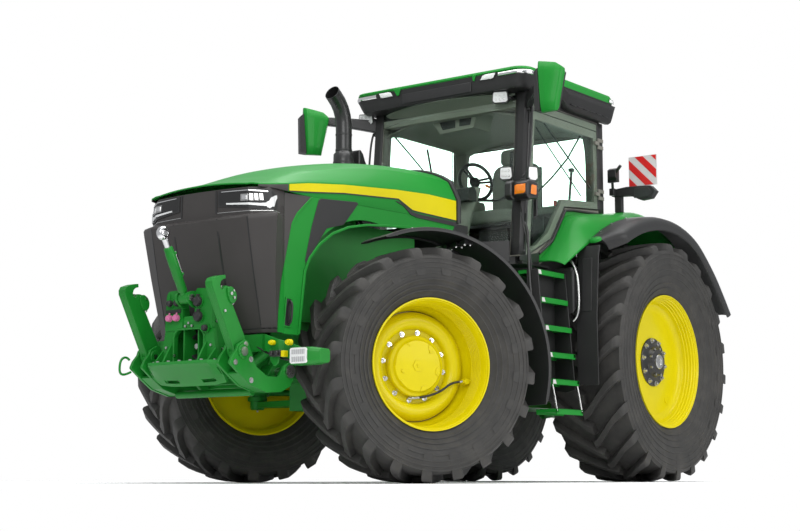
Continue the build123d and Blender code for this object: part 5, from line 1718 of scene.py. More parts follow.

# belts, door glass bars and wiper
tube(
    "seat_belt", [P(0.44, 0.62, 2.95), P(0.6, 0.58, 2.72), P(0.72, 0.5, 2.55), P(0.8, 0.4, 2.42)], 0.008,
    SATIN, smooth_path=False
)
bm = bmesh.new()
rod(bm, P(0.62, 0.6, 2.3), P(0.6, 0.62, 2.62), 0.012, 12)
box(bm, P(0.585, 0.6, 2.6), P(0.625, 0.64, 2.63))
piece("belt_post", bm, SATIN, bevel=0.003)
for side, word in SIDES:
    a, b = P(1.3, side * 0.728, 2.96), P(0.47, side * 0.728, 2.46)
    tube(
        f"door_glass_bar_{word}", [a, (a + b) / 2 + Vector((0, -side * 0.02, 0.01)), b], 0.007, SATIN,
        "left_door" if side == 1 else "chassis"
    )
tube(
    "wiper_arm", [P(1.6, 0.25, 1.905), P(1.7, 0.15, 2.05), P(1.69, 0.02, 2.3), P(1.66, -0.08, 2.52)], 0.006,
    SATIN
)
tube(
    "wiper_blade", [P(1.745, 0.05, 2.2), P(1.722, -0.02, 2.45), P(1.694, -0.09, 2.7)], 0.009, SATIN,
    smooth_path=False
)

# ---------------------------------------------------------------- exhaust
def round_pipe(bm, stations):
    """A pipe through (centre, radius) stations, each ring square to the line, with a face at its start."""
    rings = []
    for i, (centre, radius) in enumerate(stations):
        before, after = stations[max(i - 1, 0)][0], stations[min(i + 1, len(stations) - 1)][0]
        way = (after - before).normalized()
        across = way.cross(Vector((0, 1, 0))).normalized()
        other = way.cross(across)
        rings.append(
            [centre + across * radius * math.cos(a) + other * radius * math.sin(a) for a in turns(40)]
        )
    verts = grid(bm, rings, close=True)
    bm.faces.new(verts[0][::-1])
    return verts


ex, ey = 2.08, -0.66  # the exhaust's upright line
bm = bmesh.new()
profile = [
    (1.56, 0.1), (1.575, 0.116), (1.62, 0.118), (2.06, 0.118), (2.4, 0.118), (2.43, 0.112), (2.44, 0.092),
    (2.445, 0.086), (2.6, 0.086), (2.665, 0.084), (2.68, 0.072), (2.684, 0.067), (2.7, 0.0665)
]
path = [(P(ex, ey, z), r) for z, r in profile]
bend = [
    (ex, 2.78), (ex, 2.86), (ex + 0.002, 2.92), (ex + 0.014, 2.985), (ex + 0.04, 3.045), (ex + 0.078, 3.095),
    (ex + 0.125, 3.135), (ex + 0.165, 3.158)
]
path += [(P(x, ey, z), 0.0665) for x, z in bend]
outer = round_pipe(bm, path)
# the mouth is cut upright and rolled in
for v in outer[-1]:
    v.co.x = v.co.x * 0.35 + (REAR_X + ex + 0.15) * 0.65
    v.co.x += -0.35 * (v.co.z - 3.158)
rim = [v.co.copy() for v in outer[-1]]
middle = sum(rim, Vector()) / len(rim)
inner_rows = [
    rim, [middle + (p - middle) * 0.93 for p in rim],
    [middle + (p - middle) * 0.9 - Vector((0.05, 0, 0.03)) for p in rim],
    [middle + (p - middle) * 0.8 - Vector((0.14, 0, 0.12)) for p in rim]
]
verts = grid(bm, inner_rows, close=True)
bm.faces.new(verts[-1])
piece("exhaust_pipe", bm, SATIN, replaces=("exhaust_stack",), smooth=50)
bm = bmesh.new()
for z, r in ((2.452, 0.0885), (2.595, 0.0885), (2.7, 0.0695), (2.83, 0.069)):
    lathe(
        bm, [(r - 0.008, -0.009), (r, -0.007), (r, 0.007), (r - 0.008, 0.009)], 48,
        about(P(ex, ey, z), 90, "X")
    )
for a in turns(18):
    rod(
        bm, P(ex + 0.119 * math.cos(a), ey + 0.119 * math.sin(a), 1.7),
        P(ex + 0.119 * math.cos(a), ey + 0.119 * math.sin(a), 2.36), 0.0035, 8
    )
piece("exhaust_bands", bm, BLACK, smooth=50)
bm = bmesh.new()
y_plate(
    bm,
    [(1.96, 1.98), (1.96, 2.71), (1.945, 2.725), (1.905, 2.69), (1.88, 2.635), (1.862, 2.615), (1.858, 1.98)],
    -0.73, -0.59
)
box(bm, P(1.955, -0.715, 2.3), P(1.975, -0.605, 2.36))
piece("intake_shroud", bm, SATIN, bevel=0.014)

# ---------------------------------------------------------------- rear fenders
EDGE = smooth_line(
    (
        (1.372, 0, 1.7), (1.2, 0, 1.8), (1.06, 0, 1.88), (0.93, 0, 1.95), (0.76, 0, 2.045), (0.48, 0, 2.15),
        (0.14, 0, 2.207), (-0.2, 0, 2.185), (-0.5, 0, 2.085), (-0.8, 0, 1.862), (-1.0, 0, 1.66),
        (-1.14, 0, 1.5)
    ), 5
)
CROWN = smooth_line(
    (
        (1.362, 0, 1.745), (1.225, 0, 1.85), (1.14, 0, 1.93), (1.06, 0, 2.03), (0.94, 0, 2.158),
        (0.7, 0, 2.205), (0.3, 0, 2.262), (-0.08, 0, 2.32), (-0.44, 0, 2.24), (-0.74, 0, 2.02),
        (-0.96, 0, 1.76), (-1.125, 0, 1.515)
    ), 5
)


def fender_section(a, b, side):
    """Across the green fender at one station: crown near the cab, rounded shoulder and outer edge."""
    crown, edge = Vector(b), Vector(a)
    inner = 0.757 if crown.x > 0.3 else (0.484 if crown.x < 0.24 else 0.484 + (crown.x - 0.24) / 0.06 * 0.273)
    row = [(inner, crown), ((inner + 0.8) / 2, crown + Vector((0, 0, 0.004))), (0.805, crown)]
    for y, t in (
        (0.84, 0.03), (0.875, 0.1), (0.905, 0.21), (0.935, 0.38), (0.96, 0.58), (0.98, 0.78), (0.993, 0.92),
        (1.0, 1.0)
    ):
        row.append((y, crown + (edge - crown) * t))
    return [P(p.x, side * y, p.z) for y, p in row]


HUB = P(0, 0, 1.0)  # middle of the rear wheel arch
EXTENSION_START = 14  # station of EDGE where the black extension begins


def inward(p, i, j):
    return p + Vector((HUB.x - p.x, 0, HUB.z - p.z)).normalized() * 0.012


for side, word in SIDES:
    bm = bmesh.new()
    skin(bm, [fender_section(a, b, side) for a, b in zip(EDGE, CROWN)], inward)
    shell = piece(f"rear_fender_skin_{word}", bm, GREEN, smooth=60)
    if side == 1:
        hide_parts("rear_fenders", "fender_extensions")
    # black wheel-arch extension with rolled lip
    bm = bmesh.new()
    rows = []
    for i, a in enumerate(EDGE[EXTENSION_START:]):
        out = Vector((a.x, 0, a.z - 1.0)).normalized()
        grow = min(1.0, i / 4)
        section = (
            (0.99, -0.01), (1.0, 0.004), (1.012, 0.016), (1.04, 0.02), (1.1, 0.018), (1.17, 0.01),
            (1.215, -0.006), (1.24, -0.03), (1.249, -0.062), (1.249, -0.105), (1.236, -0.112),
            (1.234, -0.066), (1.205, -0.04), (1.15, -0.024), (1.0, -0.02)
        )
        rows.append(
            [
                P(a.x + out.x * d, side * (0.99 + (y - 0.99) * (0.55 + 0.45 * grow)), a.z + out.z * d)
                for y, d in section
            ]
        )
    loft(bm, rows)
    piece(f"fender_extension_{word}", bm, BLACK, smooth=40)
    bm = bmesh.new()
    for a in EDGE[EXTENSION_START::4]:
        out = Vector((a.x, 0, a.z - 1.0)).normalized()
        rod(
            bm, P(a.x + out.x * 0.02, side * 1.035, a.z + out.z * 0.02),
            P(a.x + out.x * 0.027, side * 1.035, a.z + out.z * 0.027), 0.01, 6
        )
    piece(f"fender_bolts_{word}", bm, STEEL)
    # inner wheel-arch wall behind the cab
    bm = bmesh.new()
    ring = [P(p.x, side * 0.482, p.z - 0.004) for p in CROWN if p.x < 0.32]
    low = [P(max(min(p.x, 0.32), -0.33), side * 0.482, 1.34) for p in CROWN if p.x < 0.32]
    skin(bm, [ring, low], (0, side * 0.01, 0))
    piece(f"wheel_arch_wall_{word}", bm, BLACK)
    # front end of the extension: domed cap, mud flap and box
    bm = bmesh.new()
    cap_at = about(P(0.985, side * 1.065, 1.925), 28, "Y")
    verts = []
    for a in turns(28):
        verts.append(
            [
                cap_at @ Vector((0.045 * r * math.cos(a), 0.055 * r * math.sin(a), z))
                for r, z in ((1.0, 0.0), (1.0, 0.016), (0.86, 0.024), (0.4, 0.028), (0.05, 0.029))
            ]
        )
    grid(bm, verts + [verts[0]])
    piece(f"fender_front_cap_{word}", bm, GREEN, smooth=50)
    bm = bmesh.new()
    y_plate(
        bm,
        [
            (1.062, 0.765), (1.074, 0.765), (1.086, 1.3), (1.046, 1.8), (1.02, 1.885), (1.006, 1.885),
            (1.034, 1.8), (1.074, 1.3)
        ], *sorted((side * 0.935, side * 1.125))
    )
    y_plate(
        bm, [(1.074, 1.35), (1.09, 1.35), (1.06, 1.78), (1.05, 1.78)], *sorted((side * 0.985, side * 1.075))
    )
    piece(f"rear_mud_flap_{word}", bm, BLACK, bevel=0.004)
    bm = bmesh.new()
    prism(
        bm, [P(x, side * 0.8, z) for x, z in ((1.115, 1.4), (1.18, 1.325), (1.185, 1.67), (1.12, 1.715))],
        (0, side * 0.17, 0)
    )
    box(bm, P(1.12, side * 0.8, 1.66), P(1.186, side * 0.96, 1.7))
    piece(f"battery_box_{word}", bm, BLACK, bevel=0.012)

# ---------------------------------------------------------------- steps on the left
def step_width(z):
    """How far out a tread reaches at a height."""
    return 1.055 - (z - 0.53) * 0.142


bm = bmesh.new()
for low, high in ((1.191, 1.203), (1.597, 1.609)):
    outline = [(0.802, 0.72), (0.9, 0.7), (0.985, 0.72), (0.905, 1.648), (0.802, 1.648)]
    prism(bm, [P(low, y, z) for y, z in outline], (high - low, 0, 0))
box(bm, P(1.203, 0.8, 0.78), P(1.597, 0.806, 1.64))
piece("step_side_plates", bm, BLACK, replaces=("cab_steps",), bevel=0.004)
bm = bmesh.new()
for z in (0.53, 0.76, 0.97, 1.18, 1.4, 1.62):
    outer = step_width(z)
    inner = outer - 0.185
    for k in range(5):
        y0 = inner + (outer - inner) * k / 5
        box(bm, P(1.232, y0 + 0.003, z + 0.006), P(1.568, y0 + 0.03, z + 0.028))
        for j in range(14):
            x = 1.24 + 0.024 * j
            box(bm, P(x, y0 + 0.008, z + 0.0275), P(x + 0.012, y0 + 0.024, z + 0.0325))
    box(bm, P(1.205, outer - 0.01, z - 0.012), P(1.595, outer, z + 0.028))
    box(bm, P(1.205, inner, z - 0.012), P(1.595, inner + 0.01, z + 0.028))
    for x in (1.205, 1.568):
        box(bm, P(x, inner, z), P(x + 0.027, outer, z + 0.028))
piece("step_treads", bm, GREEN, bevel=0.002)
# painted highlight: pale white patches on the outer front ends of the upper five treads stand in for the light
# that catches these ends
bm = bmesh.new()
for z in (0.76, 0.97, 1.18, 1.4, 1.62):
    outer = step_width(z)
    prism(
        bm,
        [
            P(1.545, outer + 0.0008, z - 0.008), P(1.5945, outer + 0.0008, z - 0.008),
            P(1.5945, outer + 0.0008, z + 0.024), P(1.56, outer + 0.0008, z + 0.024)
        ], (0, 0.002, 0)
    )
piece("step_painted_highlights", bm, WHITE)
for x, word in ((1.215, "rear"), (1.585, "front")):
    tube(
        f"step_strap_{word}", [P(x, 1.05, 0.545), P(x, 1.03, 0.66), P(x, 1.008, 0.765)], 0.007, STEEL,
        smooth_path=False
    )
tube(
    "step_rail_rear",
    [P(1.16, 0.93, 1.76), P(1.15, 0.985, 1.7), P(1.145, 1.0, 1.45), P(1.15, 0.99, 1.3), P(1.16, 0.95, 1.27)],
    0.01, STEEL
)
tube(
    "step_rail_front",
    [P(1.64, 0.8, 2.02), P(1.65, 0.845, 1.98), P(1.655, 0.85, 1.8), P(1.65, 0.86, 1.45), P(1.64, 0.9, 1.2)],
    0.01, SATIN
)
tube(
    "step_hose",
    [P(1.62, 0.765, 2.15), P(1.66, 0.8, 2.05), P(1.655, 0.83, 1.9), P(1.62, 0.85, 1.75), P(1.6, 0.84, 1.6)],
    0.008, SATIN
)
bm = bmesh.new()
for side in (1, -1):
    box(bm, P(1.2, side * 0.712, 1.7), P(1.6, side * 0.76, 1.722))
    prism(
        bm,
        [
            P(1.36, side * 0.757, 1.722), P(1.64, side * 0.757, 1.722), P(1.64, side * 0.757, 1.76),
            P(1.36, side * 0.757, 1.812)
        ], (0, side * 0.006, 0)
    )
piece("cab_sill_covers", bm, SATIN, bevel=0.004)

# ---------------------------------------------------------------- marker boards, lamps on the rear fenders
for side, word in SIDES:
    bm = bmesh.new()
    y0, y1, z0, z1 = 0.897, 1.157, 2.514, 2.768
    box(bm, P(0.0865, side * (y0 - 0.003), z0 - 0.003), P(0.0985, side * (y1 + 0.003), z1 + 0.003), 2)
    for k in range(-4, 6):
        low = z0 + k * 0.155
        # a slanted band, cut to the board
        poly = [(y0, low), (y1, low - 0.26), (y1, low - 0.26 + 0.0775), (y0, low + 0.0775)]
        for limit, keep_above in ((z0, True), (z1, False)):
            cut = []
            for (ya, za), (yb, zb) in zip(poly, poly[1:] + poly[:1]):
                ina, inb = (
                    (za >= limit) if keep_above else (za <= limit)
                ), ((zb >= limit) if keep_above else (zb <= limit))
                if ina:
                    cut.append((ya, za))
                if ina != inb:
                    t = (limit - za) / (zb - za)
                    cut.append((ya + (yb - ya) * t, limit))
            poly = cut
        if len(poly) >= 3:
            for x, push in ((0.0985, 0.0018), (0.0865, -0.0018)):
                prism(bm, [P(x, side * y, z) for y, z in poly], (push, 0, 0), 1)
    piece(
        f"marker_board_{word}", bm, [WHITE, RED, WHITE],
        replaces=("width_marker_boards",) if side == 1 else (), smooth=20
    )
    bm = bmesh.new()
    outline = [
        (0.742, 2.44), (0.742, 2.5), (0.88, 2.512), (1.01, 2.508), (1.115, 2.5), (1.165, 2.448),
        (1.12, 2.392), (1.02, 2.384), (0.92, 2.432)
    ]
    prism(bm, [P(0.07, side * y, z) for y, z in outline], (0.062, 0, 0))
    prism(
        bm,
        [
            P(0.132, side * y, z)
            for y, z in ((0.96, 2.405), (1.1, 2.405), (1.13, 2.445), (1.09, 2.49), (0.97, 2.49))
        ], (0.006, 0, 0), 1
    )
    prism(
        bm,
        [
            P(0.07, side * y, z)
            for y, z in ((0.96, 2.405), (1.1, 2.405), (1.13, 2.445), (1.09, 2.49), (0.97, 2.49))
        ], (-0.006, 0, 0), 2
    )
    box(bm, P(0.08, side * 0.765, 2.3), P(0.125, side * 0.83, 2.445))
    rod(bm, P(0.1, side * 0.8, 2.22), P(0.1, side * 0.8, 2.4), 0.018, 16)
    piece(f"marker_lamp_{word}", bm, [BLACK, SATIN, RED], bevel=0.006)
    bm = bmesh.new()
    box(bm, P(0.205, side * 0.76, 2.545), P(0.235, side * 0.86, 2.655))
    prism(
        bm, [P(x, side * 0.78, z) for x, z in ((0.235, 2.56), (0.262, 2.585), (0.262, 2.65), (0.235, 2.665))],
        (0, side * 0.075, 0)
    )
    rod(bm, P(0.22, side * 0.8, 2.548), P(0.18, side * 0.78, 2.49), 0.012, 12)
    box(bm, P(0.16, side * 0.755, 2.44), P(0.2, side * 0.8, 2.5))
    rod(bm, P(0.24, side * 0.838, 2.62), P(0.262, side * 0.905, 2.675), 0.014, 12)
    piece(f"rear_lamp_bracket_{word}", bm, SATIN, bevel=0.008)

# ---------------------------------------------------------------- front fenders, on the steered knuckles
FRONT_X = REAR_X + WHEELBASE
WHEEL_OFF = 0.165  # middle of the wheel, out from the kingpin


def swivel_rod(bm, side, low, top, radius, sides, material=0):
    """A round bar on the upright line a front wheel swivels about."""
    ends = (Vector((FRONT_X, side * KINGPIN_Y, z)) for z in (low, top))
    rod(bm, *ends, radius, sides, material)


def knuckle_frame(side):
    """Local X ahead, Y out along the axle from the kingpin, Z up from the ground."""
    out = Vector(JOINTS[f"{'left' if side == 1 else 'right'}_front_wheel_spin"]["axis"]).normalized() * side
    if out.y * side < 0:
        out = -out
    ahead = Vector((out.y, -out.x, 0)) * side
    turn = Matrix((ahead, out, (0, 0, 1))).transposed()
    return Matrix.Translation(Vector((FRONT_X, side * KINGPIN_Y, 0))) @ turn.to_4x4()


for side, word in SIDES:
    frame_at = knuckle_frame(side)
    high = FRONT_RADIUS

    def K(ahead, out, up):
        return frame_at @ Vector((ahead, out, up))

    def round_wheel(radius, degrees, out):
        a = math.radians(degrees)
        return K(radius * math.cos(a), WHEEL_OFF + out, high + radius * math.sin(a))

    body = f"{word}_knuckle"
    section = (
        (-0.12, 0.914), (-0.1205, 0.93), (-0.117, 0.9385), (-0.108, 0.941), (-0.099, 0.9385), (-0.094, 0.934),
        (-0.06, 0.9375), (0.08, 0.9405),
        (0.22, 0.9375), (0.254, 0.934), (0.259, 0.9385), (0.268, 0.941), (0.277, 0.9385), (0.2805, 0.93),
        (0.28, 0.914), (0.274, 0.914), (0.27, 0.926),
        (0.25, 0.929), (0.08, 0.9325), (-0.09, 0.929), (-0.11, 0.926), (-0.114, 0.914),
    )
    bm = bmesh.new()
    steps = 72
    rows = []
    for k in range(steps + 1):
        a = 66 + 130 * k / steps
        ease = min(1.0, (a - 66) / 3, (196 - a) / 3)
        rows.append(
            [
                round_wheel(
                    0.934 + (r - 0.934) * (0.35 + 0.65 * ease), a, 0.08 + (y - 0.08) * (0.955 + 0.045 * ease)
                ) for y, r in section
            ]
        )
    loft(bm, rows, True)
    piece(f"front_fender_arch_{word}", bm, BLACK, body, (f"front_fender_{word}",), 45)
    # fixings along the arch
    bm = bmesh.new()
    for k in range(25):
        a = 70 + 122 * k / 24
        for y in (-0.075, 0.235):
            if k % 4 == 2:
                rod(bm, round_wheel(0.937, a, y), round_wheel(0.9465, a, y), 0.0085, 6)
                rod(bm, round_wheel(0.937, a, y), round_wheel(0.9405, a, y), 0.015, 20)
    piece(f"front_fender_bolts_{word}", bm, STEEL, body)
    # bent stay from the knuckle, with brackets under the arch
    stem = WHEEL_OFF - FRONT_WIDTH / 2 - 0.037
    under = high + math.sqrt(0.928 ** 2 - 0.3 ** 2) - 0.007
    bends = [
        K(-0.3, -0.04, 0.93), K(-0.3, stem + 0.07, 0.93), K(-0.3, stem + 0.02, 0.945), K(-0.3, stem, 1.0),
        K(-0.3, stem, under - 0.09), K(-0.3, stem + 0.025, under - 0.025), K(-0.3, stem + 0.085, under),
        K(-0.3, WHEEL_OFF + 0.222, under)
    ]
    line = [bends[0]] + smooth_line(bends[1:7], 6) + [bends[7]]
    bm = bmesh.new()
    rings = []
    for i, p in enumerate(line):
        way = (line[min(i + 1, len(line) - 1)] - line[max(i - 1, 0)]).normalized()
        first = (frame_at.to_3x3() @ Vector((1, 0, 0))).normalized()
        second = way.cross(first).normalized()
        rings.append([p + first * 0.0175 * math.cos(a) + second * 0.0175 * math.sin(a) for a in turns(20)])
    loft(bm, rings, True)
    rod(bm, K(-0.3, -0.075, 0.93), K(-0.3, -0.01, 0.93), 0.03, 24)
    for y in (-0.06, 0.08, 0.2):
        box(
            bm, Vector((-0.335, WHEEL_OFF + y - 0.022, under - 0.02)),
            Vector((-0.265, WHEEL_OFF + y + 0.022, under + 0.012)), 0, frame_at
        )
    piece(f"front_fender_stay_{word}", bm, SATIN, body, smooth=50)
    bm = bmesh.new()
    for y in (-0.06, 0.08, 0.2):
        for x in (-0.322, -0.278):
            rod(bm, K(x, WHEEL_OFF + y, under - 0.02), K(x, WHEEL_OFF + y, under - 0.03), 0.009, 6)
    piece(f"front_fender_stay_bolts_{word}", bm, STEEL, body)

# ---------------------------------------------------------------- knuckles and front axle details
for side, word in SIDES:
    frame_at = knuckle_frame(side)
    turned = frame_at @ Matrix.Translation(Vector((0, 0, FRONT_RADIUS)))
    body = f"{word}_knuckle"
    bm = bmesh.new()
    # ribbed final-drive housing behind the wheel disc
    lathe(
        bm,
        [
            (0.1, -0.072), (0.14, -0.07), (0.158, -0.06), (0.162, -0.046), (0.176, -0.046), (0.18, -0.04),
            (0.18, -0.024), (0.176, -0.018), (0.162, -0.018), (0.158, 0.004), (0.15, 0.018), (0.118, 0.026),
            (0.108, 0.036), (0.102, 0.04), (0.09, 0.04)
        ], 72, turned
    )
    for k in range(12):
        a = 2 * math.pi * (k + 0.5) / 12
        box(
            bm, Vector((0.1, -0.058, -0.007)), Vector((0.16, 0.02, 0.007)), 0,
            turned @ Matrix.Rotation(a, 4, "Y")
        )
    for a in turns(16):
        x, z = polar(0.17, a)
        for y0, y1 in ((-0.054, -0.044), (-0.018, -0.01)):
            rod(bm, turned @ Vector((x, y0, z)), turned @ Vector((x, y1, z)), 0.01, 6, 1)
    # swivel bosses above and below
    for low, top in ((0.61, 0.64), (0.98, 1.01)):
        swivel_rod(bm, side, low, top, 0.074, 40)
    rod(bm, frame_at @ Vector((0, -0.04, 0.7)), frame_at @ Vector((0, -0.04, 0.93)), 0.07, 32)
    piece(f"final_drive_housing_{word}", bm, [CAST, STEEL], body, smooth=35, bevel=0.002)
    bm = bmesh.new()
    swivel_rod(bm, side, 1.0655, 1.0795, 0.05, 40)
    for a in turns(4, math.pi / 4):
        x, y = FRONT_X + 0.036 * math.cos(a), side * KINGPIN_Y + 0.036 * math.sin(a)
        rod(bm, Vector((x, y, 1.0795)), Vector((x, y, 1.0865)), 0.007, 6, 1)
    swivel_rod(bm, side, 0.558, 0.545, 0.05, 40)
    swivel_rod(bm, side, 0.545, 0.528, 0.007, 12, 1)
    piece(f"swivel_caps_{word}", bm, [CAST, STEEL], bevel=0.002)

# ---------------------------------------------------------------- front hitch
LIFT_PIN, CYLINDER_PIN, ARM_PIN, TOP_PIN = (4.02, 0.74), (4.01, 0.905), (4.478, 0.847), (4.54, 1.215)
FRONT_SHAFT_Z, REAR_SHAFT_Z = 0.905, 0.9
COUPLERS = ((0.098, 1.191), (0.104, 1.092), (-0.094, 1.191), (-0.16, 1.191), (0.166, 1.012))  # left, up
PINK_COUPLERS = ((-0.094, 1.092), (-0.16, 1.092))

# tower: two coupler columns over an arch, side plates behind
bm = bmesh.new()
for s in (1, -1):
    x_plate(
        bm,
        [
            (s * 0.056, 1.01), (s * 0.056, 1.25), (s * 0.074, 1.282), (s * 0.188, 1.274), (s * 0.206, 1.25),
            (s * 0.218, 1.01)
        ], 4.478, 4.506, 0.014
    )
    x_plate(
        bm,
        [
            (s * 0.132, 0.795), (s * 0.132, 0.972), (s * 0.094, 1.012), (s * 0.06, 1.014), (s * 0.218, 1.014),
            (s * 0.262, 0.795)
        ], 4.47, 4.5, 0.004
    )
    y_plate(
        bm,
        [(4.3, 0.8), (4.482, 0.8), (4.482, 1.255), (4.445, 1.272), (4.4, 1.24), (4.36, 1.05), (4.3, 0.93)],
        s * 0.19, s * 0.206, 0.012
    )
    y_plate(
        bm, [(4.32, 0.8), (4.478, 0.8), (4.478, 1.2), (4.452, 1.225), (4.43, 1.1), (4.36, 0.98)], s * 0.06,
        s * 0.072, 0.01
    )
    # ears for the top pin
    y_plate(
        bm,
        [
            (4.47, 1.15), (4.52, 1.155), (4.574, 1.19), (4.584, 1.22), (4.572, 1.25), (4.535, 1.262),
            (4.47, 1.268)
        ], s * 0.04, s * 0.058, 0.02
    )
    # foot gussets
    prism(bm, [P(4.5, s * 0.15, 0.8), P(4.58, s * 0.15, 0.8), P(4.5, s * 0.15, 0.93)], (0, s * 0.016, 0))
    prism(bm, [P(4.5, s * 0.236, 0.8), P(4.57, s * 0.236, 0.8), P(4.5, s * 0.236, 0.88)], (0, s * 0.014, 0))
x_plate(
    bm,
    [
        (-0.13, 1.012), (0.13, 1.012), (0.13, 1.052), (0.06, 1.07), (0.05, 1.1), (-0.05, 1.1), (-0.06, 1.07),
        (-0.13, 1.052)
    ], 4.462, 4.497, 0.01
)
# rolled rim round the arch
rim = [
    (-0.14, 0.8), (-0.14, 0.965), (-0.128, 0.996), (-0.098, 1.018), (0.098, 1.018), (0.128, 0.996),
    (0.14, 0.965), (0.14, 0.8)
]
for (ya, za), (yb, zb) in zip(rim, rim[1:]):
    rod(bm, P(4.5, ya, za), P(4.5, yb, zb), 0.0085, 12)
box(bm, P(4.3, -0.2, 0.795), P(4.47, 0.2, 0.812))
# raised bosses behind the couplers
bosses = (*COUPLERS[:4], *PINK_COUPLERS, COUPLERS[4])
for (y, z), r in zip(bosses, (0.041, 0.042, 0.03, 0.03, 0.03, 0.03, 0.03)):
    rod(bm, P(4.5, y, z), P(4.516, y, z), r, 36)
for s in (1, -1):
    box(bm, P(4.5, s * 0.18 - 0.012, 1.215), P(4.512, s * 0.18 + 0.012, 1.255))
piece("front_tower", bm, CAST, replaces=("front_hitch_frame",), smooth=30, bevel=0.004)

bm = bmesh.new()
for (y, z), r in zip(COUPLERS, (0.033, 0.034, 0.021, 0.021, 0.02)):
    cap = [(0.0005, 0.0), (r, 0.0), (r, 0.02), (r * 0.9, 0.03), (r * 0.55, 0.036), (0.0005, 0.038)]
    lathe(bm, cap, 36, about(P(4.512, y, z), -90))
    bolt_circle(bm, P(4.514, y, z), r, 0.017, 0.0022, 16)
for y, z in COUPLERS[:2]:
    box(bm, P(4.514, y - 0.01, z + 0.028), P(4.53, y + 0.01, z + 0.048))
box(bm, P(4.506, -0.205, 1.125), P(4.512, -0.07, 1.15))
piece("coupler_caps", bm, BLACK, smooth=40)
bm = bmesh.new()
for y, z in PINK_COUPLERS:
    lathe(
        bm, [(0.0005, 0.0), (0.0225, 0.0), (0.0235, 0.006), (0.0225, 0.028), (0.018, 0.035), (0.0005, 0.037)],
        36, about(P(4.512, y, z), -90)
    )
    rod(bm, P(4.528, y, z + 0.02), P(4.522, y, z + 0.034), 0.006, 12)
piece("coupler_caps_pink", bm, PINK, smooth=40)
bm = bmesh.new()
for y, z in (
    (-0.128, 0.845), (0.128, 0.845), (-0.205, 0.83), (0.205, 0.83), (0.205, 0.9), (-0.205, 0.9), (0.0, 1.055),
    (0.03, 1.035), (-0.03, 1.035)
):
    rod(bm, P(4.498, y, z), P(4.509, y, z), 0.0095, 6)
for s in (1, -1):
    for x, z in ((4.33, 0.85), (4.4, 0.88), (4.455, 1.16), (4.455, 1.06)):
        pin(bm, (x, z), s * 0.204, s * 0.215, 0.01, 6)
pin(bm, TOP_PIN, -0.066, 0.066, 0.0165, 28)
pin(bm, TOP_PIN, 0.058, 0.07, 0.026, 28)
piece("front_tower_bolts", bm, STEEL)
# power take-off stub inside the arch
bm = bmesh.new()
rod(bm, P(4.3, 0, FRONT_SHAFT_Z), P(4.35, 0, FRONT_SHAFT_Z), 0.074, 40)
rod(bm, P(4.35, 0, FRONT_SHAFT_Z), P(4.362, 0, FRONT_SHAFT_Z), 0.06, 40)
bolt_circle(bm, P(4.35, 0, FRONT_SHAFT_Z), 0.064, 0.008, 0.006, 8)
lathe(
    bm, [(0.07, 0.05), (0.078, 0.05), (0.088, 0.118), (0.083, 0.118)], 40,
    about(P(4.29, 0, FRONT_SHAFT_Z), -90)
)
piece("front_shaft_guard", bm, BLACK)
bm = bmesh.new()
rod(bm, P(4.355, 0, FRONT_SHAFT_Z), P(4.43, 0, FRONT_SHAFT_Z), 0.0165, 36)
for a in turns(12):
    box(
        bm, Vector((0.0, -0.0026, 0.014)), Vector((0.068, 0.0026, 0.0195)), 0,
        Matrix.Translation(P(4.358, 0, FRONT_SHAFT_Z)) @ Matrix.Rotation(a, 4, "X")
    )
piece("front_shaft_splines", bm, STEEL)

# block behind the tower, deck in front of it
bm = bmesh.new()
box(bm, P(3.905, -0.215, 0.665), P(4.11, 0.215, 0.93))
box(bm, P(4.105, -0.215, 0.705), P(4.3, 0.215, 0.93))
for s in (1, -1):
    y_plate(
        bm,
        [
            (3.902, 0.615), (4.105, 0.603), (4.15, 0.64), (4.205, 0.685), (4.33, 0.715), (4.33, 0.94),
            (4.26, 0.966), (4.12, 0.972), (3.902, 0.99)
        ], s * 0.226, s * 0.25, 0.02
    )
    y_plate(
        bm, [(3.93, 0.64), (4.01, 0.632), (4.04, 0.66), (3.99, 0.84), (3.93, 0.86)], s * 0.214, s * 0.262,
        0.018
    )
    box(bm, P(3.905, s * 0.262, 0.925), P(4.11, s * 0.3, 0.945))
    # pivot bosses of the lift pin and the lift cylinder pin
    pin(bm, LIFT_PIN, s * 0.214, s * 0.33, 0.052, 40)
    pin(bm, CYLINDER_PIN, s * 0.214, s * 0.258, 0.048, 40)
for x in (4.02, 4.12, 4.22):
    box(bm, P(x, -0.226, 0.928), P(x + 0.016, 0.226, 0.962))
    if x < 4.2:
        box(bm, P(x - 0.06, -0.214, 0.64), P(x - 0.044, 0.214, 0.668))
piece("front_hitch_block", bm, CAST, bevel=0.005)
bm = bmesh.new()
for s in (1, -1):
    pin(bm, LIFT_PIN, s * 0.33, s * 0.475, 0.03, 32)
    pin(bm, LIFT_PIN, s * 0.467, s * 0.478, 0.044, 32)
    pin(bm, CYLINDER_PIN, s * 0.214, s * 0.325, 0.0165, 24)
    pin(bm, CYLINDER_PIN, s * 0.3285, s * 0.336, 0.028, 24)
    for x, z in ((3.93, 0.93), (4.06, 0.93), (4.19, 0.92), (4.28, 0.9), (4.2, 0.74), (4.28, 0.76)):
        pin(bm, (x, z), s * 0.248, s * 0.26, 0.013, 6)
        pin(bm, (x, z), s * 0.248, s * 0.2525, 0.02, 24)
piece("front_hitch_pins", bm, STEEL)

bm = bmesh.new()
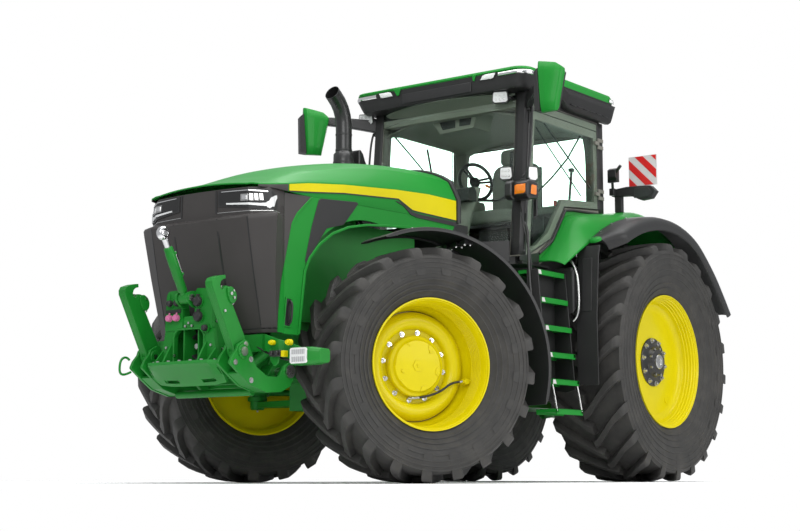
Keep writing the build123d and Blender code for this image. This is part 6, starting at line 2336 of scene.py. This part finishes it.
# deck: level top, inclined nose plate, slots through the nose plate
top = [
    (4.3, 0.245), (4.398, 0.245), (4.42, 0.322), (4.56, 0.322), (4.604, 0.27), (4.604, -0.27), (4.56, -0.322),
    (4.42, -0.322), (4.398, -0.245), (4.3, -0.245)
]
prism(bm, [P(x, y, 0.772) for x, y in top], (0, 0, 0.024))
half_low = [P(4.5, -0.322, 0.69), P(4.452, -0.3, 0.655), P(4.44, -0.18, 0.64)]
half_high = [P(4.562, -0.322, 0.776), P(4.606, -0.27, 0.776), P(4.608, -0.16, 0.776)]
low_line, high_line = (
    half + [Vector((p.x, -p.y, p.z)) for p in half[::-1]] for half in (half_low, half_high)
)


def nose_at(u, v):
    """A point of the deck's nose plate: u across (0..1), v down (0..1)."""
    t = u * 5
    i = min(int(t), 4)
    f = t - i
    return high_line[i].lerp(high_line[i + 1], f).lerp(low_line[i].lerp(low_line[i + 1], f), v)


columns = [0.0, 0.04, 0.085, 0.13, 0.2, 0.3, 0.36, 0.44, 0.5, 0.56, 0.64, 0.7, 0.8, 0.87, 0.915, 0.96, 1.0]
levels = [0.0, 0.12, 0.3, 0.52, 0.72, 0.86, 1.0]
holes = {(1, 2), (1, 3), (14, 2), (14, 3), (5, 4), (6, 4), (9, 4), (10, 4)}
back = Vector((-0.016, 0, 0.012))
grid_front = [[nose_at(u, v) for v in levels] for u in columns]
for i in range(len(columns) - 1):
    for j in range(len(levels) - 1):
        if (i, j) in holes:
            continue
        quad = [grid_front[i][j], grid_front[i + 1][j], grid_front[i + 1][j + 1], grid_front[i][j + 1]]
        a = [bm.verts.new(p) for p in quad]
        b = [bm.verts.new(p + back) for p in quad]
        bm.faces.new(a)
        bm.faces.new(b[::-1])
        for k, (m, n) in enumerate(((i, j - 1), (i + 1, j), (i, j + 1), (i - 1, j))):
            inside = 0 <= m < len(columns) - 1 and 0 <= n < len(levels) - 1
            if not inside or (m, n) in holes:
                after = (k + 1) % 4
                bm.faces.new((a[k], a[after], b[after], b[k]))
bmesh.ops.remove_doubles(bm, verts=bm.verts, dist=0.00005)
for s in (1, -1):
    y_plate(bm, [(4.33, 0.7), (4.452, 0.655), (4.56, 0.772), (4.33, 0.772)], s * 0.222, s * 0.24)
    y_plate(bm, [(4.33, 0.7), (4.445, 0.648), (4.56, 0.772), (4.33, 0.772)], s * 0.07, s * 0.086)
box(bm, P(4.3, -0.24, 0.705), P(4.335, 0.24, 0.775))
piece("front_hitch_deck", bm, CAST, smooth=25)
bm = bmesh.new()
for y in (-0.28, -0.2, -0.1, 0.0, 0.1, 0.2, 0.28):
    x = 4.585 if abs(y) < 0.25 else 4.54
    rod(bm, P(x, y, 0.796), P(x, y, 0.805), 0.011, 6)
piece("deck_bolts", bm, STEEL)

# carrier: side cheeks joined by a cross bar, lifting on its pin
bm = bmesh.new()
cheek = [
    (3.962, 0.745), (3.975, 0.695), (4.01, 0.64), (4.1, 0.6), (4.24, 0.592), (4.395, 0.632), (4.5, 0.7),
    (4.596, 0.768), (4.572, 0.815), (4.528, 0.862), (4.522, 0.89), (4.452, 0.926), (4.428, 0.918),
    (4.395, 0.85), (4.345, 0.757), (4.24, 0.7), (4.13, 0.7), (4.08, 0.77), (4.03, 0.8), (3.985, 0.79)
]
for s in (1, -1):
    for a, b in ((0.338, 0.358), (0.442, 0.464)):
        y_plate(bm, cheek, *sorted((s * a, s * b)), 0.012)
    a, b = sorted((s * 0.357, s * 0.443))
    y_plate(
        bm, [(4.11, 0.604), (4.24, 0.597), (4.392, 0.636), (4.384, 0.652), (4.24, 0.613), (4.11, 0.62)], a, b
    )
    y_plate(bm, [(4.392, 0.636), (4.5, 0.704), (4.49, 0.72), (4.384, 0.652)], a, b)
    y_plate(bm, [(4.24, 0.698), (4.342, 0.752), (4.35, 0.738), (4.244, 0.684)], a, b)
    y_plate(bm, [(4.13, 0.69), (4.16, 0.69), (4.16, 0.62), (4.13, 0.62)], a, b)
    # pivot cheeks of the folding arm
    pin(bm, ARM_PIN, s * 0.462, s * 0.474, 0.046, 36)
    pin(bm, ARM_PIN, s * 0.338, s * 0.33, 0.042, 36)
rod(bm, P(4.25, -0.345, 0.6), P(4.25, 0.345, 0.6), 0.026, 32)
piece("front_carrier", bm, CAST, "front_lift", ("front_lift_carrier",), 30, bevel=0.003)
bm = bmesh.new()
for s in (1, -1):
    pin(bm, ARM_PIN, s * 0.33, s * 0.478, 0.018, 28)
    pin(bm, ARM_PIN, s * 0.474, s * 0.484, 0.03, 28)
    for x, z in ((4.545, 0.775), (4.4, 0.8), (4.45, 0.895), (4.395, 0.665)):
        pin(bm, (x, z), s * 0.462, s * 0.474, 0.012, 6)
        pin(bm, (x, z), s * 0.462, s * 0.4665, 0.019, 24)
piece("front_carrier_bolts", bm, STEEL, "front_lift")
tube(
    "latch_handle",
    [
        P(4.59, -0.464, 0.822), P(4.6, -0.474, 0.842), P(4.64, -0.477, 0.838), P(4.664, -0.477, 0.805),
        P(4.668, -0.477, 0.745), P(4.648, -0.477, 0.722), P(4.6, -0.474, 0.73), P(4.575, -0.464, 0.745)
    ], 0.008, CAST, "front_lift"
)

# folding lower arms with hooks
ARM = [
    (4.447, 0.812), (4.478, 0.801), (4.509, 0.812), (4.524, 0.84), (4.528, 0.87), (4.7, 1.19), (4.733, 1.252),
    (4.735, 1.28), (4.72, 1.304), (4.694, 1.314), (4.655, 1.326),
    (4.614, 1.332), (4.611, 1.309), (4.636, 1.302), (4.654, 1.287), (4.661, 1.266), (4.656, 1.246),
    (4.641, 1.235), (4.627, 1.242), (4.619, 1.262), (4.598, 1.263), (4.566, 1.258),
    (4.546, 1.248), (4.556, 1.205), (4.552, 1.16), (4.428, 0.952), (4.418, 0.912), (4.432, 0.85),
]
bm = bmesh.new()
for s in (1, -1):
    for a, b in ((0.368, 0.384), (0.416, 0.432)):
        y_plate(bm, ARM, *sorted((s * a, s * b)))
    # flange along the front, flange along the back, hook block
    a, b = sorted((s * 0.383, s * 0.417))
    y_plate(
        bm,
        [
            (4.516, 0.85), (4.528, 0.87), (4.7, 1.19), (4.733, 1.252), (4.735, 1.28), (4.72, 1.304),
            (4.694, 1.314), (4.655, 1.326), (4.614, 1.332), (4.611, 1.309), (4.636, 1.302), (4.654, 1.287),
            (4.661, 1.266), (4.69, 1.268), (4.712, 1.258), (4.682, 1.196), (4.51, 0.878)
        ], a, b
    )
    y_plate(
        bm,
        [
            (4.552, 1.16), (4.428, 0.952), (4.418, 0.912), (4.432, 0.85), (4.447, 0.812), (4.478, 0.801),
            (4.509, 0.812), (4.524, 0.84), (4.49, 0.88), (4.446, 0.92), (4.45, 0.945), (4.575, 1.158)
        ], a, b
    )
    y_plate(
        bm,
        [
            (4.661, 1.266), (4.656, 1.246), (4.641, 1.235), (4.627, 1.242), (4.619, 1.262), (4.598, 1.263),
            (4.566, 1.258), (4.546, 1.248), (4.556, 1.205), (4.552, 1.16), (4.6, 1.14), (4.66, 1.19)
        ], a, b
    )
    # latch housing behind the hook
    a, b = sorted((s * 0.356, s * 0.444))
    y_plate(
        bm,
        [
            (4.606, 1.25), (4.57, 1.262), (4.536, 1.244), (4.518, 1.212), (4.521, 1.176), (4.545, 1.152),
            (4.575, 1.158), (4.6, 1.205)
        ], a, b, 0.01
    )
piece("front_hook_arms", bm, CAST, "front_arms", ("front_lower_arms",), 30, bevel=0.0025)
bm = bmesh.new()
for s in (1, -1):
    for x, z, r in ((4.575, 1.215, 0.012), (4.548, 1.19, 0.01), (4.62, 1.1, 0.01)):
        rod(
            bm, P(x, s * (0.443 if z > 1.15 else 0.431), z), P(x, s * (0.454 if z > 1.15 else 0.441), z), r, 6
        )
    box(bm, P(4.627, s * 0.4 - 0.014, 1.236), P(4.636, s * 0.4 + 0.014, 1.262))
    rod(bm, P(4.55, s * 0.4 - 0.05, 1.236), P(4.55, s * 0.4 + 0.05, 1.236), 0.007, 12)
piece("front_arm_bolts", bm, STEEL, "front_arms")
bm = bmesh.new()
for s in (1, -1):
    lathe(
        bm, [(0.012, -0.0035), (0.016, -0.0035), (0.016, 0.0035), (0.012, 0.0035)], 28,
        Matrix.Translation(P(4.516, s * 0.4, 1.165))
    )
piece("front_arm_rings", bm, STEEL, "front_arms")

# top link
low, high = P(4.54, 0, 1.215), P(4.755, 0, 1.625)
way = (high - low).normalized()
along_link = Matrix.Translation(low) @ way.to_track_quat("Y", "Z").to_matrix().to_4x4()
bm = bmesh.new()
length = (high - low).length
lathe(
    bm,
    [
        (0.0005, 0.045), (0.026, 0.045), (0.031, 0.055), (0.031, length * 0.3), (0.0335, length * 0.31),
        (0.0335, length * 0.69), (0.031, length * 0.7), (0.031, length * 0.765), (0.026, length * 0.785),
        (0.0005, length * 0.785)
    ], 40, along_link
)
lathe(
    bm, [(0.017, -0.034), (0.034, -0.034), (0.038, -0.028), (0.038, 0.028), (0.034, 0.034), (0.017, 0.034)],
    40, Matrix.Translation(low)
)
rod(bm, low + way * 0.028, low + way * 0.06, 0.024, 28)
side_way = way.cross(Vector((0, 1, 0))).normalized()
for t in (0.34, 0.66):
    rod(bm, low + way * length * t + side_way * 0.03, low + way * length * t + side_way * 0.05, 0.012, 16)
piece("top_link_body", bm, CAST, "front_top_link", ("front_top_link",), 40)
bm = bmesh.new()
rod(bm, low + way * length * 0.78, high - way * 0.036, 0.0195, 32, 0, 0.0225)
lathe(
    bm,
    [
        (0.026, -0.024), (0.04, -0.021), (0.0455, -0.012), (0.0462, 0.0), (0.0455, 0.012), (0.04, 0.021),
        (0.026, 0.024), (0.0235, 0.012), (0.0228, 0.0), (0.0235, -0.012)
    ], 56, Matrix.Translation(high)
)
lathe(
    bm,
    [
        (0.0125, -0.029), (0.0165, -0.029), (0.0225, -0.012), (0.0232, 0.0), (0.0225, 0.012), (0.0165, 0.029),
        (0.0125, 0.029)
    ], 48, Matrix.Translation(high)
)
piece("top_link_eye", bm, CHROME, "front_top_link", smooth=50)
bm = bmesh.new()
a, b = low + way * length * 0.34 + side_way * 0.046, low + way * length * 0.66 + side_way * 0.046
rod(bm, a, b, 0.0065, 12)
rod(bm, a - way * 0.01, a + way * 0.012, 0.01, 6)
rod(bm, b + way * 0.01, b - way * 0.012, 0.01, 6)
piece("top_link_pipe", bm, STEEL, "front_top_link", smooth=50)

for s, word in SIDES:
    tube(
        f"coupler_hose_{word}",
        [
            P(4.48, s * 0.12, 1.19), P(4.42, s * 0.12, 1.185), P(4.37, s * 0.125, 1.13),
            P(4.33, s * 0.13, 1.04), P(4.25, s * 0.135, 0.985), P(4.12, s * 0.12, 0.975)
        ], 0.012, RUBBER
    )

# bent sheet supports; the left one carries a lamp box and couplers
for s, word in SIDES:
    bm = bmesh.new()
    sheet = [
        (0.226, 4.3), (0.3, 4.304), (0.33, 4.296), (0.47, 4.296), (0.52, 4.33), (0.64, 4.33), (0.665, 4.306),
        (0.8, 4.306)
    ]
    if s < 0:
        sheet = sheet[:5]
    rows = []
    for y, x in sheet:
        top = 0.972 - max(0.0, y - 0.5) * 0.33
        low_z = 0.858 - max(0.0, y - 0.56) * 0.36
        rows.append([P(x, s * y, z) for z in (top, top - 0.03, low_z + 0.02, low_z)])
    skin(bm, rows, (-0.01, 0, 0))
    if s < 0:
        piece("front_bracket_sheet_right", bm, CAST, bevel=0.002)
        continue
    x_plate(
        bm, [(0.56, 0.87), (0.655, 0.84), (0.64, 0.77), (0.61, 0.752), (0.575, 0.79)], 4.326, 4.338, 0.008
    )
    rows = corner_round(
        [
            (4.392, 0.772), (4.392, 0.842), (4.372, 0.862), (4.268, 0.862), (4.25, 0.845), (4.25, 0.77),
            (4.268, 0.752), (4.372, 0.752)
        ], 0.01
    )
    rings = [
        [P(x, 0.786, z) for x, z in rows], [P(x, 0.945, z) for x, z in rows],
        [P(4.321 + (x - 4.321) * 0.72 - 0.02, 1.005, 0.807 + (z - 0.807) * 0.8) for x, z in rows]
    ]
    loft(bm, rings, True)
    piece("front_work_lamp_box_left", bm, CAST, smooth=35, bevel=0.002)
    bm = bmesh.new()
    x_plate(
        bm,
        [
            (0.797, 0.764), (0.797, 0.85), (0.808, 0.857), (0.922, 0.857), (0.934, 0.848), (0.934, 0.764),
            (0.922, 0.757), (0.808, 0.757)
        ], 4.39, 4.4005, 0.006
    )
    for z0, z1 in ((0.768, 0.8), (0.816, 0.846)):
        box(bm, P(4.4005, 0.81, z0), P(4.402, 0.921, z1), 2)
    for k in range(7):
        y = 0.8165 + 0.0165 * k
        rod(bm, P(4.4022, y, 0.766), P(4.4022, y, 0.848), 0.0016, 8)
    piece("front_work_lamp_left", bm, [LENS, SATIN, CHROME], smooth=35)
    bm = bmesh.new()
    for y, z, r in ((0.6, 0.905, 0.017), (0.745, 0.9, 0.02)):
        rod(bm, P(4.33, y, z), P(4.362, y, z), r, 28)
        rod(bm, P(4.362, y, z), P(4.376, y, z), r * 0.7, 28)
    box(bm, P(4.335, 0.695, 0.808), P(4.372, 0.725, 0.848))
    piece("trailer_coupler_caps_left", bm, YELLOW, smooth=40, bevel=0.002)
    bm = bmesh.new()
    box(bm, P(4.33, 0.6, 0.812), P(4.376, 0.692, 0.852))
    for y in (0.622, 0.668):
        rod(bm, P(4.376, y, 0.832), P(4.392, y, 0.832), 0.014, 24)
    piece("trailer_coupler_block_left", bm, SATIN, smooth=40, bevel=0.003)
    tube(
        "front_lamp_lead_left",
        [
            P(4.3, 0.8, 0.83), P(4.28, 0.76, 0.8), P(4.292, 0.68, 0.79), P(4.3, 0.52, 0.84),
            P(4.288, 0.4, 0.9), P(4.27, 0.28, 0.95), P(4.18, 0.2, 0.965)
        ], 0.007, SATIN
    )
    tube(
        "front_hose_left",
        [
            P(4.33, 0.645, 0.832), P(4.3, 0.62, 0.85), P(4.28, 0.5, 0.9), P(4.25, 0.36, 0.985),
            P(4.16, 0.2, 1.0), P(4.02, 0.15, 0.985)
        ], 0.011, RUBBER
    )

# ---------------------------------------------------------------- tanks, driveline and underside
for side, word in SIDES:
    y0, y1 = sorted((side * 0.315, side * 0.79))
    bm = bmesh.new()
    y_plate(
        bm, [(1.185, 0.64), (1.185, 1.545), (1.97, 1.545), (1.97, 1.1), (1.9, 0.7), (1.82, 0.64)], y0, y1,
        0.06
    )
    y2, y3 = sorted((side * 0.78, side * 0.797))
    if side == -1:
        y_plate(bm, [(1.25, 0.74), (1.25, 1.44), (1.84, 1.44), (1.88, 1.16), (1.82, 0.74)], y2, y3, 0.05)
        for k in range(6):
            box(bm, P(1.33, -0.8005, 0.84 + 0.05 * k), P(1.76, -0.795, 0.86 + 0.05 * k))
    else:
        y_plate(bm, [(1.64, 0.8), (1.64, 1.44), (1.9, 1.44), (1.93, 1.16), (1.86, 0.8)], y2, y3, 0.04)
    piece(f"tank_body_{word}", bm, BLACK, replaces=("fuel_tanks",) if side == 1 else (), bevel=0.018)
    bm = bmesh.new()
    for x in ((1.66, 1.86) if side == 1 else (1.24, 1.92)):
        y4, y5 = sorted((side * 0.33, side * 0.803))
        box(bm, P(x, y4, 0.628), P(x + 0.035, y5, 0.64))
        box(bm, P(x, min(side * 0.8, side * 0.804), 0.63), P(x + 0.035, max(side * 0.8, side * 0.804), 1.5))
        rod(bm, P(x + 0.0175, side * 0.803, 1.47), P(x + 0.0175, side * 0.812, 1.47), 0.01, 6)
        rod(bm, P(x + 0.0175, side * 0.803, 0.68), P(x + 0.0175, side * 0.812, 0.68), 0.01, 6)
    piece(f"tank_straps_{word}", bm, SATIN)
    bm = bmesh.new()
    for x0, x1 in ((0.285, 0.315), (1.225, 1.25)):
        y_plate(
            bm, [(x0, 0.625), (x0, 1.295), (x1, 1.295), (x1, 0.625)], *sorted((side * 0.235, side * 0.272))
        )
    for k in range(6):
        x = 0.42 + 0.135 * k
        y_plate(
            bm, [(x, 0.66), (x, 1.26), (x + 0.016, 1.26), (x + 0.016, 0.66)],
            *sorted((side * 0.235, side * 0.256))
        )
    y_plate(bm, [(0.4, 0.95), (0.4, 0.966), (1.2, 0.966), (1.2, 0.95)], *sorted((side * 0.235, side * 0.252)))
    for y, r in ((0.262, 0.226), (0.43, 0.192), (0.672, 0.152)):
        rib = [
            (r - 0.05, -0.014), (r, -0.014), (r + 0.003, -0.01), (r + 0.003, 0.01), (r, 0.014),
            (r - 0.05, 0.014)
        ]
        lathe(bm, rib, 64, Matrix.Translation(P(0, side * y, AXLE_Z)))
    for a in turns(8, 0.2):
        fin = ((0.195, 0.27), (0.15, 0.6), (0.12, 0.6), (0.15, 0.27))
        corners = [P(r * math.cos(a), side * y, AXLE_Z + r * math.sin(a)) for r, y in fin]
        prism(bm, corners, (0.01 * math.sin(a), 0, -0.01 * math.cos(a)))
    piece(f"driveline_ribs_{word}", bm, CAST, bevel=0.002)
    bm = bmesh.new()
    for x in (0.3, 1.238):
        for k in range(7):
            rod(bm, P(x, side * 0.272, 0.66 + 0.1 * k), P(x, side * 0.282, 0.66 + 0.1 * k), 0.011, 6)
    for a in turns(16):
        pin(bm, (0.206 * math.cos(a), AXLE_Z + 0.206 * math.sin(a)), side * 0.276, side * 0.287, 0.011, 6)
    piece(f"driveline_bolts_{word}", bm, STEEL)
bm = bmesh.new()
lathe(
    bm, [(0.0005, 0), (0.052, 0), (0.055, 0.006), (0.055, 0.026), (0.048, 0.034), (0.0005, 0.036)], 40,
    Matrix.Translation(P(1.775, 0.793, 1.33))
)
box(bm, P(1.735, 0.824, 1.322), P(1.815, 0.836, 1.338))
piece("tank_filler_cap", bm, GREEN, bevel=0.002)

# ---------------------------------------------------------------- rear of the tractor
VALVE_ROWS = (0.105, 0.2)  # how far out the columns of valves stand


def threads(bm, starts, count, root, crest, matrix):
    """Rings of a screw thread, from each start along local Y."""
    for k in range(count):
        for start in starts:
            base = start + 0.01 * k
            lathe(
                bm, [(root, base), (crest, base + 0.003), (crest, base + 0.006), (root, base + 0.009)], 24,
                matrix
            )


bm = bmesh.new()
box(bm, P(-0.345, -0.315, 0.83), P(-0.329, 0.315, 1.32))
for y, z in [
    (s * 0.28, 0.88 + 0.09 * k) for s in (1, -1) for k in range(5)
] + [(0.09 * k, 1.295) for k in range(-2, 3)]:
    rod(bm, P(-0.345, y, z), P(-0.357, y, z), 0.012, 6, 1)
rod(bm, P(-0.345, 0, REAR_SHAFT_Z), P(-0.372, 0, REAR_SHAFT_Z), 0.085, 48)
bolt_circle(bm, P(-0.372, 0, REAR_SHAFT_Z), 0.07, -0.009, 0.008, 8, material=1)
piece("rear_cover_plate", bm, [CAST, STEEL], bevel=0.003)
bm = bmesh.new()
for a in turns(18):
    box(
        bm, Vector((-0.06, -0.0022, 0.0205)), Vector((0.0, 0.0022, 0.0245)), 0,
        Matrix.Translation(P(-0.395, 0, REAR_SHAFT_Z)) @ Matrix.Rotation(a, 4, "X")
    )
piece("rear_shaft_splines", bm, STEEL)
bm = bmesh.new()
shield = arc((0, REAR_SHAFT_Z), 0.15, -20, 200, 22) + arc((0, REAR_SHAFT_Z), 0.142, 200, -20, 22)
x_plate(bm, shield, -0.52, -0.345)
piece("rear_shaft_shield", bm, BLACK, smooth=40, bevel=0.002)
bm = bmesh.new()
box(bm, P(-0.44, -0.285, 1.421), P(-0.15, 0.285, 1.44))
for s in (1, -1):
    box(bm, P(-0.42, min(s * 0.06, s * 0.25), 1.44), P(-0.3, max(s * 0.06, s * 0.25), 1.64))
    for k in range(3):
        for y in VALVE_ROWS:
            z = 1.475 + 0.062 * k
            rod(bm, P(-0.42, s * y, z), P(-0.44, s * y, z), 0.027, 28)
piece("rear_valve_block", bm, CAST, bevel=0.005)
for number, tint in enumerate((BLACK, AMBER, RED)):
    bm = bmesh.new()
    for s in (1, -1):
        for y in VALVE_ROWS:
            cap = [(0.0005, 0.0), (0.0235, 0.0), (0.0245, 0.014), (0.019, 0.024), (0.0005, 0.026)]
            lathe(bm, cap, 28, about(P(-0.438, s * y, 1.475 + 0.062 * number), 90))
    piece(f"rear_coupler_caps_{number}", bm, tint, smooth=40)
bm = bmesh.new()
for s in (1, -1):
    for y in VALVE_ROWS:
        rod(bm, P(-0.34, s * y, 1.64), P(-0.33, s * y, 1.672), 0.013, 16)
piece("rear_valve_stems", bm, STEEL)
for s, word in SIDES:
    for j, row in enumerate(VALVE_ROWS):
        y = s * row
        tube(
            f"rear_pipe_{word}_{j}",
            [
                P(-0.33, y, 1.665), P(-0.31, y, 1.7), P(-0.25, y * 0.95, 1.69), P(-0.16, y * 0.9, 1.6),
                P(-0.08, y * 0.9, 1.45), P(-0.06, y * 0.9, 1.335)
            ], 0.01, STEEL
        )
    # turnbuckles, end fittings and claws of the linkage
    bm = bmesh.new()
    at_rod = about(P(-0.83, s * 0.432, 0), 90, "X")
    lathe(
        bm,
        [
            (0.024, 0.8), (0.031, 0.802), (0.0335, 0.812), (0.0335, 0.85), (0.03, 0.862), (0.03, 1.078),
            (0.0335, 1.09), (0.0335, 1.128), (0.031, 1.138), (0.024, 1.14)
        ], 36, at_rod
    )
    box(bm, P(-0.842, s * 0.432 - 0.046, 0.955), P(-0.818, s * 0.432 + 0.046, 0.985))
    piece(f"lift_rod_sleeve_{word}", bm, CAST, "rear_lift_rods", smooth=45)
    bm = bmesh.new()
    for z in (0.792, 1.148):
        rod(bm, P(-0.83, s * 0.432, z - 0.008), P(-0.83, s * 0.432, z + 0.008), 0.036, 6)
    threads(bm, (0.685, 1.165), 9, 0.023, 0.0255, at_rod)
    piece(f"lift_rod_threads_{word}", bm, STEEL, "rear_lift_rods", smooth=45)
    bm = bmesh.new()
    # the link runs outward to the ball
    foot, ball = P(-0.38, s * 0.285, 0.62), P(-1.42, s * 0.48, 0.62)
    run = (ball - foot).normalized()
    across = Vector((run.y, -run.x, 0))
    for level in (0.586, 0.644):
        a, b = foot + run * 0.12, ball - run * 0.13
        prism(
            bm,
            [
                Vector((*(a + across * 0.026).xy, level)), Vector((*(b + across * 0.025).xy, level)),
                Vector((*(b - across * 0.025).xy, level)), Vector((*(a - across * 0.026).xy, level))
            ], (0, 0, 0.012)
        )
    for w in (-0.034, 0.034):
        prism(
            bm,
            [
                P(-1.42 + dx, 0, 0.62 + dz) + Vector((0, s * 0.48 + w - 0.006, 0))
                for dx, dz in (
                    (0.11, -0.03), (0.05, -0.06), (-0.01, -0.062), (-0.052, -0.034), (-0.06, 0.01),
                    (-0.05, 0.052), (-0.03, 0.078), (0.01, 0.07), (0.06, 0.066), (0.11, 0.036)
                )
            ], (0, 0.012, 0)
        )
    box(bm, P(-1.365, s * 0.48 - 0.02, 0.658), P(-1.285, s * 0.48 + 0.014, 0.694))
    piece(f"lower_link_claw_{word}", bm, CAST, "rear_lower_links", bevel=0.003)
    bm = bmesh.new()
    lathe(
        bm,
        [
            (0.0215, -0.03), (0.03, -0.027), (0.0385, -0.012), (0.04, 0.0), (0.0385, 0.012), (0.03, 0.027),
            (0.0215, 0.03)
        ], 40, Matrix.Translation(ball)
    )
    rod(bm, P(-1.33, s * 0.48, 0.694), P(-1.33, s * 0.48, 0.716), 0.009, 16)
    lathe(
        bm, [(0.011, -0.003), (0.017, -0.003), (0.017, 0.003), (0.011, 0.003)], 24,
        Matrix.Translation(P(-1.33, s * 0.48, 0.731))
    )
    piece(f"lower_link_ball_{word}", bm, STEEL, "rear_lower_links", smooth=45)
    bm = bmesh.new()
    pin(bm, (-0.83, 1.35), s * 0.356, s * 0.34, 0.03, 28)
    y_plate(
        bm, [(-0.44, 1.335), (-0.79, 1.342), (-0.79, 1.358), (-0.44, 1.365)], *sorted((s * 0.352, s * 0.409))
    )
    piece(f"lift_arm_ribs_{word}", bm, CAST, "rear_lift_arms", bevel=0.003)
    # tail lamps on the fender
    bm = bmesh.new()
    normal, down = Vector((-0.83, 0, 0.557)), Vector((-0.557, 0, -0.83))
    middle = P(-1.032, s * 0.7, 1.668)

    def lamp_corner(u, v, n):
        return middle + Vector((0, u, 0)) + down * v + normal * n

    prism(
        bm,
        [lamp_corner(u, v, -0.012) for u, v in ((-0.12, -0.05), (0.12, -0.05), (0.12, 0.05), (-0.12, 0.05))],
        normal * 0.042
    )
    for tint, (u0, u1) in ((1, (-0.108, -0.036)), (2, (-0.03, 0.03)), (3, (0.036, 0.108))):
        u0, u1 = sorted((-s * u0, -s * u1))
        prism(
            bm, [lamp_corner(u, v, 0.029) for u, v in ((u0, -0.04), (u1, -0.04), (u1, 0.04), (u0, 0.04))],
            normal * 0.008, tint
        )
    piece(f"tail_lamp_{word}", bm, [BLACK, RED, AMBER, LENS], bevel=0.004)
    # seal and skirt between the door and the fender
    bm = bmesh.new()
    rows = []
    for x, z in (
        (1.345, 1.812), (1.25, 1.872), (1.155, 1.932), (1.06, 2.058), (0.94, 2.214), (0.82, 2.232),
        (0.6, 2.248), (0.4, 2.256)
    ):
        low = min(p.z for p in CROWN if abs(p.x - x) < 0.09) - 0.01
        rows.append([P(x, s * 0.7545, z), P(x, s * 0.7545, min(low, z - 0.02))])
    skin(bm, rows, (0, s * 0.004, 0))
    piece(f"fender_skirt_{word}", bm, CAST, smooth=30)
    tube(
        f"fender_seal_{word}",
        [
            P(x, s * 0.76, z)
            for x, z in (
                (1.35, 1.806), (1.155, 1.928), (1.06, 2.052), (0.94, 2.208), (0.82, 2.226), (0.4, 2.25)
            )
        ], 0.011, BLACK, smooth_path=False
    )
bm = bmesh.new()
box(bm, P(-0.9, -0.042, 0.5605), P(-0.78, 0.042, 0.575))
rod(bm, P(-0.84, 0, 0.47), P(-0.84, 0, 0.6), 0.0185, 32)
rod(bm, P(-0.84, 0, 0.6), P(-0.84, 0, 0.612), 0.034, 32)
tube(
    "drawbar_pin_ring",
    [
        P(-0.84, 0.0, 0.612), P(-0.84, 0.022, 0.63), P(-0.84, 0.024, 0.65), P(-0.84, 0.0, 0.664),
        P(-0.84, -0.024, 0.65), P(-0.84, -0.022, 0.63), P(-0.84, 0.0, 0.612)
    ], 0.005, STEEL
)
for y in (-0.09, 0.09):
    for z in (0.56, 0.64, 0.72, 0.78):
        rod(bm, P(-0.43, y, z), P(-0.442, y, z), 0.012, 6)
piece("drawbar_pin", bm, STEEL, bevel=0.001)
# rear top link: turnbuckle with handle
low, high = P(-0.47, 0, 1.23), P(-1.19, 0, 1.19)
way = (high - low).normalized()
along_link = Matrix.Translation(low) @ way.to_track_quat("Y", "Z").to_matrix().to_4x4()
bm = bmesh.new()
lathe(
    bm,
    [
        (0.03, 0.15), (0.036, 0.152), (0.04, 0.165), (0.04, 0.215), (0.036, 0.225), (0.036, 0.5),
        (0.04, 0.51), (0.04, 0.56), (0.036, 0.57), (0.03, 0.572)
    ], 36, along_link
)
piece("rear_top_link_sleeve", bm, CAST, "rear_top_link", smooth=45)
bm = bmesh.new()
threads(bm, (0.065, 0.585), 8, 0.029, 0.0318, along_link)
piece("rear_top_link_threads", bm, STEEL, "rear_top_link", smooth=45)
tube(
    "rear_top_link_handle",
    [
        low + way * 0.28 + Vector((0, 0, 0.036)), low + way * 0.3 + Vector((0, 0, 0.07)),
        low + way * 0.36 + Vector((0, 0, 0.078)), low + way * 0.42 + Vector((0, 0, 0.07)),
        low + way * 0.44 + Vector((0, 0, 0.036))
    ], 0.008, SATIN, "rear_top_link"
)
# back of the cab
bm = bmesh.new()
box(bm, P(0.288, -0.735, 2.952), P(0.2995, 0.735, 3.038))
box(bm, P(0.288, -0.66, 2.288), P(0.2995, 0.66, 2.362))
for s in (1, -1):
    box(bm, P(0.286, s * 0.6 - 0.04, 1.76), P(0.2995, s * 0.6 + 0.04, 1.78))
piece("cab_rear_covers", bm, BLACK, bevel=0.004)
bm = bmesh.new()
box(bm, P(0.27, -0.06, 2.3), P(0.289, 0.06, 2.35))
rod(bm, P(0.262, 0.0, 2.33), P(0.289, 0.0, 2.33), 0.018, 20)
piece("rear_wiper_motor", bm, SATIN, bevel=0.004)
tube(
    "rear_wiper_arm",
    [P(0.268, 0.0, 2.335), P(0.296, -0.08, 2.48), P(0.302, -0.16, 2.64), P(0.303, -0.2, 2.72)], 0.006, SATIN,
    smooth_path=False
)
tube(
    "rear_wiper_blade", [P(0.304, -0.11, 2.56), P(0.304, -0.2, 2.72), P(0.304, -0.28, 2.86)], 0.007, SATIN,
    smooth_path=False
)
tube(
    "rear_window_handle",
    [
        P(0.308, 0.3, 2.385), P(0.285, 0.3, 2.39), P(0.28, 0.36, 2.39), P(0.285, 0.42, 2.39),
        P(0.308, 0.42, 2.385)
    ], 0.007, SATIN, smooth_path=False
)
